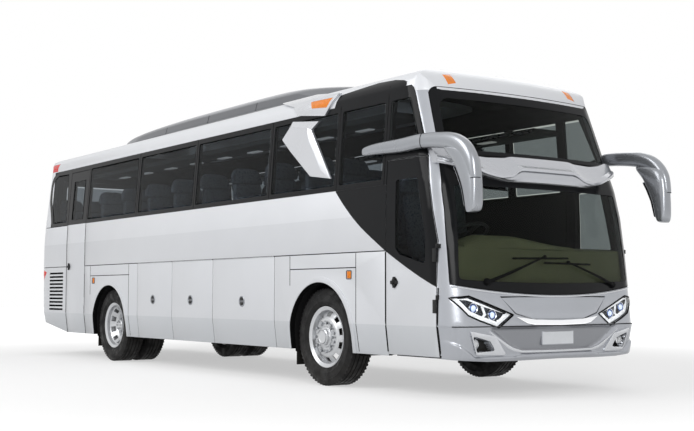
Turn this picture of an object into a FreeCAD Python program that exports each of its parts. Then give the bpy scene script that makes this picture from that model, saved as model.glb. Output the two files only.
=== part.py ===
"""Coach bus with a luggage deck, modelled as the real one is put together.

The frame is +X to the front, +Y to the left side, +Z up, in millimetres, with the origin on the ground
under the middle of the whole vehicle, mirrors included. Every size is a cell of the sheet named Sizes,
and every piece is bound to those cells with expressions.
"""

import FreeCAD, Part
import math
import os
import sys
import Sketcher
from FreeCAD import Vector

SIZES = {
    # Whole vehicle
    "wheelbase": 5275,
    "front_overhang": 2170,
    "rear_overhang": 2800,
    "mirror_reach": 310,
    "body_width": 2500,
    "roof_height": 3130,
    "skirt_bottom": 360,
    "overrun": 60,
    "seat_gap": 0.3,
    # Heights where the body's outline changes
    "crease_height": 650,
    "deck_line": 1350,
    "belt_crease": 1700,
    "waist_height": 1980,
    "window_top": 2850,
    # How far the outline stands in from its widest, at those heights
    "skirt_tuck": 35,
    "waist_tuck": 10,
    "window_tuck": 78,
    "roof_tuck": 100,
    "nose_tuck_bottom": 45,
    "nose_tuck_deck": 75,
    "nose_tuck_belt": 125,
    "nose_tuck_waist": 190,
    "nose_tuck_window": 495,
    "nose_tuck_roof": 560,
    "tail_tuck_bottom": 90,
    "tail_tuck_crease": 30,
    "tail_tuck_waist": 25,
    "tail_tuck_window": 110,
    "tail_tuck_roof": 130,
    "front_bow": 6000,
    "rear_bow": 9000,
    "corner_radius": 260,
    "cant_radius": 230,
    "crown_radius": 9000,
    "eave_margin": 3,
    "roof_front_drop": 281,
    "roof_front_reach": 396,
    "roof_rear_drop": 235,
    "roof_rear_reach": 258,
    # Walls
    "wall": 55,
    "pane": 8,
    "panel_gap": 8,
    "joint_groove": 6,
    # Stations along the body, measured from the rear axle
    "rear_quarter": -2300,
    "rear_door_back": -1585,
    "rear_door_front": -889,
    "arch_half_width": 560,
    "bay_start": 925,
    "bay_second": 1943,
    "bay_third": 3011,
    "bay_end": 4400,
    "front_door_back": 6403,
    "front_door_front": 7136,
    "pillar_lean": 170,
    "front_door_top": 2210,
    "rear_door_top": 2780,
    "door_bottom": 372,
    # Window posts, measured from the rear axle
    "post_width": 70,
    "post_second": 834,
    "post_third": 2480,
    "post_fourth": 4253,
    "post_fifth": 5560,
    "post_sixth": 6360,
    "window_header": 60,
    "window_sill": 55,
    # Front
    "screen_sill": 930,
    "screen_sill_rise": 90,
    "screen_half_bottom": 1175,
    "screen_half_top": 1075,
    "screen_top": 2835,
    "visor_low": 1975,
    "visor_high": 2225,
    "flap_half_width": 690,
    "flap_half_corner": 530,
    "flap_half_bottom": 330,
    "flap_corner_height": 765,
    "flap_low": 712,
    "flap_high": 912,
    # Rear
    "rear_window_half": 900,
    "rear_window_low": 2130,
    "rear_window_high": 2760,
    "engine_lid_half": 760,
    "engine_lid_low": 640,
    "engine_lid_high": 1330,
    # Floors and bays
    "floor_top": 1150,
    "floor_thickness": 50,
    "cab_floor_top": 850,
    "cab_floor_back": 6150,
    "cab_floor_front": 7180,
    "bay_floor_height": 440,
    "bay_floor_thickness": 25,
    "bulkhead": 30,
    "step_height": 390,
    "step_tread": 300,
    # Chassis
    "rail_offset": 430,
    "rail_width": 75,
    "rail_height": 180,
    "rail_bottom": 620,
    "rail_back": -2450,
    "rail_front": 6950,
    "cross_width": 80,
    # Wheels
    "tyre_radius": 500,
    "tyre_width": 280,
    "tyre_crown": 18,
    "shoulder": 34,
    "bead_radius": 292,
    "rim_lip_radius": 314,
    "rim_wall": 16,
    "rim_width": 230,
    "wheel_track_offset": 1050,
    "twin_spacing": 330,
    "hub_radius": 110,
    "spindle_radius": 40,
    "running_clearance": 0.05,
    "kingpin_offset": 970,
    "kingpin_radius": 22,
    "steering_arm": 190,
    "stud_radius": 12,
    "rod_radius": 17,
    "beam_height": 100,
    "beam_width": 90,
    "beam_drop": 110,
    "axle_tube_radius": 75,
    "diff_radius": 210,
    # Roof unit
    "pod_back": -760,
    "pod_front": 5440,
    "pod_half_width": 870,
    "pod_top": 3310,
    # Seats
    "seat_pitch": 780,
    "seat_width": 450,
    "seat_pair_gap": 10,
    "seat_back_height": 1160,
    "aisle_half": 215,
    "first_seat": 5400,
    # Mirrors
    "mirror_side_gap": 70,
    # Driver's place
    "driver_offset": 560,
    "steering_wheel_radius": 225,
    "steering_wheel_tube": 16,
    "steering_wheel_tilt": 30,
    "side_depth": 260,
    "lean_start": 1420,
    "pillar_lean_top": 410,
    "tail_bottom": 540,
    "door_frame": 125,
    "door_head": 180,
    "door_glass_low": 1200,
    "barrel_length": 120,
    "strap_length": 45,
    "strap_depth": 30,
    "knuckle_length": 40,
    "knuckle_reach": 25,
    "knuckle_depth": 60,
    "hinge_half": 300,
    "wing_back": 4486,
    "wing_length": 986,
    "wing_low": 2113,
    "wing_height": 687,
    "wing_rise": 25,
    "wing_lift": 15,
    "fairing_back": 4214,
    "fairing_length": 1288,
    "fairing_low": 2786,
    "fairing_height": 322,
    "fairing_width": 250,
    "fairing_lamp_back": 5004,
    "fairing_lamp_length": 412,
    "fairing_lamp_low": 2871,
    "fairing_lamp_height": 104,
    "flare_width": 55,
    "flare_rise": 14,
    "marker_station": 6770,
    "marker_length": 90,
    "marker_offset": 755,
    "marker_width": 100,
    "roof_lamp_front": -2202,
    "roof_lamp_inner": 1000,
    "roof_lamp_low": 2862,
    "roof_lamp_height": 123,
    "side_marker_rear": -585,
    "side_marker_front": 5765,
    "side_marker_length": 70,
    "side_marker_height": 1095,
    "pod_sink": 120,
    "pod_taper": 1140,
    "pod_round": 480,
    "pod_lean": 50,
    "pod_band_low": 3165,
    "pod_band_height": 60,
    "pod_band_inner": 812,
    "lamp_inner": 562,
    "lamp_inner_height": 752,
    "lamp_low": 735,
    "lamp_low_height": 637,
    "lamp_step": 930,
    "lamp_step_height": 700,
    "lamp_outer_low": 1050,
    "lamp_outer_low_height": 750,
    "lamp_outer": 1190,
    "lamp_outer_height": 905,
    "lamp_brow": 1030,
    "lamp_brow_height": 922,
    "lamp_bend": 880,
    "lamp_bend_height": 868,
    "lamp_reach": 300,
    "fog_radius": 38,
    "fog_offset": 953,
    "fog_height": 496,
    "fog_setback": 20,
    "pocket_inner": 763,
    "pocket_width": 263,
    "pocket_low": 415,
    "pocket_height": 159,
    "pocket_depth": 45,
    "recess_half": 840,
    "recess_low": 400,
    "recess_height": 225,
    "recess_depth": 34,
    "lip_half": 1120,
    "lip_low": 300,
    "lip_height": 190,
    "lip_reach": 26,
    "visor_half": 1180,
    "visor_rise": 315,
    "visor_top_reach": 48,
    "visor_ridge_reach": 130,
    "visor_low_reach": 84,
    "visor_depth": 120,
    "mirror_root_right": 6020,
    "mirror_root_left": 6700,
    "mirror_width": 130,
    "mirror_margin": 35,
    "arm_low": 2245,
    "arm_high": 2395,
    "arm_root_rise": 45,
    "arm_root_length": 120,
    "arm_elbow": 7250,
    "arm_elbow_inner_radius": 360,
    "arm_elbow_outer_radius": 465,
    "arm_end_height": 1950,
    "arm_end_width": 105,
    "head_length": 450,
    "head_low": 1640,
    "head_height": 585,
    "head_round": 45,
    "tail_lamp_reach": 400,
    "tail_lamp_offset": 1000,
    "tail_lamp_low": 935,
    "tail_lamp_height": 430,
    "grille_back": -2270,
    "grille_front": -1720,
    "grille_low": 690,
    "grille_pitch": 55,
    "grille_slot": 28,
    "arch_back_member": -1500,
    "front_member": 6800,
    "front_post": 4560,
    "well_margin": 40,
    "well_inner": 700,
    "entry_well_inner": 640,
    "flap_bottom": 330,
    "housing_inner": 530,
    "housing_sheet": 15,
    "housing_wall_low": 700,
    "mud_flap_outer": 1150,
    "mud_flap_inner": 800,
    "mud_flap_low": 190,
    "mud_flap_top": 500,
    "hub_start": 4,
    "rear_hub_start": 170,
    "front_stub": 100,
    "rear_stub": 20,
    "cap_radius": 80,
    "disc_place": 60,
    "front_dish": 50,
    "rear_dish": 130,
    "tube_half": 540,
    "kingpin_eye_radius": 50,
    "eye_half": 50,
    "fork_gap": 5,
    "fork_ear": 22,
    "beam_half": 820,
    "beam_arm": 60,
    "rod_drop": 12,
    "spring_hang": 15,
    "leaf_height": 25,
    "leaf_half": 500,
    "hanger_length": 40,
    "engine_back": -2350,
    "engine_length": 750,
    "engine_drop": 300,
    "dash_back": 6980,
    "dash_low": 1000,
    "dash_top": 1390,
    "dash_hood": 90,
    "dash_half": 1100,
    "steering_wheel_place": 6760,
    "steering_wheel_height": 1480,
    "column_radius": 30,
    "column_length": 900,
    "seat_base": 350,
    "seat_depth": 560,
    "cushion_height": 110,
    "back_thickness": 110,
    "back_lean": 120,
    "aisle_margin": 15,
    "bench_reach": 480,
    "bench_half": 1080,
    "driver_seat_front": 6650,
    "rack_inner": 760,
    "rack_low": 2640,
    "rack_height": 60,
    "wiper_height": 22,
    "wiper_arm_width": 30,
    "wiper_blade_width": 22,
    "wiper_foot_right": -830,
    "wiper_foot_right_height": 1050,
    "wiper_joint_right": -150,
    "wiper_joint_right_height": 1289,
    "wiper_foot_left": 824,
    "wiper_foot_left_height": 1029,
    "wiper_joint_left": 157,
    "wiper_joint_left_height": 1241,
    "wiper_blade_half": 340,
    "wiper_blade_drop": 16,
}
GRILLE_SLOTS = 11
SEAT_ROWS = 8

DOC = FreeCAD.newDocument("CoachBus")
SHEET = DOC.addObject("Spreadsheet::Sheet", "Sizes")
KEPT = []


class Size:
    """A length, share or angle that knows its value and the expression that gives it."""

    def __init__(self, value, text):
        self.value = value
        self.text = text

    def __add__(self, other):
        other = sized(other)
        return Size(self.value + other.value, f"({self.text} + {other.text})")

    def __radd__(self, other):
        return sized(other) + self

    def __sub__(self, other):
        other = sized(other)
        return Size(self.value - other.value, f"({self.text} - {other.text})")

    def __rsub__(self, other):
        return sized(other) - self

    def __mul__(self, other):
        other = sized(other)
        return Size(self.value * other.value, f"({self.text} * {other.text})")

    def __rmul__(self, other):
        return sized(other) * self

    def __truediv__(self, other):
        other = sized(other)
        return Size(self.value / other.value, f"({self.text} / {other.text})")

    def __neg__(self):
        return Size(-self.value, f"(0 - {self.text})")


def sized(number):
    """A plain number as a Size."""
    return number if isinstance(number, Size) else Size(float(number), f"({float(number)!r})")


def root(size):
    """The square root of a Size."""
    return Size(math.sqrt(size.value), f"sqrt({size.text})")


class SizeSheet:
    """Gives each cell of the sheet by its alias."""

    def __getattr__(self, name):
        return Size(float(SIZES[name]), f"Sizes.{name}")


def fill_sheet():
    """Writes every size into the sheet, one row each, with its name as the alias."""
    for row, (name, value) in enumerate(SIZES.items(), start=1):
        SHEET.set(f"A{row}", name)
        SHEET.set(f"B{row}", str(value))
        SHEET.setAlias(f"B{row}", name)
    DOC.recompute()


S = SizeSheet()
ZERO = sized(0)
NO_TURN = 0
QUARTER_TURN = 90
HALF_TURN = 180
REAR_AXLE = (S.rear_overhang - S.wheelbase - S.front_overhang - S.mirror_reach) / 2
FRONT_AXLE = REAR_AXLE + S.wheelbase
NOSE = FRONT_AXLE + S.front_overhang
TAIL = REAR_AXLE - S.rear_overhang
HALF_WIDTH = S.body_width / 2


def station(size):
    """The place along X of a distance measured from the rear axle."""
    return REAR_AXLE + size


class Bend:
    """An arc in an outline, to a point, with a radius; it turns left or right on its way."""

    def __init__(self, point, radius, left=True):
        self.point = point
        self.radius = radius
        self.left = left


def arc_edge(start, end, radius, left):
    """The circle arc from start to end as a sketch geometry, which always runs to the left."""
    middle = (start + end) * 0.5
    half = (end - start).Length / 2
    reach = math.sqrt(max(radius * radius - half * half, 0.0))
    along = (end - start).normalize()
    across = Vector(-along.y, along.x, 0)
    centre = middle + across * (reach if left else -reach)
    first, last = (start, end) if left else (end, start)
    turn_first = math.atan2(first.y - centre.y, first.x - centre.x)
    turn_last = math.atan2(last.y - centre.y, last.x - centre.x)
    if turn_last < turn_first:
        turn_last += 2 * math.pi
    circle = Part.Circle(centre, Vector(0, 0, 1), radius)
    return Part.ArcOfCircle(circle, turn_first, turn_last)


def constrain(sketch, kind, geometry, position, size):
    """Ties a sketch point's distance from the sketch origin to a size."""
    index = sketch.addConstraint(Sketcher.Constraint(kind, -1, 1, geometry, position, size.value))
    sketch.setExpression(f"Constraints[{index}]", size.text)


def draw_outline(sketch, outline):
    """Draws a closed outline of points and bends in a sketch and binds every corner to the sheet."""
    corners = [step.point if isinstance(step, Bend) else step for step in outline]
    points = [Vector(u.value, v.value, 0) for u, v in corners]
    ends = []
    for i, start in enumerate(points):
        step = outline[(i + 1) % len(outline)]
        end = points[(i + 1) % len(points)]
        if isinstance(step, Bend):
            geometry = sketch.addGeometry(arc_edge(start, end, step.radius.value, step.left), False)
            index = sketch.addConstraint(Sketcher.Constraint("Radius", geometry, step.radius.value))
            sketch.setExpression(f"Constraints[{index}]", step.radius.text)
            ends.append((geometry, 1, 2) if step.left else (geometry, 2, 1))
        else:
            geometry = sketch.addGeometry(Part.LineSegment(start, end), False)
            ends.append((geometry, 1, 2))
    for i, (geometry, first, _) in enumerate(ends):
        before, _, last = ends[i - 1]
        sketch.addConstraint(Sketcher.Constraint("Coincident", before, last, geometry, first))
        constrain(sketch, "DistanceX", geometry, first, corners[i][0])
        constrain(sketch, "DistanceY", geometry, first, corners[i][1])


def loose_sketch(label, outline, height):
    """A sketch flat at a height, for a loft."""
    sketch = DOC.addObject("Sketcher::SketchObject", label)
    draw_outline(sketch, outline)
    sketch.setExpression("Placement.Base.z", height.text)
    return sketch


ROLES = {"XY": "XY_Plane", "XZ": "XZ_Plane", "YZ": "YZ_Plane"}
AXES = {"X": "X_Axis", "Y": "Y_Axis", "Z": "Z_Axis"}


def origin_feature(body, role):
    """A body's own origin plane or axis."""
    return next(feature for feature in body.Origin.OriginFeatures if feature.Role == role)


def body_sketch(body, label, plane, outline, offset):
    """A sketch in a body on one of its origin planes, moved along that plane's own axis by offset."""
    sketch = body.newObject("Sketcher::SketchObject", label)
    sketch.AttachmentSupport = [(origin_feature(body, ROLES[plane]), "")]
    sketch.MapMode = "FlatFace"
    draw_outline(sketch, outline)
    lift = -offset if plane == "XZ" else offset
    sketch.setExpression("AttachmentOffset.Base.z", lift.text)
    return sketch


def pad(label, plane, outline, start, length):
    """A body with one outline padded from start, by length, along the plane's own axis."""
    body = DOC.addObject("PartDesign::Body", label)
    sketch = body_sketch(body, f"{label}_outline", plane, outline, start)
    feature = body.newObject("PartDesign::Pad", f"{label}_pad")
    feature.Profile = sketch
    feature.setExpression("Length", length.text)
    feature.Reversed = plane == "XZ"
    return body


def turned(label, axis, outline, plane="XZ"):
    """A body with one outline turned a full round about an axis of its own origin."""
    body = DOC.addObject("PartDesign::Body", label)
    sketch = body_sketch(body, f"{label}_outline", plane, outline, ZERO)
    feature = body.newObject("PartDesign::Revolution", f"{label}_turned")
    feature.Profile = sketch
    feature.ReferenceAxis = (origin_feature(body, AXES[axis]), [""])
    feature.Angle = 360
    return body


def place(thing, x=ZERO, y=ZERO, z=ZERO, axis=None, angle=0.0):
    """Moves a piece to a place bound to the sheet, turned by a fixed angle about an axis."""
    if axis is not None:
        thing.Placement = FreeCAD.Placement(Vector(), FreeCAD.Rotation(axis, angle))
    for letter, size in (("x", x), ("y", y), ("z", z)):
        thing.setExpression(f"Placement.Base.{letter}", size.text)
    return thing


def block(label, x, y, z):
    """A box between two places on each axis, each given as a pair."""
    thing = DOC.addObject("Part::Box", label)
    for name, (low, high) in (("Length", x), ("Width", y), ("Height", z)):
        thing.setExpression(name, (high - low).text)
    return place(thing, x[0], y[0], z[0])


def rod(label, radius, start, length, direction):
    """A cylinder from start, by length, along the axis named by direction."""
    thing = DOC.addObject("Part::Cylinder", label)
    thing.setExpression("Radius", radius.text)
    thing.setExpression("Height", length.text)
    turns = {
        "X": (Vector(0, 1, 0), 90),
        "Y": (Vector(1, 0, 0), -90),
        "Z": (Vector(0, 0, 1), 0),
    }
    axis, angle = turns[direction]
    return place(thing, *start, axis=axis, angle=angle)


def joined(label, *things):
    """Pieces fused into one."""
    thing = DOC.addObject("Part::MultiFuse", label)
    thing.Shapes = list(things)
    thing.Refine = True
    return thing


def gathered(label, *things):
    """Pieces held together as they are, not fused."""
    thing = DOC.addObject("Part::Compound", label)
    thing.Links = list(things)
    return thing


def cut(label, base, *tools):
    """A piece with the tools taken away."""
    thing = DOC.addObject("Part::Cut", label)
    thing.Base = base
    thing.Tool = tools[0] if len(tools) == 1 else gathered(f"{label}_tools", *tools)
    return thing


def shared(label, first, second):
    """What two pieces have in common."""
    thing = DOC.addObject("Part::Common", label)
    thing.Base = first
    thing.Tool = second
    return thing


def mirrored(label, source):
    """A piece's mirror image on the other side of the vehicle."""
    thing = DOC.addObject("Part::Mirroring", label)
    thing.Source = source
    thing.Normal = Vector(0, 1, 0)
    return thing


def keep(label, thing):
    """Marks an object as a sub-part, and names its file."""
    thing.Label = label
    KEPT.append((label, thing))
    return thing


def rectangle(low_u, high_u, low_v, high_v):
    """The four corners of a rectangle, as an outline."""
    return [(low_u, low_v), (high_u, low_v), (high_u, high_v), (low_u, high_v)]


def scaled(shares, low_u, length_u, low_v, length_v):
    """An outline from shares of a length and a height."""
    return [(low_u + length_u * share_u, low_v + length_v * share_v) for share_u, share_v in shares]


def slanted(start, end, width):
    """A straight bar between two places, with its width measured upright."""
    half = width / 2
    first, last = sorted((start, end), key=lambda spot: spot[0].value)
    return [(first[0], first[1] - half), (last[0], last[1] - half), (last[0], last[1] + half), (first[0], first[1] + half)]


# The body's outline, height by height: how far the side, the nose and the tail stand in from their widest.
LEVELS = (
    (S.skirt_bottom, S.skirt_tuck, S.nose_tuck_bottom, S.tail_tuck_bottom),
    (S.crease_height, ZERO, ZERO, S.tail_tuck_crease),
    (S.deck_line, ZERO, S.nose_tuck_deck, ZERO),
    (S.belt_crease, ZERO, S.nose_tuck_belt, ZERO),
    (S.waist_height, S.waist_tuck, S.nose_tuck_waist, S.tail_tuck_waist),
    (S.window_top, S.window_tuck, S.nose_tuck_window, S.tail_tuck_window),
    (S.roof_height, S.roof_tuck, S.nose_tuck_roof, S.tail_tuck_roof),
)


def bow_and_corner(bow, corner, half):
    """Where a corner arc meets the straight side and where it meets the bowed end.

    Both are measured from the centre of the bow: along X for both, and across for the second.
    """
    inner = root((bow - corner) * (bow - corner) - (half - corner) * (half - corner))
    grow = bow / (bow - corner)
    return inner, inner * grow, (half - corner) * grow


def plan_outline(side, nose_tuck, tail_tuck, inset):
    """The body seen from above at one height, as a closed outline of sides, corners and bowed ends."""
    half = HALF_WIDTH - side - inset
    corner = S.corner_radius - inset
    front = S.front_bow - inset
    rear = S.rear_bow - inset
    front_centre = NOSE - nose_tuck - S.front_bow
    rear_centre = TAIL + tail_tuck + S.rear_bow
    front_side, front_turn, front_across = bow_and_corner(front, corner, half)
    rear_side, rear_turn, rear_across = bow_and_corner(rear, corner, half)
    return [
        Bend((rear_centre - rear_side, -half), corner),
        (front_centre + front_side, -half),
        Bend((front_centre + front_turn, -front_across), corner),
        Bend((front_centre + front_turn, front_across), front),
        Bend((front_centre + front_side, half), corner),
        (rear_centre - rear_side, half),
        Bend((rear_centre - rear_turn, rear_across), corner),
        Bend((rear_centre - rear_turn, -rear_across), rear),
    ]


def roof_section(label, inset):
    """A long bar with the roof's crown and rounded eaves, wider than the body below the waist."""
    wide = HALF_WIDTH + S.overrun
    eave = HALF_WIDTH - S.window_tuck + S.eave_margin - inset
    radius = S.cant_radius - inset
    crown = S.crown_radius - inset
    centre = S.roof_height - S.crown_radius
    rise, turn, across = bow_and_corner(crown, radius, eave)
    outline = [
        (-wide, ZERO),
        (wide, ZERO),
        (wide, S.waist_height),
        (eave, centre + rise),
        Bend((across, centre + turn), radius),
        Bend((-across, centre + turn), crown),
        Bend((-eave, centre + rise), radius),
        (-wide, S.waist_height),
    ]
    start = TAIL - S.overrun
    return pad(label, "YZ", outline, start, NOSE + S.overrun - start)


def end_disc(label, centre, bow, drop, reach, inset, spread, turn):
    """A wide round disc whose edge rounds the roof down to one end of the body, its seam turned away from it."""
    edge = bow - inset + S.eave_margin
    top = S.roof_height - inset
    fall = drop - inset
    radius = (reach * reach + fall * fall) / (fall + fall)
    outline = [
        (ZERO, ZERO),
        (edge + spread, ZERO),
        (edge + spread, S.belt_crease),
        (edge, S.roof_height - drop),
        Bend((edge - reach, top), radius),
        (ZERO, top),
    ]
    return place(turned(label, "Z", outline), centre, axis=Vector(0, 0, 1), angle=turn)


def body_form(label, inset, below):
    """The whole body as one solid, its surface moved inwards by inset and its bottom down by below."""
    loft = DOC.addObject("Part::Loft", f"{label}_loft")
    sections = []
    for number, (height, side, nose_tuck, tail_tuck) in enumerate(LEVELS):
        lowered = height - below if number == 0 else height
        sections.append(loose_sketch(f"{label}_level_{number}", plan_outline(side, nose_tuck, tail_tuck, inset), lowered))
    loft.Sections = sections
    loft.Solid = True
    loft.Ruled = True
    section = roof_section(f"{label}_section", inset)
    front = end_disc(
        f"{label}_front_disc",
        NOSE - S.nose_tuck_window - S.front_bow,
        S.front_bow,
        S.roof_front_drop,
        S.roof_front_reach,
        inset,
        S.nose_tuck_window + S.overrun,
        HALF_TURN,
    )
    rear = end_disc(
        f"{label}_rear_disc",
        TAIL + S.tail_tuck_window + S.rear_bow,
        S.rear_bow,
        S.roof_rear_drop,
        S.roof_rear_reach,
        inset,
        S.tail_tuck_window + S.overrun,
        NO_TURN,
    )
    narrowed = shared(f"{label}_narrowed", loft, section)
    rounded = shared(f"{label}_rounded", narrowed, front)
    return shared(label, rounded, rear)


def across_zone(label, outline):
    """A prism through the body from side to side, from an outline in the side view."""
    start = -HALF_WIDTH - S.overrun
    return pad(label, "XZ", outline, start, -start - start)


def right_zone(label, outline):
    """A prism through the right wall only, from an outline in the side view."""
    return pad(label, "XZ", outline, -HALF_WIDTH - S.overrun, S.side_depth + S.overrun)


def outside_zone(label, outline, width):
    """A prism from outside the right wall inwards by a width, from an outline in the side view."""
    return pad(label, "XZ", outline, -HALF_WIDTH - S.overrun, width)


def moved(label, x=ZERO, y=ZERO, z=ZERO):
    """The body's outer form moved as a whole, to raise or sink a surface that follows the skin."""
    return place(gathered(label, OUTER), x, y, z)


def both_sides(label, thing):
    """A piece of the right side and its mirror image."""
    return [thing, mirrored(f"{label}_left", thing)]


def front_zone(label, outline):
    """A prism through the front of the body, from an outline in the front view."""
    start = station(S.front_door_back)
    return pad(label, "YZ", outline, start, NOSE + S.overrun - start)


def rear_zone(label, outline):
    """A prism through the rear wall, from an outline in the rear view."""
    start = TAIL - S.overrun
    return pad(label, "YZ", outline, start, S.side_depth + S.overrun)


def side_box(low_x, high_x, low_z, high_z):
    """A rectangle in the side view, its X places measured from the rear axle."""
    return rectangle(station(low_x), station(high_x), low_z, high_z)


def arch_outline(axle, grow):
    """A wheel opening: round over the wheel and straight down to below the skirt."""
    half = S.arch_half_width + grow
    return [
        (axle - half, ZERO),
        (axle + half, ZERO),
        (axle + half, S.tyre_radius),
        Bend((axle, S.tyre_radius + half), half),
        Bend((axle - half, S.tyre_radius), half),
    ]


def pillar_line(height):
    """Where the front pillar's back edge stands, from the rear axle, at a height beside the door."""
    lean = S.pillar_lean * (height - S.lean_start) / (S.front_door_top - S.lean_start)
    return S.front_door_front - lean


def pillar_top_line(height):
    """Where the front pillar's back edge stands, from the rear axle, at a height above the door."""
    rest = (S.pillar_lean_top - S.pillar_lean) * (height - S.front_door_top)
    return S.front_door_front - S.pillar_lean - rest / (S.window_top - S.front_door_top)


def door_outline(back, top, grow):
    """A front door in the side view: its front edge leans back with the pillar above the belt."""
    low = S.door_bottom - grow
    high = top + grow
    return [
        (station(back) - grow, low),
        (station(S.front_door_front) + grow, low),
        (station(S.front_door_front) + grow, S.lean_start),
        (station(pillar_line(high)) + grow, high),
        (station(back) - grow, high),
    ]


fill_sheet()
HALF_GAP = S.panel_gap / 2
FLAP_STATIONS = (
    ("front", S.bay_third, S.bay_end),
    ("middle", S.bay_second, S.bay_third),
    ("rear", S.bay_start, S.bay_second),
)

OUTER = body_form("outer_form", ZERO, ZERO)
GLASS_BACK = body_form("glass_back_form", S.pane, S.overrun)
INNER = body_form("inner_form", S.wall, S.overrun)

# The underside rises towards the tail.
WEDGE = across_zone(
    "tail_wedge",
    [
        (TAIL - S.overrun, ZERO),
        (station(S.rear_door_back), ZERO),
        (station(S.rear_door_back), S.skirt_bottom),
        (TAIL, S.tail_bottom),
        (TAIL - S.overrun, S.tail_bottom),
    ],
)
RAISED = cut("raised_form", OUTER, WEDGE)
SHELL = cut("shell", RAISED, INNER)
SKIN = cut("skin", OUTER, GLASS_BACK)
CORE = cut("core", GLASS_BACK, INNER)

# Wheel openings in the side view.
ARCHES = [
    across_zone("rear_arch_zone", arch_outline(REAR_AXLE, ZERO)),
    across_zone("front_arch_zone", arch_outline(FRONT_AXLE, ZERO)),
]
EMERGENCY_DOOR_WAY = right_zone(
    "emergency_door_way",
    rectangle(
        station(S.rear_door_back) - HALF_GAP,
        station(S.rear_door_front) + HALF_GAP,
        ZERO,
        S.rear_door_top + HALF_GAP,
    ),
)

# Windows: panes glued flush over an inner frame.
PANE_STATIONS = (
    ("quarter", S.rear_quarter, S.rear_door_back),
    ("door", S.rear_door_back, S.rear_door_front),
    ("first", S.rear_door_front, S.post_second),
    ("second", S.post_second, S.post_third),
    ("third", S.post_third, S.post_fourth),
    ("fourth", S.post_fourth, S.post_fifth),
    ("fifth", S.post_fifth, S.post_sixth),
)
HALF_POST = S.post_width / 2
HALF_SEAM = S.joint_groove / 2
WINDOW_WAYS = []
PANE_ZONES = []
for name, low, high in PANE_STATIONS:
    opening = side_box(
        low + HALF_POST,
        high - HALF_POST,
        S.waist_height + S.window_sill,
        S.window_top - S.window_header,
    )
    WINDOW_WAYS.append(across_zone(f"{name}_window_way", opening))
    pane = side_box(low + HALF_SEAM, high - HALF_SEAM, S.waist_height, S.window_top)
    PANE_ZONES.append(across_zone(f"{name}_pane_zone", pane))
QUARTER_LOW = S.front_door_top + S.panel_gap + S.joint_groove
QUARTER_PANE = [
    (station(S.post_sixth) + HALF_SEAM, QUARTER_LOW),
    (station(pillar_top_line(QUARTER_LOW)) - HALF_SEAM, QUARTER_LOW),
    (station(pillar_top_line(S.window_top)) - HALF_SEAM, S.window_top),
    (station(S.post_sixth) + HALF_SEAM, S.window_top),
]
QUARTER_WAY = [
    (station(S.post_sixth) + S.post_width, QUARTER_LOW + S.window_sill),
    (station(pillar_top_line(QUARTER_LOW)) - S.post_width, QUARTER_LOW + S.window_sill),
    (station(pillar_top_line(S.window_top)) - S.post_width, S.window_top - S.window_header),
    (station(S.post_sixth) + S.post_width, S.window_top - S.window_header),
]
PANE_ZONES.append(across_zone("front_quarter_pane_zone", QUARTER_PANE))
WINDOW_WAYS.append(across_zone("front_quarter_way", QUARTER_WAY))

# Side walls: full thickness from the deck to the waist, then the frame behind the glass.
DOOR_EDGE = station(S.front_door_back) - HALF_GAP
WALL_TOP = S.front_door_top + HALF_GAP
LOWER_WALL = shared(
    "lower_wall",
    SHELL,
    across_zone(
        "lower_wall_zone",
        rectangle(station(S.rear_door_back) + HALF_GAP, DOOR_EDGE, S.deck_line, S.waist_height),
    ),
)
WINDOW_FRAME = shared(
    "window_frame",
    CORE,
    across_zone(
        "window_frame_zone",
        [
            (station(S.rear_quarter), S.waist_height),
            (DOOR_EDGE, S.waist_height),
            (DOOR_EDGE, WALL_TOP),
            (station(pillar_top_line(WALL_TOP)) + HALF_GAP, WALL_TOP),
            (station(pillar_top_line(S.window_top)) + HALF_GAP, S.window_top),
            (station(S.rear_quarter), S.window_top),
        ],
    ),
)
DOOR_HEADER = shared(
    "door_header",
    SKIN,
    across_zone(
        "door_header_zone",
        [
            (station(S.post_sixth), WALL_TOP),
            (station(pillar_top_line(WALL_TOP)) + HALF_GAP, WALL_TOP),
            (station(pillar_top_line(QUARTER_LOW)) + HALF_GAP, QUARTER_LOW),
            (station(S.post_sixth), QUARTER_LOW),
        ],
    ),
)
OPEN_FRAME = cut("open_frame", WINDOW_FRAME, *WINDOW_WAYS)
keep(
    "side_walls",
    cut(
        "side_walls_open",
        joined("side_walls_whole", LOWER_WALL, OPEN_FRAME, DOOR_HEADER),
        EMERGENCY_DOOR_WAY,
    ),
)

# Windows along the sides, and the rear window.
REAR_WINDOW = rectangle(-S.rear_window_half, S.rear_window_half, S.rear_window_low, S.rear_window_high)
REAR_PANE = shared("rear_pane", SKIN, rear_zone("rear_pane_zone", REAR_WINDOW))
WING_SHARES = ((0, 0.741), (0.183, 0.53), (0.612, 0.082), (1, 0), (0.585, 0.806), (0.715, 0.918), (0.201, 1))
WING = scaled(WING_SHARES, station(S.wing_back), S.wing_length, S.wing_low, S.wing_height)
WING_ZONE = across_zone("wing_zone", WING)
WING_FORM = moved("wing_form", y=-S.wing_rise, z=S.wing_lift)
WING_PLATE = cut("wing_plate", shared("wing_plate_raised", WING_FORM, right_zone("wing_plate_zone", WING)), GLASS_BACK)
FAIRING_SHARES = ((0, 0.935), (0.365, 0.537), (0.436, 0.208), (0.84, 0), (1, 0.671), (0.364, 1))
FAIRING_ZONE = outside_zone(
    "fairing_zone",
    scaled(FAIRING_SHARES, station(S.fairing_back), S.fairing_length, S.fairing_low, S.fairing_height),
    S.fairing_width,
)
FAIRING = cut("fairing_whole", shared("fairing_raised", WING_FORM, FAIRING_ZONE), OUTER)
FAIRING_LAMP_SHARES = ((0, 1), (0.107, 0.24), (0.779, 0), (1, 0.904))
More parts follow.
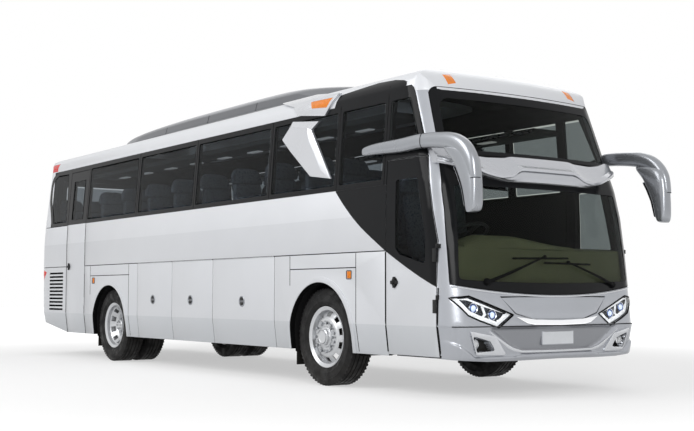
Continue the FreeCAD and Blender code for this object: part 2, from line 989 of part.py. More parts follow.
FAIRING_LAMP_ZONE = outside_zone(
    "fairing_lamp_zone",
    scaled(
        FAIRING_LAMP_SHARES,
        station(S.fairing_lamp_back),
        S.fairing_lamp_length,
        S.fairing_lamp_low,
        S.fairing_lamp_height,
    ),
    S.fairing_width,
)
FAIRING_LAMP = shared("fairing_lamp", FAIRING, FAIRING_LAMP_ZONE)
SIDE_PANES = [
    cut(f"side_pane_{number}", shared(f"side_pane_whole_{number}", SKIN, zone), EMERGENCY_DOOR_WAY, WING_ZONE)
    for number, zone in enumerate(PANE_ZONES)
]
keep("window_panes", gathered("all_panes", REAR_PANE, *SIDE_PANES))
keep(
    "side_wings",
    gathered(
        "all_wings",
        *both_sides("wing_plate", WING_PLATE),
        *both_sides("fairing", cut("fairing", FAIRING, FAIRING_LAMP_ZONE)),
    ),
)

# Skirts below the deck line, with the wheel openings, beside the luggage flaps.
SKIRT = shared(
    "skirt_whole",
    SHELL,
    across_zone(
        "skirt_zone",
        rectangle(station(S.rear_door_back) + HALF_GAP, DOOR_EDGE, ZERO, S.deck_line),
    ),
)
BAY_WAY = across_zone(
    "bay_way",
    rectangle(station(S.bay_start) - HALF_GAP, station(S.bay_end) + HALF_GAP, ZERO, S.deck_line),
)
SIDE_MARKER_ZONES = [
    right_zone(
        f"side_marker_zone_{number}",
        side_box(place_x, place_x + S.side_marker_length, S.side_marker_height, S.side_marker_height + S.side_marker_length),
    )
    for number, place_x in enumerate((S.side_marker_rear, S.side_marker_front))
]
SIDE_MARKER_WAYS = [side for zone in SIDE_MARKER_ZONES for side in both_sides(zone.Name, zone)]
SIDE_MARKERS = [
    shared(f"side_marker_{number}", SKIRT, way) for number, way in enumerate(SIDE_MARKER_WAYS)
]
FLARE_FORM = moved("flare_form", y=-S.flare_rise)
FLARES = []
for number, axle in enumerate((REAR_AXLE, FRONT_AXLE)):
    flare_zone = right_zone(f"flare_zone_{number}", arch_outline(axle, S.flare_width))
    flare_band = cut(f"flare_{number}", shared(f"flare_raised_{number}", FLARE_FORM, flare_zone), OUTER, ARCHES[number])
    FLARES += both_sides(f"flare_{number}", flare_band)
SKIRT_OPEN = cut("skirt_open", SKIRT, BAY_WAY, *ARCHES, EMERGENCY_DOOR_WAY, *SIDE_MARKER_WAYS)
keep("skirt_panels", joined("skirt_flared", SKIRT_OPEN, *FLARES))

# Luggage flaps, one for each bay on each side, with the rod they hang from.
for name, low, high in FLAP_STATIONS:
    flap = shared(
        f"{name}_flap_leaf",
        SHELL,
        right_zone(
            f"{name}_flap_zone",
            rectangle(
                station(low) + HALF_GAP,
                station(high) - HALF_GAP,
                S.skirt_bottom,
                S.deck_line - S.panel_gap,
            ),
        ),
    )
    hinge = rod(
        f"{name}_flap_rod",
        HALF_GAP - S.seat_gap,
        (station(low) + S.panel_gap, -HALF_WIDTH, S.deck_line - HALF_GAP),
        high - low - S.panel_gap - S.panel_gap,
        "X",
    )
    pair = gathered(f"{name}_flap_pair", flap, hinge)
    keep(f"{name}_flap_right", pair)
    keep(f"{name}_flap_left", mirrored(f"{name}_flap_mirrored", pair))


HINGE_RADIUS = HALF_GAP - S.seat_gap
BARREL_HEIGHTS = (S.crease_height + S.barrel_length, S.deck_line - S.barrel_length)


def side_door(label, zone, window, barrel_x):
    """A hinged door leaf with its window opening, its hinge barrels on their straps and its glass."""
    leaf = shared(f"{label}_leaf", SHELL, zone)
    barrels = []
    for number, height in enumerate(BARREL_HEIGHTS):
        barrel = rod(
            f"{label}_barrel_{number}",
            HINGE_RADIUS,
            (barrel_x, -HALF_WIDTH, height),
            S.barrel_length,
            "Z",
        )
        strap = block(
            f"{label}_strap_{number}",
            (barrel_x - S.strap_length, barrel_x),
            (-HALF_WIDTH - HINGE_RADIUS, -HALF_WIDTH + S.strap_depth),
            (height, height + S.barrel_length),
        )
        seated = cut(f"{label}_strap_seated_{number}", strap, OUTER)
        barrels.append(joined(f"{label}_hinge_{number}", barrel, seated))
    open_leaf = cut(f"{label}_open_leaf", leaf, window)
    whole = gathered(f"{label}_whole", open_leaf, *barrels)
    glass = shared(f"{label}_pane", SKIN, window)
    return whole, glass


FRONT_DOOR_ZONE = right_zone("front_door_zone", door_outline(S.front_door_back, S.front_door_top, -HALF_GAP))
FRONT_DOOR_WINDOW = right_zone(
    "front_door_window",
    [
        (station(S.front_door_back) + S.door_frame, S.door_glass_low),
        (station(S.front_door_front) - S.door_frame, S.door_glass_low),
        (station(S.front_door_front) - S.door_frame, S.lean_start),
        (station(pillar_line(S.front_door_top - S.door_head)) - S.door_frame, S.front_door_top - S.door_head),
        (station(S.front_door_back) + S.door_frame, S.front_door_top - S.door_head),
    ],
)
DRIVER_LEAF, DRIVER_GLASS = side_door(
    "front_door", FRONT_DOOR_ZONE, FRONT_DOOR_WINDOW, station(S.front_door_front)
)
keep("driver_door", DRIVER_LEAF)
keep("driver_door_glass", DRIVER_GLASS)
keep("entry_door", mirrored("entry_door_leaf", DRIVER_LEAF))
keep("entry_door_glass", mirrored("entry_door_pane", DRIVER_GLASS))

EMERGENCY_ZONE = right_zone(
    "emergency_zone",
    rectangle(
        station(S.rear_door_back) + HALF_GAP,
        station(S.rear_door_front) - HALF_GAP,
        ZERO,
        S.rear_door_top - HALF_GAP,
    ),
)
EMERGENCY_WINDOW = right_zone(
    "emergency_window",
    side_box(
        S.rear_door_back + S.door_frame,
        S.rear_door_front - S.door_frame,
        S.waist_height + S.window_sill,
        S.rear_door_top - S.door_frame,
    ),
)
EMERGENCY_LEAF, EMERGENCY_GLASS = side_door(
    "rear_door", EMERGENCY_ZONE, EMERGENCY_WINDOW, station(S.rear_door_front)
)
keep("emergency_door", EMERGENCY_LEAF)
keep("emergency_door_glass", EMERGENCY_GLASS)

# Roof: everything above the side windows.
ROOF_ZONE = across_zone(
    "roof_zone",
    rectangle(TAIL - S.overrun, NOSE + S.overrun, S.window_top, S.roof_height + S.overrun),
)
ROOF = shared("roof_whole", SHELL, ROOF_ZONE)
MARKER_BLOCKS = [
    block(
        f"marker_block_{number}",
        (station(S.marker_station), station(S.marker_station) + S.marker_length),
        (offset - S.marker_width, offset),
        (S.window_top + S.overrun, S.roof_height),
    )
    for number, offset in enumerate((-S.marker_offset, S.marker_offset + S.marker_width))
]
REAR_MARKER = block(
    "roof_lamp_block",
    (TAIL, station(S.roof_lamp_front)),
    (-HALF_WIDTH, -S.roof_lamp_inner),
    (S.roof_lamp_low, S.roof_lamp_low + S.roof_lamp_height),
)
REAR_MARKERS = both_sides("roof_lamp_block", REAR_MARKER)
ROOF_MARKERS = MARKER_BLOCKS + REAR_MARKERS
keep("roof_shell", cut("roof_open", ROOF, *ROOF_MARKERS))
keep(
    "marker_lamps",
    gathered(
        "all_markers",
        *[shared(f"marker_{number}", ROOF, marker) for number, marker in enumerate(ROOF_MARKERS)],
        *both_sides("fairing_lamp", FAIRING_LAMP),
        *SIDE_MARKERS,
    ),
)

# Roof unit with a rounded back and a long tapered front, following the crown.
POD_LOW = S.roof_height - S.pod_sink
POD = pad(
    "pod_side",
    "XZ",
    [
        (station(S.pod_back), POD_LOW),
        (station(S.pod_front), POD_LOW),
        (station(S.pod_front) - S.pod_taper, S.pod_top),
        (station(S.pod_back) + S.pod_round, S.pod_top),
        (station(S.pod_back) + S.pod_sink, S.roof_height + S.pod_sink / 2),
    ],
    -S.pod_half_width,
    S.pod_half_width + S.pod_half_width,
)
POD_SECTION = pad(
    "pod_section",
    "YZ",
    [
        (-S.pod_half_width, POD_LOW),
        (S.pod_half_width, POD_LOW),
        (S.pod_half_width - S.pod_lean, S.pod_top - S.pod_sink / 2),
        (S.pod_half_width - S.pod_lean - S.pod_lean, S.pod_top),
        (-S.pod_half_width + S.pod_lean + S.pod_lean, S.pod_top),
        (-S.pod_half_width + S.pod_lean, S.pod_top - S.pod_sink / 2),
    ],
    station(S.pod_back) - S.overrun,
    S.pod_front - S.pod_back + S.overrun + S.overrun,
)
POD_BAND = block(
    "pod_band",
    (station(S.pod_back) + S.pod_round, station(S.pod_front) - S.pod_taper),
    (-S.pod_half_width - S.overrun, -S.pod_band_inner),
    (S.pod_band_low, S.pod_band_low + S.pod_band_height),
)
keep(
    "roof_unit",
    cut("roof_unit_seated", shared("pod_whole", POD, POD_SECTION), OUTER, *both_sides("pod_band", POD_BAND)),
)

# Front: pillars and face in one, with two windscreens parted by a rail.
def screen_outline(low, high, low_side):
    """A windscreen in the front view: its bottom edge bows down, its sides follow the pillars."""
    def half_at(height):
        share = (height - S.screen_sill) / (S.screen_top - S.screen_sill)
        return S.screen_half_bottom - (S.screen_half_bottom - S.screen_half_top) * share

    half_low = half_at(low_side)
    half_high = half_at(high)
    bow = low_side - low
    return [
        (half_high, high),
        (-half_high, high),
        (-half_low, low_side),
        Bend((half_low, low_side), (half_low * half_low + bow * bow) / (bow + bow)),
    ]


LOWER_SCREEN = front_zone(
    "lower_screen_zone",
    screen_outline(S.screen_sill, S.visor_low, S.screen_sill + S.screen_sill_rise),
)
UPPER_SCREEN = front_zone(
    "upper_screen_zone",
    screen_outline(S.visor_high, S.screen_top, S.visor_high + S.joint_groove),
)
LAMP_OUTLINE = [
    (S.lamp_inner, S.lamp_inner_height),
    (S.lamp_low, S.lamp_low_height),
    (S.lamp_step, S.lamp_step_height),
    (S.lamp_outer_low, S.lamp_outer_low_height),
    (S.lamp_outer, S.lamp_outer_height),
    (S.lamp_brow, S.lamp_brow_height),
    (S.lamp_bend, S.lamp_bend_height),
]
LAMP_ZONE = pad("lamp_zone", "YZ", LAMP_OUTLINE, NOSE - S.lamp_reach, S.lamp_reach + S.overrun)
LAMP_ZONES = [LAMP_ZONE, mirrored("lamp_zone_mirrored", LAMP_ZONE)]
FOG_RIGHT = rod(
    "fog_zone",
    S.fog_radius,
    (NOSE - S.side_depth, -S.fog_offset, S.fog_height),
    S.side_depth + S.overrun,
    "X",
)
FOG_ZONES = [FOG_RIGHT, mirrored("fog_zone_mirrored", FOG_RIGHT)]
POCKET_SHARES = ((1, 1), (0.27, 0.66), (0, 0.063), (0.779, 0))
POCKET_ZONE = front_zone(
    "pocket_zone",
    scaled(POCKET_SHARES, S.pocket_inner, S.pocket_width, S.pocket_low, S.pocket_height),
)
POCKET = cut("pocket", POCKET_ZONE, moved("pocket_form", -S.pocket_depth))
RECESS_SHARES = ((-0.524, 0), (0.524, 0), (0.714, 0.244), (1, 0.9), (1, 1), (-1, 1), (-1, 0.9), (-0.714, 0.244))
RECESS_ZONE = front_zone(
    "recess_zone",
    scaled(RECESS_SHARES, ZERO, S.recess_half, S.recess_low, S.recess_height),
)
RECESS = cut("recess", RECESS_ZONE, moved("recess_form", -S.recess_depth))
LIP_SHARES = (
    (-1, 0),
    (1, 0),
    (1, 1),
    (0.88, 0.41),
    (0.505, 0.35),
    (0.414, 0.47),
    (-0.414, 0.47),
    (-0.505, 0.35),
    (-0.88, 0.41),
    (-1, 1),
)
LIP_ZONE = front_zone("lip_zone", scaled(LIP_SHARES, ZERO, S.lip_half, S.lip_low, S.lip_height))
LIP = cut("lip", shared("lip_raised", moved("lip_form", S.lip_reach), LIP_ZONE), INNER)
FOG_FORM = moved("fog_form", -S.fog_setback)


def front_flap_outline(grow):
    """The front flap in the front view, wider at its top, its lower corners cut off."""
    return [
        (-S.flap_half_bottom - grow, S.flap_low - grow),
        (S.flap_half_bottom + grow, S.flap_low - grow),
        (S.flap_half_corner + grow, S.flap_corner_height - grow),
        (S.flap_half_width + grow, S.flap_high + grow),
        (-S.flap_half_width - grow, S.flap_high + grow),
        (-S.flap_half_corner - grow, S.flap_corner_height - grow),
    ]


FLAP_WAY = pad(
    "front_flap_way",
    "YZ",
    front_flap_outline(S.panel_gap),
    NOSE - S.side_depth,
    S.side_depth + S.overrun,
)
FLAP_ZONE = pad("front_flap_zone", "YZ", front_flap_outline(ZERO), NOSE - S.side_depth, S.side_depth + S.overrun)
FRONT_EDGE = station(S.front_door_front) + HALF_GAP
FACE = shared(
    "face_whole",
    SHELL,
    across_zone(
        "face_zone",
        [
            (FRONT_EDGE, S.crease_height),
            (NOSE + S.overrun, S.crease_height),
            (NOSE + S.overrun, S.window_top),
            (station(pillar_top_line(S.window_top)) + HALF_GAP, S.window_top),
            (station(pillar_line(S.front_door_top)) + HALF_GAP, S.front_door_top),
            (FRONT_EDGE, S.lean_start),
        ],
    ),
)
FACE_OPEN = cut("face_open", FACE, LOWER_SCREEN, UPPER_SCREEN, FLAP_WAY, *LAMP_ZONES)


def pillar_knuckle(label, height):
    """A fixed hinge knuckle on the right front pillar, just above one of the door's barrels."""
    axis_x = station(S.front_door_front)
    low = height + S.barrel_length + S.seat_gap
    barrel = rod(f"{label}_barrel", HINGE_RADIUS, (axis_x, -HALF_WIDTH, low), S.knuckle_length, "Z")
    strap = block(
        f"{label}_strap",
        (axis_x, axis_x + S.knuckle_reach),
        (-HALF_WIDTH - HINGE_RADIUS, -HALF_WIDTH + S.knuckle_depth),
        (low, low + S.knuckle_length),
    )
    return joined(label, barrel, cut(f"{label}_strap_seated", strap, OUTER))


KNUCKLES = [pillar_knuckle(f"pillar_knuckle_{number}", height) for number, height in enumerate(BARREL_HEIGHTS)]
KNUCKLES += [mirrored(f"{knuckle.Name}_left", knuckle) for knuckle in KNUCKLES]
keep("front_mask", joined("face_hinged", FACE_OPEN, *KNUCKLES))
BUMPER = shared(
    "bumper_whole",
    SHELL,
    across_zone("bumper_zone", rectangle(FRONT_EDGE, NOSE + S.overrun, ZERO, S.crease_height)),
)
keep(
    "front_bumper",
    cut(
        "bumper_open",
        joined("bumper_lipped", BUMPER, LIP),
        *LAMP_ZONES,
        RECESS,
        *both_sides("pocket", POCKET),
        *FOG_ZONES,
    ),
)
NOSE_SHELL = shared(
    "nose_shell",
    SHELL,
    across_zone("nose_zone", rectangle(FRONT_EDGE, NOSE + S.overrun, ZERO, S.deck_line)),
)
keep(
    "front_lamps",
    gathered(
        "all_front_lamps",
        *[shared(f"front_lamp_{number}", NOSE_SHELL, zone) for number, zone in enumerate(LAMP_ZONES)],
        *[
            shared(f"fog_lamp_{number}", shared(f"fog_lamp_whole_{number}", NOSE_SHELL, zone), FOG_FORM)
            for number, zone in enumerate(FOG_ZONES)
        ],
    ),
)
keep(
    "windscreens",
    gathered(
        "both_screens",
        shared("lower_screen", SKIN, LOWER_SCREEN),
        shared("upper_screen", SKIN, UPPER_SCREEN),
    ),
)
FLAP_SWING = rod(
    "front_flap_swing",
    S.flap_high + S.panel_gap - S.flap_low,
    (
        NOSE - S.nose_tuck_deck * (S.flap_low - S.crease_height) / (S.deck_line - S.crease_height),
        -S.flap_half_width,
        S.flap_low - HALF_GAP,
    ),
    S.flap_half_width + S.flap_half_width,
    "Y",
)
FLAP_LEAF = shared("front_flap_leaf", shared("front_flap_sheet", SHELL, FLAP_ZONE), FLAP_SWING)
FLAP_ROD = rod(
    "front_flap_rod",
    HALF_GAP - S.seat_gap,
    (
        NOSE - S.nose_tuck_deck * (S.flap_low - S.crease_height) / (S.deck_line - S.crease_height),
        -S.hinge_half,
        S.flap_low - HALF_GAP,
    ),
    S.hinge_half + S.hinge_half,
    "Y",
)
keep("front_flap", gathered("front_flap_pair", FLAP_LEAF, FLAP_ROD))

# Bowed visor across the face, with a folded ridge that dips beside the middle and rises to the ends.
VISOR_SHARES = (
    # across, top, ridge, low, reach
    (0.305, 0.816, 0.435, 0.01, 1),
    (0.424, 0.752, 0.206, 0.003, 1),
    (0.576, 0.733, 0.187, 0.105, 1),
    (0.729, 0.797, 0.349, 0.238, 1),
    (0.864, 0.917, 0.549, 0.381, 0.85),
    (1, 0.987, 0.702, 0.508, 0.45),
)


def nose_place(across, height):
    """The nose's place along X above the waist, at a distance from the middle and a height."""
    lean = (S.nose_tuck_window - S.nose_tuck_waist) / (S.window_top - S.waist_height)
    centre = NOSE - S.nose_tuck_waist - (height - S.waist_height) * lean - S.front_bow
    half = HALF_WIDTH - S.waist_tuck
    inner, _, turn = bow_and_corner(S.front_bow, S.corner_radius, half)
    if across.value <= turn.value:
        return centre + root(S.front_bow * S.front_bow - across * across)
    past = across - half + S.corner_radius
    return centre + inner + root(S.corner_radius * S.corner_radius - past * past)


def visor_section(number, across, sign, top, ridge, low, reach):
    """The visor's section at a distance from the middle, upright and along the body."""
    corners = [
        (S.visor_low + S.visor_rise * low, S.visor_low_reach * reach),
        (S.visor_low + S.visor_rise * ridge, S.visor_ridge_reach * reach),
        (S.visor_low + S.visor_rise * top, S.visor_top_reach * reach),
    ]
    outline = [(nose_place(across, height) + out, height) for height, out in corners]
    back = outline[2][0] - S.visor_depth
    outline = [(back, outline[0][1]), *outline, (back, outline[2][1])]
    sketch = DOC.addObject("Sketcher::SketchObject", f"visor_section_{number}")
    draw_outline(sketch, outline)
    return place(sketch, y=across * sign, axis=Vector(1, 0, 0), angle=QUARTER_TURN)


VISOR_ROWS = [(-1, row) for row in reversed(VISOR_SHARES)] + [(1, row) for row in VISOR_SHARES]
VISOR = DOC.addObject("Part::Loft", "visor_loft")
VISOR.Sections = [
    visor_section(number, S.visor_half * row[0], sign, *row[1:]) for number, (sign, row) in enumerate(VISOR_ROWS)
]
VISOR.Solid = True
VISOR.Ruled = True
keep("front_visor", cut("visor_seated", VISOR, OUTER))

# Mirrors on arms that run forward from the pillars and bend down.
MIRROR_OUTER = HALF_WIDTH + S.mirror_side_gap
MIRROR_TIP = NOSE + S.mirror_reach
HEAD_SHARES = (
    (0.53, 0.03),
    (0.7, 0),
    (0.87, 0.01),
    (0.98, 0.09),
    (1, 0.5),
    (0.96, 0.78),
    (0.83, 0.93),
    (0.04, 1),
    (0, 0.97),
    (0.08, 0.89),
    (0.29, 0.6),
)


def arm_outline(root_station):
    """A mirror's arm in the side view: a long bar with a round elbow that bends down to the head."""
    end = MIRROR_TIP - S.mirror_margin
    return [
        (station(root_station), S.arm_low + S.arm_root_rise),
        (station(root_station) + S.arm_root_length, S.arm_low + S.arm_root_rise / 2),
        (station(S.arm_elbow), S.arm_low),
        Bend((end - S.arm_end_width, S.arm_end_height), S.arm_elbow_inner_radius, left=False),
        (end, S.arm_end_height),
        Bend((station(S.arm_elbow), S.arm_high), S.arm_elbow_outer_radius),
        (station(root_station) + S.arm_root_length, S.arm_high),
        (station(root_station), S.arm_high - S.arm_root_rise),
    ]


HEAD_SIDE = scaled(HEAD_SHARES, MIRROR_TIP - S.head_length, S.head_length, S.head_low, S.head_height)


def mirror(label, root_station, outer, inner):
    """One mirror between two distances from the middle: its arm, and its head with rounded long edges."""
    low, high = sorted((outer, inner), key=lambda size: size.value)
    top = S.head_low + S.head_height
    arm = pad(f"{label}_arm", "XZ", arm_outline(root_station), low, high - low)
    side = pad(f"{label}_head_side", "XZ", HEAD_SIDE, low, high - low)
    front = pad(
        f"{label}_head_front",
        "YZ",
        [
            Bend((low + S.head_round, S.head_low), S.head_round),
            (high - S.head_round, S.head_low),
            Bend((high, S.head_low + S.head_round), S.head_round),
            (high, top - S.head_round),
            Bend((high - S.head_round, top), S.head_round),
            (low + S.head_round, top),
            Bend((low, top - S.head_round), S.head_round),
            (low, S.head_low + S.head_round),
        ],
        NOSE - S.side_depth,
        S.side_depth + S.mirror_reach + S.overrun,
    )
    whole = joined(f"{label}_whole", arm, shared(f"{label}_head", side, front))
    return cut(f"{label}_seated", whole, OUTER)


keep(
    "mirrors",
    gathered(
        "both_mirrors",
        mirror("mirror_right", S.mirror_root_right, -MIRROR_OUTER, -MIRROR_OUTER + S.mirror_width),
        mirror("mirror_left", S.mirror_root_left, MIRROR_OUTER, MIRROR_OUTER - S.mirror_width),
    ),
)

# Rear end with its window, lamps and engine lid.
REAR_WHOLE = shared(
    "rear_whole",
    SHELL,
    across_zone(
        "rear_zone_outline",
        [
            (TAIL - S.overrun, ZERO),
            (station(S.rear_door_back) - HALF_GAP, ZERO),
            (station(S.rear_door_back) - HALF_GAP, S.waist_height),
            (station(S.rear_quarter), S.waist_height),
            (station(S.rear_quarter), S.window_top),
            (TAIL - S.overrun, S.window_top),
        ],
    ),
)
LID_ZONE = rear_zone(
    "engine_lid_zone",
    rectangle(-S.engine_lid_half, S.engine_lid_half, S.engine_lid_low, S.engine_lid_high),
)
LID_WAY = rear_zone(
    "engine_lid_way",
    rectangle(
        -S.engine_lid_half - S.panel_gap,
        S.engine_lid_half + S.panel_gap,
        S.engine_lid_low - S.panel_gap,
        S.engine_lid_high + S.panel_gap,
    ),
)
TAIL_LAMP_SHARES = ((-0.2, 0), (0.312, 0), (0.503, 0.36), (1, 0.795), (0.25, 0.985), (-0.2, 1))
TAIL_LAMP_RIGHT = outside_zone(
    "tail_lamp_zone",
    scaled(TAIL_LAMP_SHARES, TAIL, S.tail_lamp_reach, S.tail_lamp_low, S.tail_lamp_height),
    HALF_WIDTH + S.overrun - S.tail_lamp_offset,
)
TAIL_LAMP_ZONES = [TAIL_LAMP_RIGHT, mirrored("tail_lamp_zone_mirrored", TAIL_LAMP_RIGHT)]
REAR_WINDOW_WAY = rear_zone("rear_window_way", REAR_WINDOW)
GRILLE_ZONES = [
    right_zone(
        f"grille_slot_{number}",
        side_box(
            S.grille_back,
            S.grille_front,
            S.grille_low + S.grille_pitch * number,
            S.grille_low + S.grille_pitch * number + S.grille_slot,
        ),
    )
    for number in range(GRILLE_SLOTS)
]
keep(
    "rear_mask",
    cut("rear_open", REAR_WHOLE, LID_WAY, REAR_WINDOW_WAY, *TAIL_LAMP_ZONES, *GRILLE_ZONES),
)
keep(
    "tail_lamps",
    gathered(
        "both_tail_lamps",
        *[shared(f"tail_lamp_{number}", REAR_WHOLE, zone) for number, zone in enumerate(TAIL_LAMP_ZONES)],
    ),
)
LID_LEAF = shared("engine_lid_leaf", SHELL, LID_ZONE)
LID_ROD = rod(
    "engine_lid_rod",
    HALF_GAP - S.seat_gap,
    (TAIL, -S.hinge_half, S.engine_lid_high + HALF_GAP),
    S.hinge_half + S.hinge_half,
    "Y",
)
keep("engine_lid", gathered("engine_lid_pair", LID_LEAF, LID_ROD))


# Chassis: two long rails with cross-members, and posts up to the deck.
RAIL_TOP = S.rail_bottom + S.rail_height
RAIL_INNER = S.rail_offset - S.rail_width / 2
RAIL_OUTER = S.rail_offset + S.rail_width / 2
DECK_LOW = S.floor_top - S.floor_thickness
RAIL = block(
    "rail_right",
    (station(S.rail_back), station(S.rail_front)),
    (-RAIL_OUTER, -RAIL_INNER),
    (S.rail_bottom, RAIL_TOP),
)
CROSS_MEMBERS = [
    block(
        f"cross_member_{number}",
        (station(place_x), station(place_x) + S.cross_width),
        (-RAIL_INNER, RAIL_INNER),
        (S.rail_bottom, RAIL_TOP),
    )
    for number, place_x in enumerate(
        (S.rail_back, S.arch_back_member, S.bay_start, S.bay_third, S.bay_end, S.front_member)
    )
]
POSTS = [
    block(
        f"deck_post_{number}",
        (station(place_x), station(place_x) + S.cross_width),
        (-RAIL_OUTER, -RAIL_INNER),
        (RAIL_TOP, DECK_LOW),
    )
    for number, place_x in enumerate((S.rail_back, S.arch_back_member, S.front_post))
]
HALF_FRAME = joined("half_frame", RAIL, *POSTS)
FRAME = joined("frame_whole", HALF_FRAME, mirrored("half_frame_mirrored", HALF_FRAME), *CROSS_MEMBERS)
keep("chassis_frame", FRAME)

# Floors.
STAIR_HALF = HALF_WIDTH - S.skirt_tuck - S.wall
EMERGENCY_WELL = block(
    "emergency_well",
    (station(S.rear_door_back) + S.well_margin, station(S.rear_door_front) - S.well_margin),
    (-HALF_WIDTH, -S.well_inner),
    (ZERO, S.floor_top + S.overrun),
)
FLOOR = block(
    "floor_slab",
    (TAIL, station(S.cab_floor_back)),
    (-HALF_WIDTH, HALF_WIDTH),
    (DECK_LOW, S.floor_top),
)


def door_sweep(label, back, front):
    """The strip beside a doorway that the door's inner corner sweeps through, on the right side."""
    return block(
        label,
        (station(back) - S.panel_gap, station(front) + S.panel_gap),
        (-HALF_WIDTH, -HALF_WIDTH + S.wall + S.panel_gap + S.panel_gap),
        (ZERO, S.floor_top + S.overrun),
    )


EMERGENCY_SWEEP = door_sweep("emergency_sweep", S.rear_door_back, S.rear_door_front)
FLOOR_FITTED = shared("floor_fitted", FLOOR, INNER)
keep("saloon_floor", cut("saloon_floor_open", FLOOR_FITTED, EMERGENCY_WELL, EMERGENCY_SWEEP))
ENTRY_WELL = block(
    "entry_well",
    (station(S.front_door_back) + S.well_margin, station(S.front_door_front) - S.well_margin),
    (-HALF_WIDTH, -S.entry_well_inner),
    (ZERO, S.floor_top),
)
ENTRY_SWEEP = door_sweep("entry_sweep", S.front_door_back, S.front_door_front)
ENTRY_WELLS = [
    ENTRY_WELL,
    mirrored("entry_well_mirrored", ENTRY_WELL),
    ENTRY_SWEEP,
    mirrored("entry_sweep_mirrored", ENTRY_SWEEP),
]
CAB_SLAB = block(
    "cab_slab",
    (station(S.cab_floor_back), station(S.cab_floor_front)),
    (-HALF_WIDTH, HALF_WIDTH),
    (S.cab_floor_top - S.floor_thickness, S.cab_floor_top),
)
CAB_RISER = block(
    "cab_riser",
    (station(S.cab_floor_back), station(S.cab_floor_back) + S.bulkhead),
    (-HALF_WIDTH, HALF_WIDTH),
    (S.cab_floor_top - S.floor_thickness, S.floor_top),
)


def well_steps(label, low_x, high_x, inner, top):
    """A sheet of one step from a doorway up to a floor, on the right side."""
    tread_height = (S.step_height + top) / 2
    outline = [
        (-STAIR_HALF + S.panel_gap, S.step_height),
        (-STAIR_HALF + S.panel_gap + S.step_tread, S.step_height),
        (-STAIR_HALF + S.panel_gap + S.step_tread, tread_height),
        (-inner, tread_height),
        (-inner, top),
        (-inner + S.bulkhead, top),
        (-inner + S.bulkhead, tread_height - S.bulkhead),
        (-STAIR_HALF + S.panel_gap + S.step_tread + S.bulkhead, tread_height - S.bulkhead),
        (-STAIR_HALF + S.panel_gap + S.step_tread + S.bulkhead, S.step_height - S.bulkhead),
        (-STAIR_HALF + S.panel_gap, S.step_height - S.bulkhead),
    ]
    outline.reverse()
    return pad(label, "YZ", outline, low_x, high_x - low_x)


ENTRY_STEPS = well_steps(
    "entry_steps",
    station(S.front_door_back) + S.well_margin,
    station(S.front_door_front) - S.well_margin,
    S.entry_well_inner,
    S.cab_floor_top - S.floor_thickness,
)
EMERGENCY_STEPS = well_steps(
    "emergency_steps",
    station(S.rear_door_back) + S.well_margin,
    station(S.rear_door_front) - S.well_margin,
    S.well_inner,
    DECK_LOW,
)
CAB_WHOLE = joined("cab_whole", CAB_SLAB, CAB_RISER)
keep("cab_floor", cut("cab_floor_open", shared("cab_fitted", CAB_WHOLE, INNER), *ENTRY_WELLS))
keep(
    "door_steps",
    gathered("all_steps", ENTRY_STEPS, mirrored("entry_steps_mirrored", ENTRY_STEPS), EMERGENCY_STEPS),
)

# Luggage bays under the deck: a floor and upright walls at each flap line.
BAY_HALF = HALF_WIDTH - S.skirt_tuck - S.wall - S.panel_gap
BAY_FLOOR = block(
    "bay_floor",
    (station(S.bay_start), station(S.bay_end)),
    (-BAY_HALF, BAY_HALF),
    (S.bay_floor_height - S.bay_floor_thickness, S.bay_floor_height),
)
BAY_WALLS = [
    block(
        f"bay_wall_{number}",
        (station(place_x) - shift, station(place_x) - shift + S.bulkhead),
        (-BAY_HALF, BAY_HALF),
        (S.bay_floor_height, DECK_LOW),
    )
    for number, (place_x, shift) in enumerate(
        (
            (S.bay_start, ZERO),
            (S.bay_second, S.bulkhead / 2),
            (S.bay_third, S.bulkhead / 2),
            (S.bay_end, S.bulkhead),
        )
    )
]
keep("luggage_bays", cut("luggage_bays_open", joined("bays_whole", BAY_FLOOR, *BAY_WALLS), FRAME))


def wheel_housing(label, axle):
    """Half the round cover over one pair of wheels, open below, with a wall towards the middle."""
    outside = -HALF_WIDTH + S.wall
    inside = -S.housing_inner
    arch = pad(f"{label}_shape", "XZ", arch_outline(axle, S.housing_sheet), outside, inside - outside)
    grown = shared(f"{label}_fitted", arch, INNER)
    space = pad(
        f"{label}_space",
        "XZ",
        arch_outline(axle, ZERO),
        outside - S.overrun,
        inside - outside - S.housing_sheet + S.overrun,
    )
    below = block(
        f"{label}_below",
        (axle - S.arch_half_width - S.overrun, axle + S.arch_half_width + S.overrun),
        (-HALF_WIDTH, S.overrun),
        (-S.overrun, S.flap_bottom),
    )
    way = block(
        f"{label}_way",
        (axle - S.arch_half_width, axle + S.arch_half_width),
        (-S.housing_inner - S.overrun, S.overrun),
        (ZERO, S.housing_wall_low),
    )
    flap = block(
        f"{label}_mud_flap",
        (axle - S.arch_half_width - S.housing_sheet, axle - S.arch_half_width),
        (-S.mud_flap_outer, -S.mud_flap_inner),
        (S.mud_flap_low, S.mud_flap_top),
    )
    return joined(label, cut(f"{label}_cover", grown, space, below, way), flap)


HOUSINGS = []
for name, axle in (("rear", REAR_AXLE), ("front", FRONT_AXLE)):
    housing = wheel_housing(f"{name}_housing", axle)
    HOUSINGS += [housing, mirrored(f"{name}_housing_mirrored", housing)]
keep("wheel_housings", gathered("all_housings", *HOUSINGS))

# Wheels.
TRACK = S.wheel_track_offset


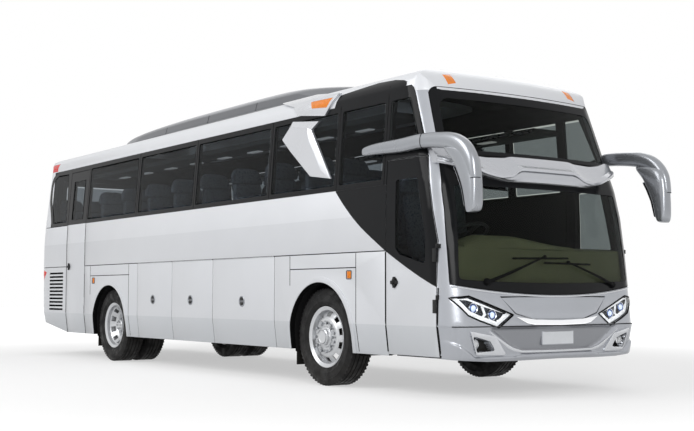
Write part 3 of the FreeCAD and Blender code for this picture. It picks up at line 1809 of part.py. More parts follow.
def tyre_outline(middle):
    """A tyre's section: across the wheel, and out from its axle."""
    half = S.tyre_width / 2
    bead = S.rim_width / 2 - S.rim_wall
    return [
        (middle - bead, S.bead_radius),
        (middle + bead, S.bead_radius),
        (middle + bead, S.rim_lip_radius),
        (middle + half, (S.rim_lip_radius + S.tyre_radius) / 2),
        (middle + half - S.tyre_crown, S.tyre_radius - S.shoulder),
        (middle + half - S.shoulder, S.tyre_radius),
        (middle - half + S.shoulder, S.tyre_radius),
        (middle - half + S.tyre_crown, S.tyre_radius - S.shoulder),
        (middle - half, (S.rim_lip_radius + S.tyre_radius) / 2),
        (middle - bead, S.rim_lip_radius),
    ]


def rim_outline(middle, disc, hub_disc, hub_near, stub_end):
    """A rim's section: a channel for the tyre, a disc, and a capped hub around its stub."""
    half = S.rim_width / 2
    wall = S.rim_wall
    bore = S.spindle_radius + S.running_clearance
    blind = stub_end + S.seat_gap
    return [
        (middle - half, S.bead_radius - wall),
        (disc - wall, S.bead_radius - wall),
        (hub_disc - wall, S.hub_radius),
        (hub_near, S.hub_radius),
        (hub_near, bore),
        (blind, bore),
        (blind, ZERO),
        (blind + wall, ZERO),
        (blind + wall, S.cap_radius),
        (blind, S.hub_radius),
        (hub_disc, S.hub_radius),
        (disc, S.bead_radius - wall),
        (middle + half, S.bead_radius - wall),
        (middle + half, S.rim_lip_radius),
        (middle + half - wall, S.rim_lip_radius),
        (middle + half - wall, S.bead_radius),
        (middle - half + wall, S.bead_radius),
        (middle - half + wall, S.rim_lip_radius),
        (middle - half, S.rim_lip_radius),
    ]


TWIN = TRACK - S.twin_spacing
FRONT_STUB = TRACK + S.front_stub
REAR_STUB = TRACK + S.rear_stub
FRONT_TYRE = turned("front_tyre", "Y", tyre_outline(TRACK), "YZ")
FRONT_RIM = turned(
    "front_rim",
    "Y",
    rim_outline(TRACK, TRACK + S.disc_place, TRACK + S.disc_place + S.front_dish, TRACK + S.hub_start, FRONT_STUB),
    "YZ",
)
REAR_TYRES = gathered(
    "rear_tyre_pair",
    turned("rear_tyre_outer", "Y", tyre_outline(TRACK), "YZ"),
    turned("rear_tyre_inner", "Y", tyre_outline(TWIN), "YZ"),
)
REAR_OUTER_RIM = turned(
    "rear_rim_outer",
    "Y",
    rim_outline(TRACK, TRACK + S.disc_place, TRACK + S.disc_place - S.rear_dish, TRACK - S.rear_hub_start, REAR_STUB),
    "YZ",
)
REAR_INNER_RIM = turned(
    "rear_rim_inner",
    "Y",
    [
        (TWIN - S.rim_width / 2, S.bead_radius - S.rim_wall),
        (TWIN + S.rim_width / 2, S.bead_radius - S.rim_wall),
        (TWIN + S.rim_width / 2, S.rim_lip_radius),
        (TWIN + S.rim_width / 2 - S.rim_wall, S.rim_lip_radius),
        (TWIN + S.rim_width / 2 - S.rim_wall, S.bead_radius),
        (TWIN - S.rim_width / 2 + S.rim_wall, S.bead_radius),
        (TWIN - S.rim_width / 2 + S.rim_wall, S.rim_lip_radius),
        (TWIN - S.rim_width / 2, S.rim_lip_radius),
    ],
    "YZ",
)
REAR_SPACER = turned(
    "rear_rim_spacer",
    "Y",
    [
        (TWIN + S.rim_width / 2, S.bead_radius - S.rim_wall),
        (TRACK - S.rim_width / 2, S.bead_radius - S.rim_wall),
        (TRACK - S.rim_width / 2, S.bead_radius),
        (TWIN + S.rim_width / 2, S.bead_radius),
    ],
    "YZ",
)
REAR_RIMS = joined("rear_rim_pair", REAR_OUTER_RIM, REAR_SPACER, REAR_INNER_RIM)
for name, axle, tyre, rim in (
    ("front", FRONT_AXLE, FRONT_TYRE, FRONT_RIM),
    ("rear", REAR_AXLE, REAR_TYRES, REAR_RIMS),
):
    for part, thing in (("tyre", tyre), ("rim", rim)):
        left = place(gathered(f"{name}_{part}_left_group", thing), axle, ZERO, S.tyre_radius)
        keep(f"{name}_{part}_left", left)
        keep(f"{name}_{part}_right", mirrored(f"{name}_{part}_right_group", left))

# Rear axle: a tube with the drive's round case and a stub for each wheel.
AXLE_TUBE = rod(
    "axle_tube",
    S.axle_tube_radius,
    (REAR_AXLE, -S.tube_half, S.tyre_radius),
    S.tube_half + S.tube_half,
    "Y",
)
REAR_STUBS = rod(
    "rear_stubs",
    S.spindle_radius,
    (REAR_AXLE, -REAR_STUB, S.tyre_radius),
    REAR_STUB + REAR_STUB,
    "Y",
)
DRIVE_CASE = rod(
    "drive_case",
    S.diff_radius,
    (REAR_AXLE - S.diff_radius, ZERO, S.tyre_radius),
    S.diff_radius + S.diff_radius,
    "X",
)
DRIVE_TRIMMED = shared(
    "drive_case_trimmed",
    DRIVE_CASE,
    rod("drive_drum", S.diff_radius, (REAR_AXLE, -S.diff_radius, S.tyre_radius), S.diff_radius * 2, "Y"),
)
REAR_AXLE_WHOLE = joined("rear_axle_whole", AXLE_TUBE, REAR_STUBS, DRIVE_TRIMMED)
keep("rear_axle_casing", REAR_AXLE_WHOLE)

# Front axle: a dropped beam with an upright eye for each kingpin.
BEAM_TOP = S.tyre_radius - S.beam_drop + S.beam_height
KNUCKLE_EYE = S.kingpin_eye_radius
BEAM = block(
    "axle_beam",
    (FRONT_AXLE - S.beam_width / 2, FRONT_AXLE + S.beam_width / 2),
    (-S.beam_half, S.beam_half),
    (S.tyre_radius - S.beam_drop, BEAM_TOP),
)
EYE_LOW = S.tyre_radius - S.eye_half
EYES = []
for name, sign in (("right", -1), ("left", 1)):
    arm = block(
        f"beam_arm_{name}",
        (FRONT_AXLE - S.beam_width / 2, FRONT_AXLE + S.beam_width / 2),
        (S.beam_half * sign - S.beam_arm / 2, S.kingpin_offset * sign)
        if sign > 0
        else (S.kingpin_offset * sign, S.beam_half * sign + S.beam_arm / 2),
        (EYE_LOW, S.tyre_radius + S.eye_half),
    )
    eye = rod(
        f"beam_eye_{name}",
        KNUCKLE_EYE,
        (FRONT_AXLE, S.kingpin_offset * sign, EYE_LOW),
        S.eye_half + S.eye_half,
        "Z",
    )
    EYES += [arm, eye]
BORES = [
    rod(
        f"kingpin_bore_{name}",
        S.kingpin_radius + S.running_clearance,
        (FRONT_AXLE, S.kingpin_offset * sign, ZERO),
        S.tyre_radius + S.tyre_radius,
        "Z",
    )
    for name, sign in (("right", -1), ("left", 1))
]
FRONT_BEAM = cut("front_beam_bored", joined("front_beam_whole", BEAM, *EYES), *BORES)
keep("front_axle_beam", FRONT_BEAM)

# Knuckles: a fork around the eye, the kingpin, a stub for the wheel and a steering arm pointing back.
FORK_LOW = EYE_LOW - S.fork_gap
FORK_HIGH = S.tyre_radius + S.eye_half + S.fork_gap


def knuckle(label, sign):
    """One steering knuckle with its kingpin, stub and arm."""
    centre = S.kingpin_offset * sign
    pin = rod(
        f"{label}_pin",
        S.kingpin_radius,
        (FRONT_AXLE, centre, FORK_LOW - S.fork_ear),
        FORK_HIGH - FORK_LOW + S.fork_ear + S.fork_ear,
        "Z",
    )
    ears = [
        rod(f"{label}_ear_{number}", KNUCKLE_EYE, (FRONT_AXLE, centre, height), S.fork_ear, "Z")
        for number, height in enumerate((FORK_LOW - S.fork_ear, FORK_HIGH))
    ]
    web_near = centre + (KNUCKLE_EYE + S.fork_gap) * sign
    web_far = web_near + S.fork_ear * sign
    span = (web_near, web_far) if sign > 0 else (web_far, web_near)
    plates = (centre, web_far) if sign > 0 else (web_far, centre)
    web = block(
        f"{label}_web",
        (FRONT_AXLE - KNUCKLE_EYE, FRONT_AXLE + KNUCKLE_EYE),
        span,
        (FORK_LOW - S.fork_ear, FORK_HIGH + S.fork_ear),
    )
    bridges = [
        block(
            f"{label}_bridge_{number}",
            (FRONT_AXLE - KNUCKLE_EYE, FRONT_AXLE + KNUCKLE_EYE),
            plates,
            (height, height + S.fork_ear),
        )
        for number, height in enumerate((FORK_LOW - S.fork_ear, FORK_HIGH))
    ]
    stub_end = FRONT_STUB * sign
    stub_span = (web_far, stub_end) if sign > 0 else (stub_end, web_far)
    stub = rod(
        f"{label}_stub",
        S.spindle_radius,
        (FRONT_AXLE, stub_span[0], S.tyre_radius),
        stub_span[1] - stub_span[0],
        "Y",
    )
    arm = block(
        f"{label}_arm",
        (FRONT_AXLE - S.steering_arm - S.stud_radius - S.rod_radius, FRONT_AXLE),
        (centre - S.rod_radius, centre + S.rod_radius),
        (FORK_LOW - S.fork_ear, FORK_LOW),
    )
    return joined(f"{label}_whole", pin, *ears, web, *bridges, stub, arm), centre


KNUCKLE_RIGHT, RIGHT_PIVOT = knuckle("knuckle_right", -1)
KNUCKLE_LEFT, LEFT_PIVOT = knuckle("knuckle_left", 1)
TRACK_STUD_HOLE = rod(
    "track_stud_hole",
    S.stud_radius + S.running_clearance,
    (FRONT_AXLE - S.steering_arm, RIGHT_PIVOT, ZERO),
    S.tyre_radius,
    "Z",
)
keep("knuckle_right", cut("knuckle_right_bored", KNUCKLE_RIGHT, TRACK_STUD_HOLE))
keep("knuckle_left", KNUCKLE_LEFT)

# Track rod below the arms: its right stud turns in the right arm, its left end hangs just clear.
ROD_HEIGHT = FORK_LOW - S.fork_ear - S.rod_radius - S.rod_drop
ROD_BAR = rod(
    "track_rod_bar",
    S.rod_radius,
    (FRONT_AXLE - S.steering_arm, RIGHT_PIVOT, ROD_HEIGHT),
    LEFT_PIVOT - RIGHT_PIVOT,
    "Y",
)
ROD_STUD = rod(
    "track_rod_stud",
    S.stud_radius,
    (FRONT_AXLE - S.steering_arm, RIGHT_PIVOT, ROD_HEIGHT),
    FORK_LOW - ROD_HEIGHT,
    "Z",
)
keep("track_rod", joined("track_rod_whole", ROD_BAR, ROD_STUD))

# Leaf springs between the axles and the rails.
SPRING_PARTS = []
for name, axle, low in (("rear", REAR_AXLE, S.tyre_radius), ("front", FRONT_AXLE, BEAM_TOP)):
    leaf_low = S.rail_bottom - S.spring_hang - S.leaf_height
    leaf = block(
        f"{name}_leaf",
        (axle - S.leaf_half, axle + S.leaf_half),
        (-RAIL_OUTER, -RAIL_INNER),
        (leaf_low, leaf_low + S.leaf_height),
    )
    seat = block(
        f"{name}_spring_seat",
        (axle - S.cross_width, axle + S.cross_width),
        (-RAIL_OUTER, -RAIL_INNER),
        (low, leaf_low),
    )
    hangers = [
        block(
            f"{name}_hanger_{number}",
            (place_x, place_x + S.hanger_length),
            (-RAIL_OUTER, -RAIL_INNER),
            (leaf_low + S.leaf_height, S.rail_bottom),
        )
        for number, place_x in enumerate((axle - S.leaf_half, axle + S.leaf_half - S.hanger_length))
    ]
    pack = joined(f"{name}_spring_whole", leaf, seat, *hangers)
    if name == "rear":
        pack = cut("rear_spring_seated", pack, AXLE_TUBE)
    SPRING_PARTS += [pack, mirrored(f"{name}_spring_mirrored", pack)]
keep("leaf_springs", gathered("all_springs", *SPRING_PARTS))

# Engine at the tail between the rails.
keep(
    "engine_block",
    block(
        "engine",
        (station(S.engine_back), station(S.engine_back) + S.engine_length),
        (-RAIL_INNER, RAIL_INNER),
        (RAIL_TOP - S.engine_drop, DECK_LOW - S.overrun),
    ),
)

# Dashboard inside the face, and the driver's wheel on its column.
DASH = pad(
    "dash_bar",
    "XZ",
    [
        (station(S.dash_back), S.dash_low),
        (NOSE, S.dash_low),
        (NOSE, S.dash_top - S.overrun),
        (station(S.dash_back) + S.dash_hood, S.dash_top),
        (station(S.dash_back), S.dash_top - S.overrun),
    ],
    -S.dash_half,
    S.dash_half + S.dash_half,
)
WHEEL_SPOT = (station(S.steering_wheel_place), -S.driver_offset, S.steering_wheel_height)
TILT = S.steering_wheel_tilt


def tilted(thing):
    """Sets a piece made around the upright axis at the driver's wheel, tilted towards the driver."""
    place(thing, *WHEEL_SPOT, axis=Vector(0, -1, 0), angle=TILT.value)
    thing.setExpression("Placement.Rotation.Angle", TILT.text)
    return thing


COLUMN = tilted(gathered("column_group", rod("column", S.column_radius, (ZERO, ZERO, -S.column_length), S.column_length - S.seat_gap, "Z")))
CAB_FRONT_ZONE = block(
    "above_cab_floor",
    (station(S.cab_floor_back), NOSE),
    (-HALF_WIDTH, HALF_WIDTH),
    (S.cab_floor_top, S.roof_height),
)
COLUMN_TRIMMED = shared("column_trimmed", COLUMN, CAB_FRONT_ZONE)
keep("steering_column", COLUMN_TRIMMED)
keep("dashboard", cut("dash_open", shared("dash_fitted", DASH, INNER), COLUMN))
WHEEL_TUBE = S.steering_wheel_tube
WHEEL_RING = turned(
    "steering_ring",
    "Z",
    [
        (S.steering_wheel_radius - WHEEL_TUBE, WHEEL_TUBE),
        (S.steering_wheel_radius - WHEEL_TUBE / 2, ZERO),
        (S.steering_wheel_radius + WHEEL_TUBE / 2, ZERO),
        (S.steering_wheel_radius + WHEEL_TUBE, WHEEL_TUBE),
        (S.steering_wheel_radius + WHEEL_TUBE / 2, WHEEL_TUBE * 2),
        (S.steering_wheel_radius - WHEEL_TUBE / 2, WHEEL_TUBE * 2),
    ],
)
WHEEL_HUB = rod("steering_hub", S.column_radius * 2, (ZERO, ZERO, ZERO), WHEEL_TUBE * 2, "Z")
SPOKES = [
    block(
        f"steering_spoke_{number}",
        (-S.steering_wheel_radius, S.steering_wheel_radius),
        (-S.column_radius, S.column_radius),
        (WHEEL_TUBE / 2, WHEEL_TUBE + WHEEL_TUBE / 2),
    )
    for number in range(2)
]
SPOKES[1].Placement = FreeCAD.Placement(Vector(), FreeCAD.Rotation(Vector(0, 0, 1), QUARTER_TURN))
SPOKES[1].setExpression("Placement.Base.x", S.column_radius.text)
SPOKES[1].setExpression("Placement.Base.y", (-S.steering_wheel_radius).text)
keep("steering_wheel", tilted(joined("steering_wheel_whole", WHEEL_RING, WHEEL_HUB, *SPOKES)))

# Seats in pairs on both sides of the aisle, the bench at the back, and the driver's seat.
def seat_cushions(label, front, floor, side, width):
    """One seat's two cushions: the one to sit on, and the back that leans away from it."""
    low = floor + S.seat_base
    back = front - S.seat_depth
    rest = back + S.back_thickness
    squab = block(
        f"{label}_squab",
        (rest + S.seat_gap, front),
        (side, side + width),
        (low, low + S.cushion_height),
    )
    outline = [
        (back, low),
        (rest, low),
        (rest - S.back_lean / 3, low + S.cushion_height + S.back_lean),
        (rest - S.back_lean, floor + S.seat_back_height - S.back_thickness / 2),
        (rest - S.back_lean - S.back_thickness / 2, floor + S.seat_back_height),
        (back - S.back_lean, floor + S.seat_back_height - S.back_thickness / 2),
    ]
    return [squab, pad(f"{label}_back", "XZ", outline, side, width)]


def seat_base(label, front, floor, side, width):
    """The box under one seat or pair of seats."""
    return block(
        label,
        (front - S.seat_depth + S.back_thickness, front - S.back_thickness),
        (side, side + width),
        (floor, floor + S.seat_base),
    )


CUSHIONS = []
BASES = []
PAIR_INNER = S.aisle_half + S.aisle_margin
PAIR_WIDTH = S.seat_width + S.seat_pair_gap + S.seat_width
for row in range(SEAT_ROWS):
    front = station(S.first_seat) - S.seat_pitch * row
    pair = []
    for place_name, start in (
        ("window", -PAIR_INNER - PAIR_WIDTH),
        ("aisle", -PAIR_INNER - S.seat_width),
    ):
        pair += seat_cushions(f"seat_{place_name}_{row}", front, S.floor_top, start, S.seat_width)
    CUSHIONS += pair + [mirrored(f"{thing.Name}_left", thing) for thing in pair]
    base = seat_base(f"seat_base_{row}", front, S.floor_top, -PAIR_INNER - PAIR_WIDTH, PAIR_WIDTH)
    BASES += [base, mirrored(f"seat_base_left_{row}", base)]
BENCH_FRONT = station(S.rear_quarter) + S.bench_reach
BENCH_WIDTH = S.bench_half + S.bench_half
CUSHIONS += seat_cushions("rear_bench", BENCH_FRONT, S.floor_top, -S.bench_half, BENCH_WIDTH)
BASES.append(seat_base("bench_base", BENCH_FRONT, S.floor_top, -S.bench_half, BENCH_WIDTH))
DRIVER_FRONT = station(S.driver_seat_front)
DRIVER_SIDE = -S.driver_offset - S.seat_width / 2
CUSHIONS += seat_cushions("driver_seat", DRIVER_FRONT, S.cab_floor_top, DRIVER_SIDE, S.seat_width)
BASES.append(
    seat_base("driver_seat_base", DRIVER_FRONT, S.cab_floor_top, DRIVER_SIDE + S.seat_width / 4, S.seat_width / 2)
)
keep("seat_cushions", gathered("all_cushions", *CUSHIONS))
keep("seat_bases", gathered("all_bases", *BASES))

# Racks along both sides under the roof.
RACK = block(
    "rack_slab",
    (station(S.rear_door_front), station(S.post_sixth)),
    (-HALF_WIDTH, -S.rack_inner),
    (S.rack_low, S.rack_low + S.rack_height),
)
RACK_FITTED = shared("rack_fitted", RACK, INNER)
keep("luggage_racks", gathered("both_racks", RACK_FITTED, mirrored("rack_mirrored", RACK_FITTED)))

# Wipers lying on the lower windscreen.
SKIN_NEAR = place(gathered("near_form", OUTER), S.seat_gap)
SKIN_FAR = place(gathered("far_form", OUTER), S.wiper_height)
WIPER_PLACES = (
    (S.wiper_foot_right, S.wiper_foot_right_height, S.wiper_joint_right, S.wiper_joint_right_height),
    (S.wiper_foot_left, S.wiper_foot_left_height, S.wiper_joint_left, S.wiper_joint_left_height),
)


def wiper(number, foot, foot_height, joint, joint_height):
    """One wiper: an arm that slants up to its joint, and a level blade hung there."""
    blade_height = joint_height - S.wiper_blade_drop
    arm = front_zone(
        f"wiper_arm_zone_{number}",
        slanted((foot, foot_height), (joint, joint_height), S.wiper_arm_width),
    )
    blade = front_zone(
        f"wiper_blade_zone_{number}",
        slanted(
            (joint - S.wiper_blade_half, blade_height),
            (joint + S.wiper_blade_half, blade_height),
            S.wiper_blade_width,
        ),
    )
    zone = joined(f"wiper_zone_{number}", arm, blade)
    return cut(f"wiper_{number}", shared(f"wiper_whole_{number}", SKIN_FAR, zone), SKIN_NEAR)


keep("wipers", gathered("both_wipers", *[wiper(number, *spots) for number, spots in enumerate(WIPER_PLACES)]))

DOC.recompute()
FAULTS = [thing.Name for thing in DOC.Objects if {"Invalid", "Error"} & set(thing.State)]
if FAULTS:
    sys.exit(f"These objects failed: {FAULTS}")
for label, thing in KEPT:
    shape = thing.Shape
    if shape.isNull() or not shape.isValid() or not shape.Solids:
        sys.exit(f"{label} has no sound shape")
os.makedirs("parts", exist_ok=True)
for label, thing in KEPT:
    thing.Shape.exportStep(f"parts/{label}.step")
print(f"{len(KEPT)} sub-parts written")
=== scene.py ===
"""Coach bus: the looks of a two-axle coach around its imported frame.

Everything is in metres in the frame's own axes, +X to the front, +Y to the left side and +Z up. The
coach's places come from the frame's nodes, and each sub-assembly is a class that holds its own sizes.
"""

import logging
import math
from collections.abc import Callable, Iterable, Sequence
from dataclasses import dataclass
from enum import Enum

import bmesh
import bpy
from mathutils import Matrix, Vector


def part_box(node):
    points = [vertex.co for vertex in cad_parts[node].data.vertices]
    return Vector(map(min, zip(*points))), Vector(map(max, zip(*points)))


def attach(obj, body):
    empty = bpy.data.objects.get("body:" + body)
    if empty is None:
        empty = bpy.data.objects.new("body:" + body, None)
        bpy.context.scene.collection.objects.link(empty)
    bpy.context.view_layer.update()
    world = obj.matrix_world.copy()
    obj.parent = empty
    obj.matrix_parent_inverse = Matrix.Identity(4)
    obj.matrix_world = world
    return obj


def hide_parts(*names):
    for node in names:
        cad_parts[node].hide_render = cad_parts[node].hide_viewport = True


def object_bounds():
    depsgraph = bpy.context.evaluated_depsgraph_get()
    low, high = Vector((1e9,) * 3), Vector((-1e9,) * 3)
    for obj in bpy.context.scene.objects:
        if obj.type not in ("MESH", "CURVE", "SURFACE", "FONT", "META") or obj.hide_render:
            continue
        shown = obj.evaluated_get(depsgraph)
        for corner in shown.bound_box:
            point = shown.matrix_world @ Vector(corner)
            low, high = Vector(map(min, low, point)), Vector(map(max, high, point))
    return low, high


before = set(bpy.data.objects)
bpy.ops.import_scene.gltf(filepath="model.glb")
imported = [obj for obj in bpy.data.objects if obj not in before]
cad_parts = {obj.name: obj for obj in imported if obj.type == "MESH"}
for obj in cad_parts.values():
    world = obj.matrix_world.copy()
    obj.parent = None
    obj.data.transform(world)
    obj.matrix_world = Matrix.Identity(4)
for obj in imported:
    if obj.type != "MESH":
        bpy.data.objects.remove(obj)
CAD_LOW, CAD_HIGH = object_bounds()

LOG = logging.getLogger("coach")
Point = tuple[float, float]
Place = tuple[float, float, float]
Oblong = tuple[float, float, float, float]
Surface = Callable[[float, float], Place]
Shape, Thing = bmesh.types.BMesh, bpy.types.Object
SIDES = (("right", -1), ("left", 1))
SMOOTH_ANGLE = math.radians(32)
# how far dark sheets lie outside the paint, and panes inside it
PROUD, SUNK = 0.0008, -0.003


def smooth_step(low: float, high: float, value: float) -> float:
    """Rises softly from 0 at low to 1 at high."""
    share = min(max((value - low) / (high - low), 0.0), 1.0)
    return share * share * (3 - 2 * share)


def mixed(first: float, second: float, share: float) -> float:
    """The value at a share of the way from first to second."""
    return first + (second - first) * share


def spread(low: float, high: float, steps: int) -> list[float]:
    """Values from low to high in even steps, both ends among them."""
    return [mixed(low, high, step / steps) for step in range(steps + 1)]


def powered(value: float, power: float) -> float:
    """A value raised to a power, its sign kept."""
    return math.copysign(abs(value) ** power, value)


def follow(knots: Sequence[Point], at: float) -> float:
    """The value at a place on a line of straight stretches.

    Args:
        knots: Places and values, in rising order of place.
        at: The place to read.

    Returns:
        The value there, held at the ends.
    """
    if at <= knots[0][0]:
        return knots[0][1]
    for (low, first), (high, second) in zip(knots, knots[1:]):
        if at <= high:
            return mixed(first, second, (at - low) / (high - low))
    return knots[-1][1]


def eased(knots: Sequence[Point], at: float, reach: float = 0.06) -> float:
    """Like follow, with each bend of the line rounded over a reach on both its sides."""
    samples = (-1.0, -0.5, 0.0, 0.5, 1.0)
    return sum(follow(knots, at + reach * share) for share in samples) / len(samples)


def spline(points: Sequence[Sequence[float]], steps: int) -> list[tuple[float, ...]]:
    """A smooth line through points.

    Args:
        points: The points, of any number of coordinates.
        steps: How many places to make on each stretch.

    Returns:
        The places, the last point among them.
    """
    padded = [points[0], *points, points[-1]]
    places = []
    for before, start, end, after in zip(padded, padded[1:], padded[2:], padded[3:]):
        for step in range(steps):
            t = step / steps
            places.append(
                tuple(
                    0.5 * (
                        2 * b + (c - a) * t + (2 * a - 5 * b + 4 * c - d) * t**2 + (3 * b - a - 3 * c + d)
                        * t**3
                    )
                    for a, b, c, d in zip(before, start, end, after)
                )
            )
    return places + [tuple(points[-1])]


def rectangle(low_u: float, low_v: float, high_u: float, high_v: float) -> list[Point]:
    """The corners of a rectangle, in order round it."""
    return [(low_u, low_v), (high_u, low_v), (high_u, high_v), (low_u, high_v)]


def flipped(stretch: Sequence[Point]) -> list[Point]:
    """A stretch of outline on the other side of the middle, in the order that goes on from it."""
    return [(-across, height) for across, height in reversed(stretch)]


def sided(sign: int, outline: Iterable[Point]) -> list[Point]:
    """An outline of the left half on the side that sign says."""
    return [(sign * across, height) for across, height in outline]


def rounded(outline: Sequence[Point], radius: float | Sequence[float], steps: int = 5) -> list[Point]:
    """An outline with its corners turned into arcs.

    Args:
        outline: The corners in order.
        radius: One radius, or one for each corner.
        steps: How many stretches each arc has.

    Returns:
        The points of the rounded outline.
    """
    radii = [radius] * len(outline) if isinstance(radius, (int, float)) else list(radius)
    points = []
    for number, corner in enumerate(outline):
        here = Vector(corner)
        back = Vector(outline[number - 1]) - here
        ahead = Vector(outline[(number + 1) % len(outline)]) - here
        turn = back.angle(ahead)
        reach = min(radii[number] / math.tan(turn / 2), back.length * 0.48, ahead.length * 0.48)
        if reach < 1e-4:
            points.append(tuple(here))
            continue
        start, end = here + back.normalized() * reach, here + ahead.normalized() * reach
        for step in range(steps + 1):
            t = step / steps
            points.append(tuple(start * (1 - t) ** 2 + here * 2 * t * (1 - t) + end * t**2))
    return points


def offset_outline(outline: Sequence[Point], distance: float, closed: bool = True) -> list[Point]:
    """An outline moved sideways, to its left for a positive distance, with mitred corners.

    Args:
        outline: The points in order.
        distance: How far it moves.
        closed: Whether it runs round to its first point.

    Returns:
        The moved points.
    """
    points = [Vector(point) for point in outline]
    moved = []
    for number, here in enumerate(points):
        first = points[number - 1] if closed or number else here
        last = points[(number + 1) % len(points)] if closed or number < len(points) - 1 else here
        directions = [(b - a).normalized() for a, b in ((first, here), (here, last)) if (b - a).length > 1e-9]
        normals = [Vector((-d.y, d.x)) for d in directions]
        middle = sum(normals, Vector((0.0, 0.0))).normalized()
        share = max(middle.dot(normals[0]), 0.45)
        moved.append(tuple(here + middle * distance / share))
    return moved


def signed_area(outline: Sequence[Point]) -> float:
    """Twice the area inside an outline, positive when it runs to the left."""
    return sum(a[0] * b[1] - b[0] * a[1] for a, b in zip(outline, [*outline[1:], outline[0]]))


def shrunk(outline: Sequence[Point], distance: float) -> list[Point]:
    """A closed outline drawn in by a distance all round."""
    return offset_outline(outline, math.copysign(distance, signed_area(outline)))


def inside(outline: Sequence[Point], u: float, v: float) -> float:
    """How far a point lies inside an outline: negative outside it.

    Args:
        outline: The closed outline.
        u: The point's first coordinate.
        v: Its second coordinate.

    Returns:
        The distance to the outline.
    """
    nearest, within = math.inf, False
    for (au, av), (bu, bv) in zip(outline, [*outline[1:], outline[0]]):
        edge = (bu - au) ** 2 + (bv - av) ** 2
        share = min(max(((u - au) * (bu - au) + (v - av) * (bv - av)) / edge, 0.0), 1.0)
        nearest = min(nearest, math.hypot(u - au - (bu - au) * share, v - av - (bv - av) * share))
        if (av > v) != (bv > v) and u < (bu - au) * (v - av) / (bv - av) + au:
            within = not within
    return nearest if within else -nearest


@dataclass(frozen=True)
class Level:
    """How far the body's skin stands in from its widest at one height."""

    height: float
    side: float
    nose: float
    tail: float


@dataclass(frozen=True)
class BodyForm:
    """The coach's outer skin: where its nose, sides and tail are at each height."""

    nose_tip: float
    tail_tip: float
    half_width: float
    front_bow: float = 6.0
    rear_bow: float = 9.0
    corner: float = 0.26
    cant_radius: float = 0.23
    cant_height: float = 2.849
    eave: float = 1.175
    roof_top: float = 3.13
    brow_reach: float = 0.396
    brow_radius: float = 0.4195
    levels: tuple[Level, ...] = (
        Level(0.30, 0.035, 0.045, 0.09), Level(0.36, 0.035, 0.045, 0.09), Level(0.65, 0.0, 0.0, 0.03),
        Level(1.35, 0.0, 0.075, 0.0), Level(1.70, 0.0, 0.125, 0.0), Level(1.98, 0.01, 0.19, 0.025),
        Level(2.85, 0.078, 0.495, 0.11), Level(3.13, 0.1, 0.56, 0.13)
    )

    def tuck(self, part: str, height: float) -> float:
        """How far one part of the skin stands in at a height."""
        return follow([(level.height, getattr(level, part)) for level in self.levels], height)

    def half_at(self, height: float) -> float:
        """Half the body's width at a height, with the roof's rounded eaves.

        Args:
            height: The height to read.

        Returns:
            The half width in metres.
        """
        half = self.half_width - self.tuck("side", height)
        rise = height - self.cant_height
        if rise <= 0:
            return half
        across = math.sqrt(max(self.cant_radius**2 - rise**2, 0.0))
        return min(half, self.eave - self.cant_radius + across)

    def nose(self, across: float, height: float, out: float = 0.0) -> Place:
        """The place on the nose at an offset from the middle and a height, moved out by out.

        Args:
            across: The offset from the middle.
            height: The height.
            out: How far outside the skin.

        Returns:
            The place.
        """
        bow, corner = self.front_bow + out, self.corner + out
        half = self.half_width - self.tuck("side", min(height, self.cant_height)) + out
        centre = self.nose_tip - self.tuck("nose", height) - self.front_bow
        turn = (half - corner) * bow / (bow - corner)
        side = min(abs(across), half)
        if side <= turn:
            ahead = centre + math.sqrt(bow**2 - side**2)
        else:
            inner = math.sqrt((bow - corner) ** 2 - (half - corner) ** 2)
            ahead = centre + inner + math.sqrt(max(corner**2 - (side - half + corner) ** 2, 0.0))
        if height > self.cant_height:
            top = self.levels[-2]
            rise = height - self.roof_top + self.brow_radius
            reach = math.sqrt(max(self.brow_radius**2 - rise**2, 0.0))
            radius = self.front_bow + out - self.brow_reach + reach
            ahead = min(ahead, self.nose_tip - top.nose - self.front_bow + math.sqrt(radius**2 - side**2))
        return (ahead, across, height)

    def side(self, sign: int, out: float = 0.0) -> Surface:
        """The surface of one side, which gives the place at a station and a height.

        Args:
            sign: 1 for the left side, -1 for the right.
            out: How far outside the skin.

        Returns:
            The surface.
        """

        def place(along: float, height: float) -> Place:
            """The place at a distance along X and a height."""
            half = self.half_at(height) + out
            corner = self.corner + out
            inner = math.sqrt((self.front_bow - self.corner) ** 2 - (half - corner) ** 2)
            front_turn = self.nose_tip - self.tuck("nose", height) - self.front_bow + inner
            inner = math.sqrt((self.rear_bow - self.corner) ** 2 - (half - corner) ** 2)
            rear_turn = self.tail_tip + self.tuck("tail", height) + self.rear_bow - inner
            past = max(along - front_turn, rear_turn - along, 0.0)
            return (along, sign * (half - corner + math.sqrt(max(corner**2 - past**2, 0.0))), height)

        return place

    def tail(self, across: float, height: float, out: float = 0.0) -> Place:
        """The place on the tail at an offset from the middle and a height, moved out by out.

        Args:
            across: The offset from the middle.
            height: The height.
            out: How far outside the skin.

        Returns:
            The place.
        """
        bow, corner = self.rear_bow + out, self.corner + out
        half = self.half_at(height) + out
        centre = self.tail_tip + self.tuck("tail", height) + self.rear_bow
        turn = (half - corner) * bow / (bow - corner)
        side = min(abs(across), half)
        if side <= turn:
            return (centre - math.sqrt(bow**2 - side**2), across, height)
        inner = math.sqrt((bow - corner) ** 2 - (half - corner) ** 2)
        back = math.sqrt(max(corner**2 - (side - half + corner) ** 2, 0.0))
        return (centre - inner - back, across, height)


def middle_of(node: str) -> Vector:
    """The centre of a node's box."""
    low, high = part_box(node)
    return (low + high) / 2


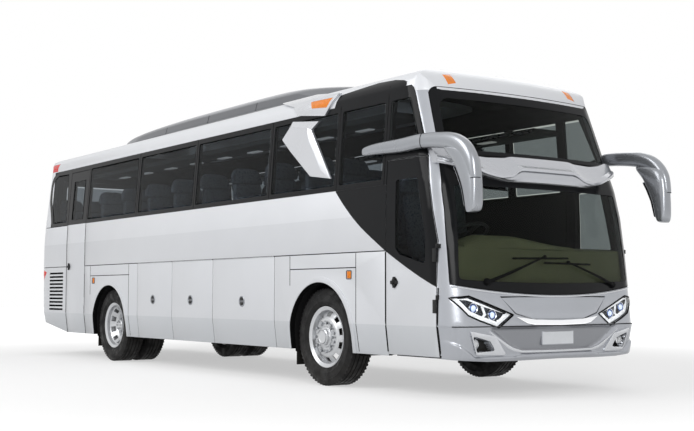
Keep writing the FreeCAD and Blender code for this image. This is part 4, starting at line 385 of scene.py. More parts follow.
REAR_AXLE = middle_of("rear_tyre_right").x
FRONT_AXLE = middle_of("front_tyre_right").x
TYRE_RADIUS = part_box("front_tyre_right")[1].z / 2
BODY = BodyForm(
    nose_tip=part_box("front_bumper")[1].x, tail_tip=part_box("rear_mask")[0].x,
    half_width=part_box("rear_mask")[1].y
)


def on_nose(out: float) -> Surface:
    """The nose's surface moved out, which gives the place at an offset and a height."""
    return lambda across, height: BODY.nose(across, height, out)


def on_tail(out: float) -> Surface:
    """The tail's surface moved out, which gives the place at an offset and a height."""
    return lambda across, height: BODY.tail(across, height, out)


def under_skin(spot: Vector) -> float:
    """How deep a place lies under the coach's side, nose and tail."""
    side = abs(BODY.side(1)(spot.x, spot.z)[1]) - abs(spot.y)
    return min(side, spot.x - BODY.tail(spot.y, spot.z)[0], BODY.nose(spot.y, spot.z)[0] - spot.x)


def station(along: float) -> float:
    """The place along X of a distance measured from the rear axle."""
    return REAR_AXLE + along


def stations(outline: Iterable[Point]) -> list[Point]:
    """An outline in the side view, its first numbers measured from the rear axle."""
    return [(station(along), height) for along, height in outline]


def cut_places(low: float, high: float, size: float, sag: Callable[[float, float], float]) -> list[float]:
    """Places to cut a net at, closer together where its surface bends.

    Args:
        low: Where the net starts.
        high: Where it ends.
        size: The widest mesh; zero for one mesh over the whole length.
        sag: Says how far the surface stands off a straight line between two places.

    Returns:
        The places between low and high, in order.
    """
    first = math.floor(low / size) + 1 if size else 0
    last = math.ceil(high / size) if size else 0
    ends = [low, *(number * size for number in range(first, last)), high]
    while True:
        finer = []
        for start, end in zip(ends, ends[1:]):
            finer.append(start)
            if end - start > 0.012 and sag(start, end) > 0.0004:
                finer.append((start + end) / 2)
        finer.append(high)
        if len(finer) == len(ends):
            return ends[1:-1]
        ends = finer


def net(
    outline: Sequence[Point], surface: Surface, step: Point, holes: Iterable[Sequence[Point]] = (),
    facing: Place = (1, 0, 0)
) -> Shape:
    """A net inside an outline, laid on a surface and finer where the surface bends.

    Args:
        outline: The edge in the surface's own two coordinates.
        surface: Gives the place of a pair of coordinates.
        step: The widest mesh in each direction; zero cuts only where the surface bends.
        holes: Outlines of openings.
        facing: The direction that its front looks in.

    Returns:
        The net, one sheet thick.
    """
    sheet = bmesh.new()
    loops = [outline, *holes]
    for loop in loops:
        corners = [sheet.verts.new((u, v, 0.0)) for u, v in loop]
        if len(loops) == 1:
            sheet.faces.new(corners)
            continue
        for first, last in zip(corners, corners[1:] + corners[:1]):
            sheet.edges.new((first, last))
    if len(loops) > 1:
        bmesh.ops.triangle_fill(sheet, edges=sheet.edges[:], use_beauty=True, normal=(0, 0, 1))
    spans = [[point[axis] for point in outline] for axis in (0, 1)]
    for axis in (0, 1):
        other = spans[1 - axis]
        samples = [mixed(min(other), max(other), share) for share in (0.0, 0.25, 0.5, 0.75, 1.0)]

        def sag(start: float, end: float, axis: int = axis, samples: list[float] = samples) -> float:
            """The furthest that the surface stands off a chord from start to end."""
            worst = 0.0
            for sample in samples:
                pairs = [
                    (at, sample) if axis == 0 else (sample, at) for at in (start, (start + end) / 2, end)
                ]
                a, b, c = (Vector(surface(*pair)) for pair in pairs)
                worst = max(worst, ((a + c) / 2 - b).length)
            return worst

        for place in cut_places(min(spans[axis]), max(spans[axis]), step[axis], sag):
            spot, normal = Vector(), Vector()
            spot[axis], normal[axis] = place, 1.0
            parts = sheet.verts[:] + sheet.edges[:] + sheet.faces[:]
            bmesh.ops.bisect_plane(sheet, geom=parts, dist=1e-5, plane_co=spot, plane_no=normal)
    for vert in sheet.verts:
        vert.co = surface(vert.co.x, vert.co.y)
    sheet.normal_update()
    if sum((face.normal * face.calc_area() for face in sheet.faces), Vector()).dot(Vector(facing)) < 0:
        bmesh.ops.reverse_faces(sheet, faces=sheet.faces[:])
    return sheet


def lofted(rings: Sequence[Sequence[Place]], closed: bool = True, capped: bool = True) -> Shape:
    """A skin through rings of points.

    Args:
        rings: The rings in order, each with the same number of points.
        closed: Whether each ring runs round to its first point.
        capped: Whether the first and last rings are filled.

    Returns:
        The skin.
    """
    skin = bmesh.new()
    rows = [[skin.verts.new(point) for point in ring] for ring in rings]
    count = len(rows[0])
    for low, high in zip(rows, rows[1:]):
        for number in range(count if closed else count - 1):
            after = (number + 1) % count
            skin.faces.new((low[number], low[after], high[after], high[number]))
    if closed and capped:
        skin.faces.new(list(reversed(rows[0])))
        skin.faces.new(rows[-1])
    return skin


def turned(
    profile: Sequence[Point], centre: Place | Vector, axis: Place | Vector, segments: int = 48,
    kept: Callable[[int, int], bool] | None = None
) -> Shape:
    """A round shape turned about an axis.

    Args:
        profile: Pairs of radius and place along the axis, on the outside from one end to the other.
        centre: The place of zero along the axis.
        axis: The direction of the axis.
        segments: How many steps go round.
        kept: Says whether the face at a profile step and a segment is kept, all of them if it is None.

    Returns:
        The shape.
    """
    shape = bmesh.new()
    along = Vector(axis).normalized()
    first = along.orthogonal().normalized() if abs(along.z) > 0.9 else along.cross(
        Vector((0, 0, 1))
    ).normalized()
    second = along.cross(first)
    rows = []
    for radius, reach in profile:
        row = []
        for number in range(segments):
            angle = 2 * math.pi * number / segments
            ray = first * math.cos(angle) + second * math.sin(angle)
            row.append(shape.verts.new(Vector(centre) + along * reach + ray * radius))
        rows.append(row)
    for step, (low, high) in enumerate(zip(rows, rows[1:])):
        for number in range(segments):
            if kept is None or kept(step, number):
                after = (number + 1) % segments
                shape.faces.new((low[number], low[after], high[after], high[number]))
    bmesh.ops.remove_doubles(shape, verts=shape.verts[:], dist=1e-5)
    return shape


def tube(
    path: Sequence[Place], radii: Sequence[Point], up: Place = (0, 0, 1), sides: int = 20, power: float = 2.0
) -> Shape:
    """A bar along a path, its section a rounded rectangle or an ellipse.

    Args:
        path: The places of its middle line.
        radii: Half its width and half its height at each place.
        up: The direction of its height.
        sides: How many points go round.
        power: 2 for an ellipse, higher for squarer corners.

    Returns:
        The bar, closed at both ends.
    """
    rings = []
    for number, here in enumerate(path):
        before, after = Vector(path[max(number - 1, 0)]), Vector(path[min(number + 1, len(path) - 1)])
        ahead = (after - before).normalized()
        across = ahead.cross(Vector(up)).normalized()
        rise = across.cross(ahead).normalized()
        ring = []
        for side in range(sides):
            angle = 2 * math.pi * side / sides
            c, s = math.cos(angle), math.sin(angle)
            u = powered(c, 2 / power) * radii[number][0]
            v = powered(s, 2 / power) * radii[number][1]
            ring.append(tuple(Vector(here) + across * u + rise * v))
        rings.append(ring)
    return lofted(rings)


def merged(*shapes: Shape) -> Shape:
    """Several shapes as one; the later ones are freed.

    Args:
        shapes: The shapes, at least one.

    Returns:
        The first shape with the others in it.
    """
    whole = shapes[0]
    for shape in shapes[1:]:
        carrier = bpy.data.meshes.new("carrier")
        shape.to_mesh(carrier)
        shape.free()
        whole.from_mesh(carrier)
        bpy.data.meshes.remove(carrier)
    return whole


def box_shape(low: Place, high: Place) -> Shape:
    """A plain block between two corners.

    Args:
        low: The low corner.
        high: The high corner.

    Returns:
        The block.
    """
    block = bmesh.new()
    bmesh.ops.create_cube(block, size=1.0)
    for vert in block.verts:
        vert.co = [mixed(a, b, c + 0.5) for a, b, c in zip(low, high, vert.co)]
    return block


@dataclass(frozen=True)
class Finishing:
    """How a raw shape becomes a finished piece: its wall, its rounded edges and its shading."""

    wall: float = 0.0
    bevel: float = 0.0
    bevel_segments: int = 2
    levels: int = 0
    smooth: float = SMOOTH_ANGLE
    outward: bool = True


BEAD = Finishing(outward=False)
SHEET, PANE = Finishing(wall=-0.0018), Finishing(wall=-0.005)


def settled(thing: Thing) -> Thing:
    """Turns a piece's modifiers into plain mesh and takes them off.

    Args:
        thing: The piece.

    Returns:
        The same piece.
    """
    view = bpy.context.evaluated_depsgraph_get()
    mesh = bpy.data.meshes.new_from_object(thing.evaluated_get(view))
    thing.modifiers.clear()
    old = thing.data
    thing.data = mesh
    bpy.data.meshes.remove(old)
    return thing


def piece(
    name: str, shape: Shape, finish: str, finishing: Finishing = Finishing(), body: str = "coach",
    replaces: Sequence[str] = ()
) -> Thing:
    """Makes a finished piece of a raw shape and puts it on its body.

    Args:
        name: The piece's name.
        shape: The raw shape, which is freed.
        finish: The name of its finish.
        finishing: Its wall, bevel and shading.
        body: The CAD body that it rides on.
        replaces: The CAD nodes that it stands for.

    Returns:
        The piece.
    """
    bmesh.ops.remove_doubles(shape, verts=shape.verts[:], dist=2e-5)
    if finishing.outward and not finishing.wall:
        bmesh.ops.recalc_face_normals(shape, faces=shape.faces[:])
    mesh = bpy.data.meshes.new(name)
    shape.to_mesh(mesh)
    shape.free()
    thing = bpy.data.objects.new(name, mesh)
    bpy.context.scene.collection.objects.link(thing)
    mesh.materials.append(FINISH[finish])
    if finishing.wall:
        wall = thing.modifiers.new("wall", "SOLIDIFY")
        wall.thickness, wall.offset, wall.use_even_offset = abs(finishing.wall), math.copysign(
            1, finishing.wall
        ), True
    if finishing.bevel:
        edge = thing.modifiers.new("edge", "BEVEL")
        edge.width, edge.segments = finishing.bevel, finishing.bevel_segments
        edge.limit_method, edge.angle_limit = "ANGLE", SMOOTH_ANGLE
    if finishing.levels:
        soft = thing.modifiers.new("soft", "SUBSURF")
        soft.levels = soft.render_levels = finishing.levels
    if thing.modifiers:
        settled(thing)
    thing.data.shade_smooth()
    thing.data.set_sharp_from_angle(angle=finishing.smooth)
    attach(thing, body)
    if replaces:
        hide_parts(*replaces)
    LOG.info("%s rides on %s", name, body)
    return thing


def repainted(thing: Thing, finish: str, picked: Callable[[Vector, Vector], bool]) -> Thing:
    """Gives another finish to some faces of a piece.

    Args:
        thing: The piece.
        finish: The other finish's name.
        picked: Says by a face's centre and normal whether it gets that finish.

    Returns:
        The same piece.
    """
    number = len(thing.data.materials)
    thing.data.materials.append(FINISH[finish])
    for face in thing.data.polygons:
        if picked(face.center, face.normal):
            face.material_index = number
    return thing


def hidden_edge(spot: Vector, normal: Vector) -> bool:
    """Whether a panel's face lies under the outer skin, as its edges and its back do."""
    return under_skin(spot) > 0.003


def edge_or_strap(spot: Vector, normal: Vector) -> bool:
    """Whether a door's face lies under the outer skin or stands out of it, as its hinge straps do."""
    return hidden_edge(spot, normal) or under_skin(spot) < -0.004


def looks_in(spot: Vector, normal: Vector) -> bool:
    """Whether a face of the roof or an end looks into the cabin."""
    core = Vector((min(max(spot.x, CAD_LOW.x + 1.5), CAD_HIGH.x - 1.8), 0.0, 1.9))
    return normal.dot(spot - core) < 0


Color = tuple[float, float, float]
Tree, Socket, Material = bpy.types.NodeTree, bpy.types.NodeSocket, bpy.types.Material


def tint(red: int, green: int, blue: int) -> Color:
    """A colour as it looks on a screen, out of 255, as the linear colour that a shader takes."""
    shares = (red / 255, green / 255, blue / 255)
    return tuple(c / 12.92 if c <= 0.04 else ((c + 0.055) / 1.055) ** 2.4 for c in shares)


def linked(tree: Tree, source: Socket, target: Socket) -> None:
    """Joins two sockets."""
    tree.links.new(source, target)


def mathed(tree: Tree, operation: str, *values: float | Socket) -> Socket:
    """A Math node's result from numbers and sockets.

    Args:
        tree: The tree that it goes in.
        operation: The node's operation.
        values: Its inputs in order.

    Returns:
        The node's output.
    """
    node = tree.nodes.new("ShaderNodeMath")
    node.operation = operation
    for number, value in enumerate(values):
        if isinstance(value, (int, float)):
            node.inputs[number].default_value = value
        else:
            linked(tree, value, node.inputs[number])
    return node.outputs[0]


def ranged(tree: Tree, value: Socket, low: float, high: float, new_low: float, new_high: float) -> Socket:
    """A value moved softly from one range to another.

    Args:
        tree: The tree that it goes in.
        value: The value to move.
        low: The old range's low end.
        high: The old range's high end.
        new_low: The new range's low end.
        new_high: The new range's high end.

    Returns:
        The moved value.
    """
    node = tree.nodes.new("ShaderNodeMapRange")
    node.interpolation_type = "SMOOTHSTEP"
    linked(tree, value, node.inputs["Value"])
    for name, number in (("From Min", low), ("From Max", high), ("To Min", new_low), ("To Max", new_high)):
        node.inputs[name].default_value = number
    return node.outputs["Result"]


def blended(tree: Tree, share: float | Socket, first: Socket | Color, second: Socket | Color) -> Socket:
    """A colour between two colours.

    Args:
        tree: The tree that it goes in.
        share: 0 for the first colour, 1 for the second.
        first: The first colour.
        second: The second colour.

    Returns:
        The blended colour.
    """
    node = tree.nodes.new("ShaderNodeMix")
    node.data_type = "RGBA"
    if isinstance(share, (int, float)):
        node.inputs["Factor"].default_value = share
    else:
        linked(tree, share, node.inputs["Factor"])
    for socket, value in ((node.inputs[6], first), (node.inputs[7], second)):
        if isinstance(value, Socket):
            linked(tree, value, socket)
        else:
            socket.default_value = (*value, 1.0)
    return node.outputs[2]


def noise(tree: Tree, scale: float | Socket, detail: float = 3.0) -> Socket:
    """Noise over the piece's own coordinates.

    Args:
        tree: The tree that it goes in.
        scale: How fine the noise is.
        detail: How many finer layers it has.

    Returns:
        The noise, from 0 to 1.
    """
    spot = tree.nodes.new("ShaderNodeTexCoord")
    node = tree.nodes.new("ShaderNodeTexNoise")
    node.inputs["Detail"].default_value = detail
    linked(tree, spot.outputs["Object"], node.inputs["Vector"])
    if isinstance(scale, (int, float)):
        node.inputs["Scale"].default_value = scale
    else:
        linked(tree, scale, node.inputs["Scale"])
    return node.outputs["Fac"]


class SurfaceEffects:
    """Shader groups that every finish shares: colour drift, road dust and fine grain."""

    def __init__(self) -> None:
        """Builds the three groups once."""
        self.drift = self.build_drift()
        self.dust = self.build_dust()
        self.grain = self.build_grain()

    def group(
        self, name: str, inputs: Sequence[tuple[str, str, object]], outputs: Sequence[tuple[str, str]]
    ) -> tuple[Tree, bpy.types.Node, bpy.types.Node]:
        """An empty shader group.

        Args:
            name: The group's name.
            inputs: The name, socket type and default value of each input.
            outputs: The name and socket type of each output.

        Returns:
            The tree, its input node and its output node.
        """
        tree = bpy.data.node_groups.new(name, "ShaderNodeTree")
        for label, kind, value in inputs:
            tree.interface.new_socket(label, in_out="INPUT", socket_type=kind).default_value = value
        for label, kind in outputs:
            tree.interface.new_socket(label, in_out="OUTPUT", socket_type=kind)
        return tree, tree.nodes.new("NodeGroupInput"), tree.nodes.new("NodeGroupOutput")

    def build_drift(self) -> Tree:
        """Colour and roughness that wander a little over the surface.

        Returns:
            The group.
        """
        tree, given, result = self.group(
            "colour_drift",
            (
                ("Color", "NodeSocketColor", (0.5, 0.5, 0.5, 1.0)), ("Roughness", "NodeSocketFloat", 0.4),
                ("Scale", "NodeSocketFloat", 3.0), ("Amount", "NodeSocketFloat", 0.05)
            ),
            (("Color", "NodeSocketColor"), ("Roughness", "NodeSocketFloat"))
        )
        cloud = ranged(tree, noise(tree, given.outputs["Scale"]), 0.25, 0.75, -1.0, 1.0)
        shift = mathed(tree, "MULTIPLY", cloud, given.outputs["Amount"])
        tone = tree.nodes.new("ShaderNodeHueSaturation")
        linked(tree, given.outputs["Color"], tone.inputs["Color"])
        linked(tree, mathed(tree, "ADD", shift, 1.0), tone.inputs["Value"])
        linked(tree, tone.outputs["Color"], result.inputs["Color"])
        rough = mathed(
            tree, "MULTIPLY", given.outputs["Roughness"],
            mathed(tree, "ADD", mathed(tree, "MULTIPLY", shift, 2.5), 1.0)
        )
        linked(tree, mathed(tree, "MINIMUM", rough, 1.0), result.inputs["Roughness"])
        return tree

    def build_dust(self) -> Tree:
        """Road dust that gathers low on the coach and thins out with height.

        Returns:
            The group.
        """
        tree, given, result = self.group(
            "road_dust",
            (
                ("Color", "NodeSocketColor", (0.5, 0.5, 0.5, 1.0)),
                ("Dust", "NodeSocketColor", (*tint(120, 114, 104), 1.0)), ("Top", "NodeSocketFloat", 1.0),
                ("Amount", "NodeSocketFloat", 0.2)
            ),
            (("Color", "NodeSocketColor"), ("Mask", "NodeSocketFloat"))
        )
        spot = tree.nodes.new("ShaderNodeTexCoord")
        split = tree.nodes.new("ShaderNodeSeparateXYZ")
        linked(tree, spot.outputs["Object"], split.inputs[0])
        share = mathed(
            tree, "SUBTRACT", 1.0, mathed(tree, "DIVIDE", split.outputs["Z"], given.outputs["Top"])
        )
        low = mathed(tree, "MAXIMUM", share, 0.0)
        cloud = ranged(tree, noise(tree, 9.0, 6.0), 0.3, 0.7, 0.35, 1.0)
        mask = mathed(tree, "MULTIPLY", mathed(tree, "MULTIPLY", low, cloud), given.outputs["Amount"])
        linked(
            tree, blended(tree, mask, given.outputs["Color"], given.outputs["Dust"]), result.inputs["Color"]
        )
        linked(tree, mask, result.inputs["Mask"])
        return tree

    def build_grain(self) -> Tree:
        """Fine grain as a height, from two sizes of noise.

        Returns:
            The group.
        """
        tree, given, result = self.group(
            "fine_grain", (("Scale", "NodeSocketFloat", 300.0), ("Depth", "NodeSocketFloat", 1.0)),
            (("Height", "NodeSocketFloat"),)
        )
        coarse = noise(tree, given.outputs["Scale"], 2.0)
        fine = noise(tree, mathed(tree, "MULTIPLY", given.outputs["Scale"], 3.1), 1.0)
        both = mathed(tree, "ADD", coarse, mathed(tree, "MULTIPLY", fine, 0.4))
        linked(tree, mathed(tree, "MULTIPLY", both, given.outputs["Depth"]), result.inputs["Height"])
        return tree


EFFECTS = SurfaceEffects()


@dataclass(frozen=True)
class Finish:
    """One surface finish: its colour and gloss, and how both wander over the surface."""

    name: str
    slot: str
    color: Color
    roughness: float
    metallic: float = 0.0
    coat: float = 0.0
    coat_roughness: float = 0.05
    specular: float = 0.5
    drift: float = 0.04
    drift_scale: float = 2.5
    dust: float = 0.0
    dust_top: float = 1.3
    grain: float = 0.0
    grain_scale: float = 300.0
    glow: float = 0.0
    transmission: float = 0.0
    refraction: float = 1.45

    def placed(self, tree: Tree, group: Tree, **values: object) -> bpy.types.Node:
        """One shared group set into this finish with its own values.

        Args:
            tree: The finish's own tree.
            group: The shared group.
            values: The group's inputs by name.

        Returns:
            The group's node.
        """
        node = tree.nodes.new("ShaderNodeGroup")
        node.node_tree = group
        for name, value in values.items():
            socket = node.inputs[name]
            if isinstance(value, Socket):
                linked(tree, value, socket)
            else:
                socket.default_value = value
        return node

    def base(self, tree: Tree) -> Socket | Color:
        """The colour before drift and dust; a patterned finish overrides it."""
        return self.color

    def height(self, tree: Tree) -> Socket | None:
        """The height that the bump follows, in metres, or None for a smooth surface.

        Args:
            tree: The finish's own tree.

        Returns:
            The height's socket, or None.
        """
        if not self.grain:
            return None
        return self.placed(tree, EFFECTS.grain, Scale=self.grain_scale, Depth=self.grain).outputs["Height"]

    def make(self) -> Material:
        """Builds the material.

        Returns:
            The material, with its shader in the material itself.
        """
        material = bpy.data.materials.new(self.name)
        material.use_nodes = True
        tree = material.node_tree
        shader = tree.nodes["Principled BSDF"]
        first = self.base(tree)
        first = first if isinstance(first, Socket) else (*first, 1.0)
        drift = self.placed(
            tree, EFFECTS.drift, Color=first, Roughness=self.roughness, Scale=self.drift_scale,
            Amount=self.drift
        )
        color, rough = drift.outputs["Color"], drift.outputs["Roughness"]
        if self.dust:
            dust = self.placed(tree, EFFECTS.dust, Color=color, Top=self.dust_top, Amount=self.dust)
            color = dust.outputs["Color"]
            rough = mathed(tree, "MAXIMUM", rough, dust.outputs["Mask"])
        linked(tree, color, shader.inputs["Base Color"])
        linked(tree, rough, shader.inputs["Roughness"])
        for name, value in (
            ("Metallic", self.metallic), ("Coat Weight", self.coat), ("Coat Roughness", self.coat_roughness),
            ("Specular IOR Level", self.specular), ("Transmission Weight", self.transmission),
            ("IOR", self.refraction)
        ):
            shader.inputs[name].default_value = value
        if self.glow:
            linked(tree, color, shader.inputs["Emission Color"])
            shader.inputs["Emission Strength"].default_value = self.glow
        height = self.height(tree)
        if height is not None:
            bump = tree.nodes.new("ShaderNodeBump")
            bump.inputs["Distance"].default_value = 1.0
            linked(tree, height, bump.inputs["Height"])
            linked(tree, bump.outputs["Normal"], shader.inputs["Normal"])
        return material


@dataclass(frozen=True)
class RibbedLens(Finish):
    """A moulded lamp lens with fine upright ribs."""

    rib_pitch: float = 0.008
    rib_depth: float = 0.0008

    def height(self, tree: Tree) -> Socket:
        """Ribs as waves across the piece's own Y and X.

        Args:
            tree: The finish's own tree.

        Returns:
            The height's socket.
        """
        spot = tree.nodes.new("ShaderNodeTexCoord")
        split = tree.nodes.new("ShaderNodeSeparateXYZ")
        linked(tree, spot.outputs["Object"], split.inputs[0])
        across = mathed(tree, "ADD", split.outputs["X"], split.outputs["Y"])
        wave = mathed(tree, "SINE", mathed(tree, "MULTIPLY", across, 2 * math.pi / self.rib_pitch))
        return mathed(tree, "MULTIPLY", wave, self.rib_depth)


@dataclass(frozen=True)
class WovenCloth(Finish):
    """Seat moquette: a fine weave with small speckles of a second colour."""

    speckle: Color = (0.1, 0.1, 0.12)
    thread: float = 0.003

    def base(self, tree: Tree) -> Socket:
        """The cloth's colour with its speckles."""
        spots = ranged(tree, noise(tree, 55.0, 2.0), 0.52, 0.62, 0.0, 1.0)
        return blended(tree, spots, self.color, self.speckle)

    def height(self, tree: Tree) -> Socket:
        """The weave as crossed waves of thread.

        Args:
            tree: The finish's own tree.

        Returns:
            The height's socket.
        """
        spot = tree.nodes.new("ShaderNodeTexCoord")
        split = tree.nodes.new("ShaderNodeSeparateXYZ")
        linked(tree, spot.outputs["Object"], split.inputs[0])
        turns = 2 * math.pi / self.thread
        warp = mathed(tree, "SINE", mathed(tree, "MULTIPLY", split.outputs["Y"], turns))
        rise = mathed(tree, "ADD", split.outputs["X"], split.outputs["Z"])
        weft = mathed(tree, "SINE", mathed(tree, "MULTIPLY", rise, turns))
        return mathed(tree, "MULTIPLY", mathed(tree, "ADD", warp, weft), 0.0002)


@dataclass(frozen=True)
class TyreRubber(Finish):
    """Tyre rubber with a fine moulded grain."""

    def height(self, tree: Tree) -> Socket:
        """Fine moulded grain."""
        return self.placed(tree, EFFECTS.grain, Scale=260.0, Depth=0.0006).outputs["Height"]


@dataclass(frozen=True)
class CoachPaint(Finish):
    """Metallic coach paint with a fine flake under its clear coat."""

    flake: float = 0.03

    def base(self, tree: Tree) -> Socket:
        """The paint's colour with flakes that are a little lighter and darker.

        Args:
            tree: The finish's own tree.

        Returns:
            The colour's socket.
        """
        spot = tree.nodes.new("ShaderNodeTexCoord")
        cells = tree.nodes.new("ShaderNodeTexVoronoi")
        cells.inputs["Scale"].default_value = 900.0
        linked(tree, spot.outputs["Object"], cells.inputs["Vector"])
        split = tree.nodes.new("ShaderNodeSeparateColor")
        linked(tree, cells.outputs["Color"], split.inputs[0])
        tone = tree.nodes.new("ShaderNodeHueSaturation")
        tone.inputs["Color"].default_value = (*self.color, 1.0)
        linked(
            tree, ranged(tree, split.outputs[0], 0.0, 1.0, 1 - self.flake, 1 + self.flake),
            tone.inputs["Value"]
        )
        return tone.outputs["Color"]


@dataclass(frozen=True)
class ShadeBandedPaint(CoachPaint):
    """Coach paint with painted shade in bands by height, each lower band a little darker, meeting at the
    panels' creases.
    """

    # the colours of the painted shade below the belt and below the crease
    middle: Color = (0.6, 0.6, 0.6)
    low: Color = (0.5, 0.5, 0.5)
    belt: float = 1.7
    crease: float = 0.65
    blend: float = 0.004

    def base(self, tree: Tree) -> Socket:
        """The colour with the painted shade that belongs to a place's height.

        Args:
            tree: The finish's own tree.

        Returns:
            The colour's socket.
        """
        spot = tree.nodes.new("ShaderNodeTexCoord")
        split = tree.nodes.new("ShaderNodeSeparateXYZ")
        linked(tree, spot.outputs["Object"], split.inputs[0])
        height = split.outputs["Z"]
        # painted shade: the middle colour below the belt, and the darker low colour below the crease
        lower = blended(
            tree, ranged(tree, height, self.crease - self.blend, self.crease + self.blend, 0.0, 1.0),
            self.low, self.middle
        )
        return blended(
            tree, ranged(tree, height, self.belt - self.blend, self.belt + self.blend, 0.0, 1.0), lower,
            self.color
        )


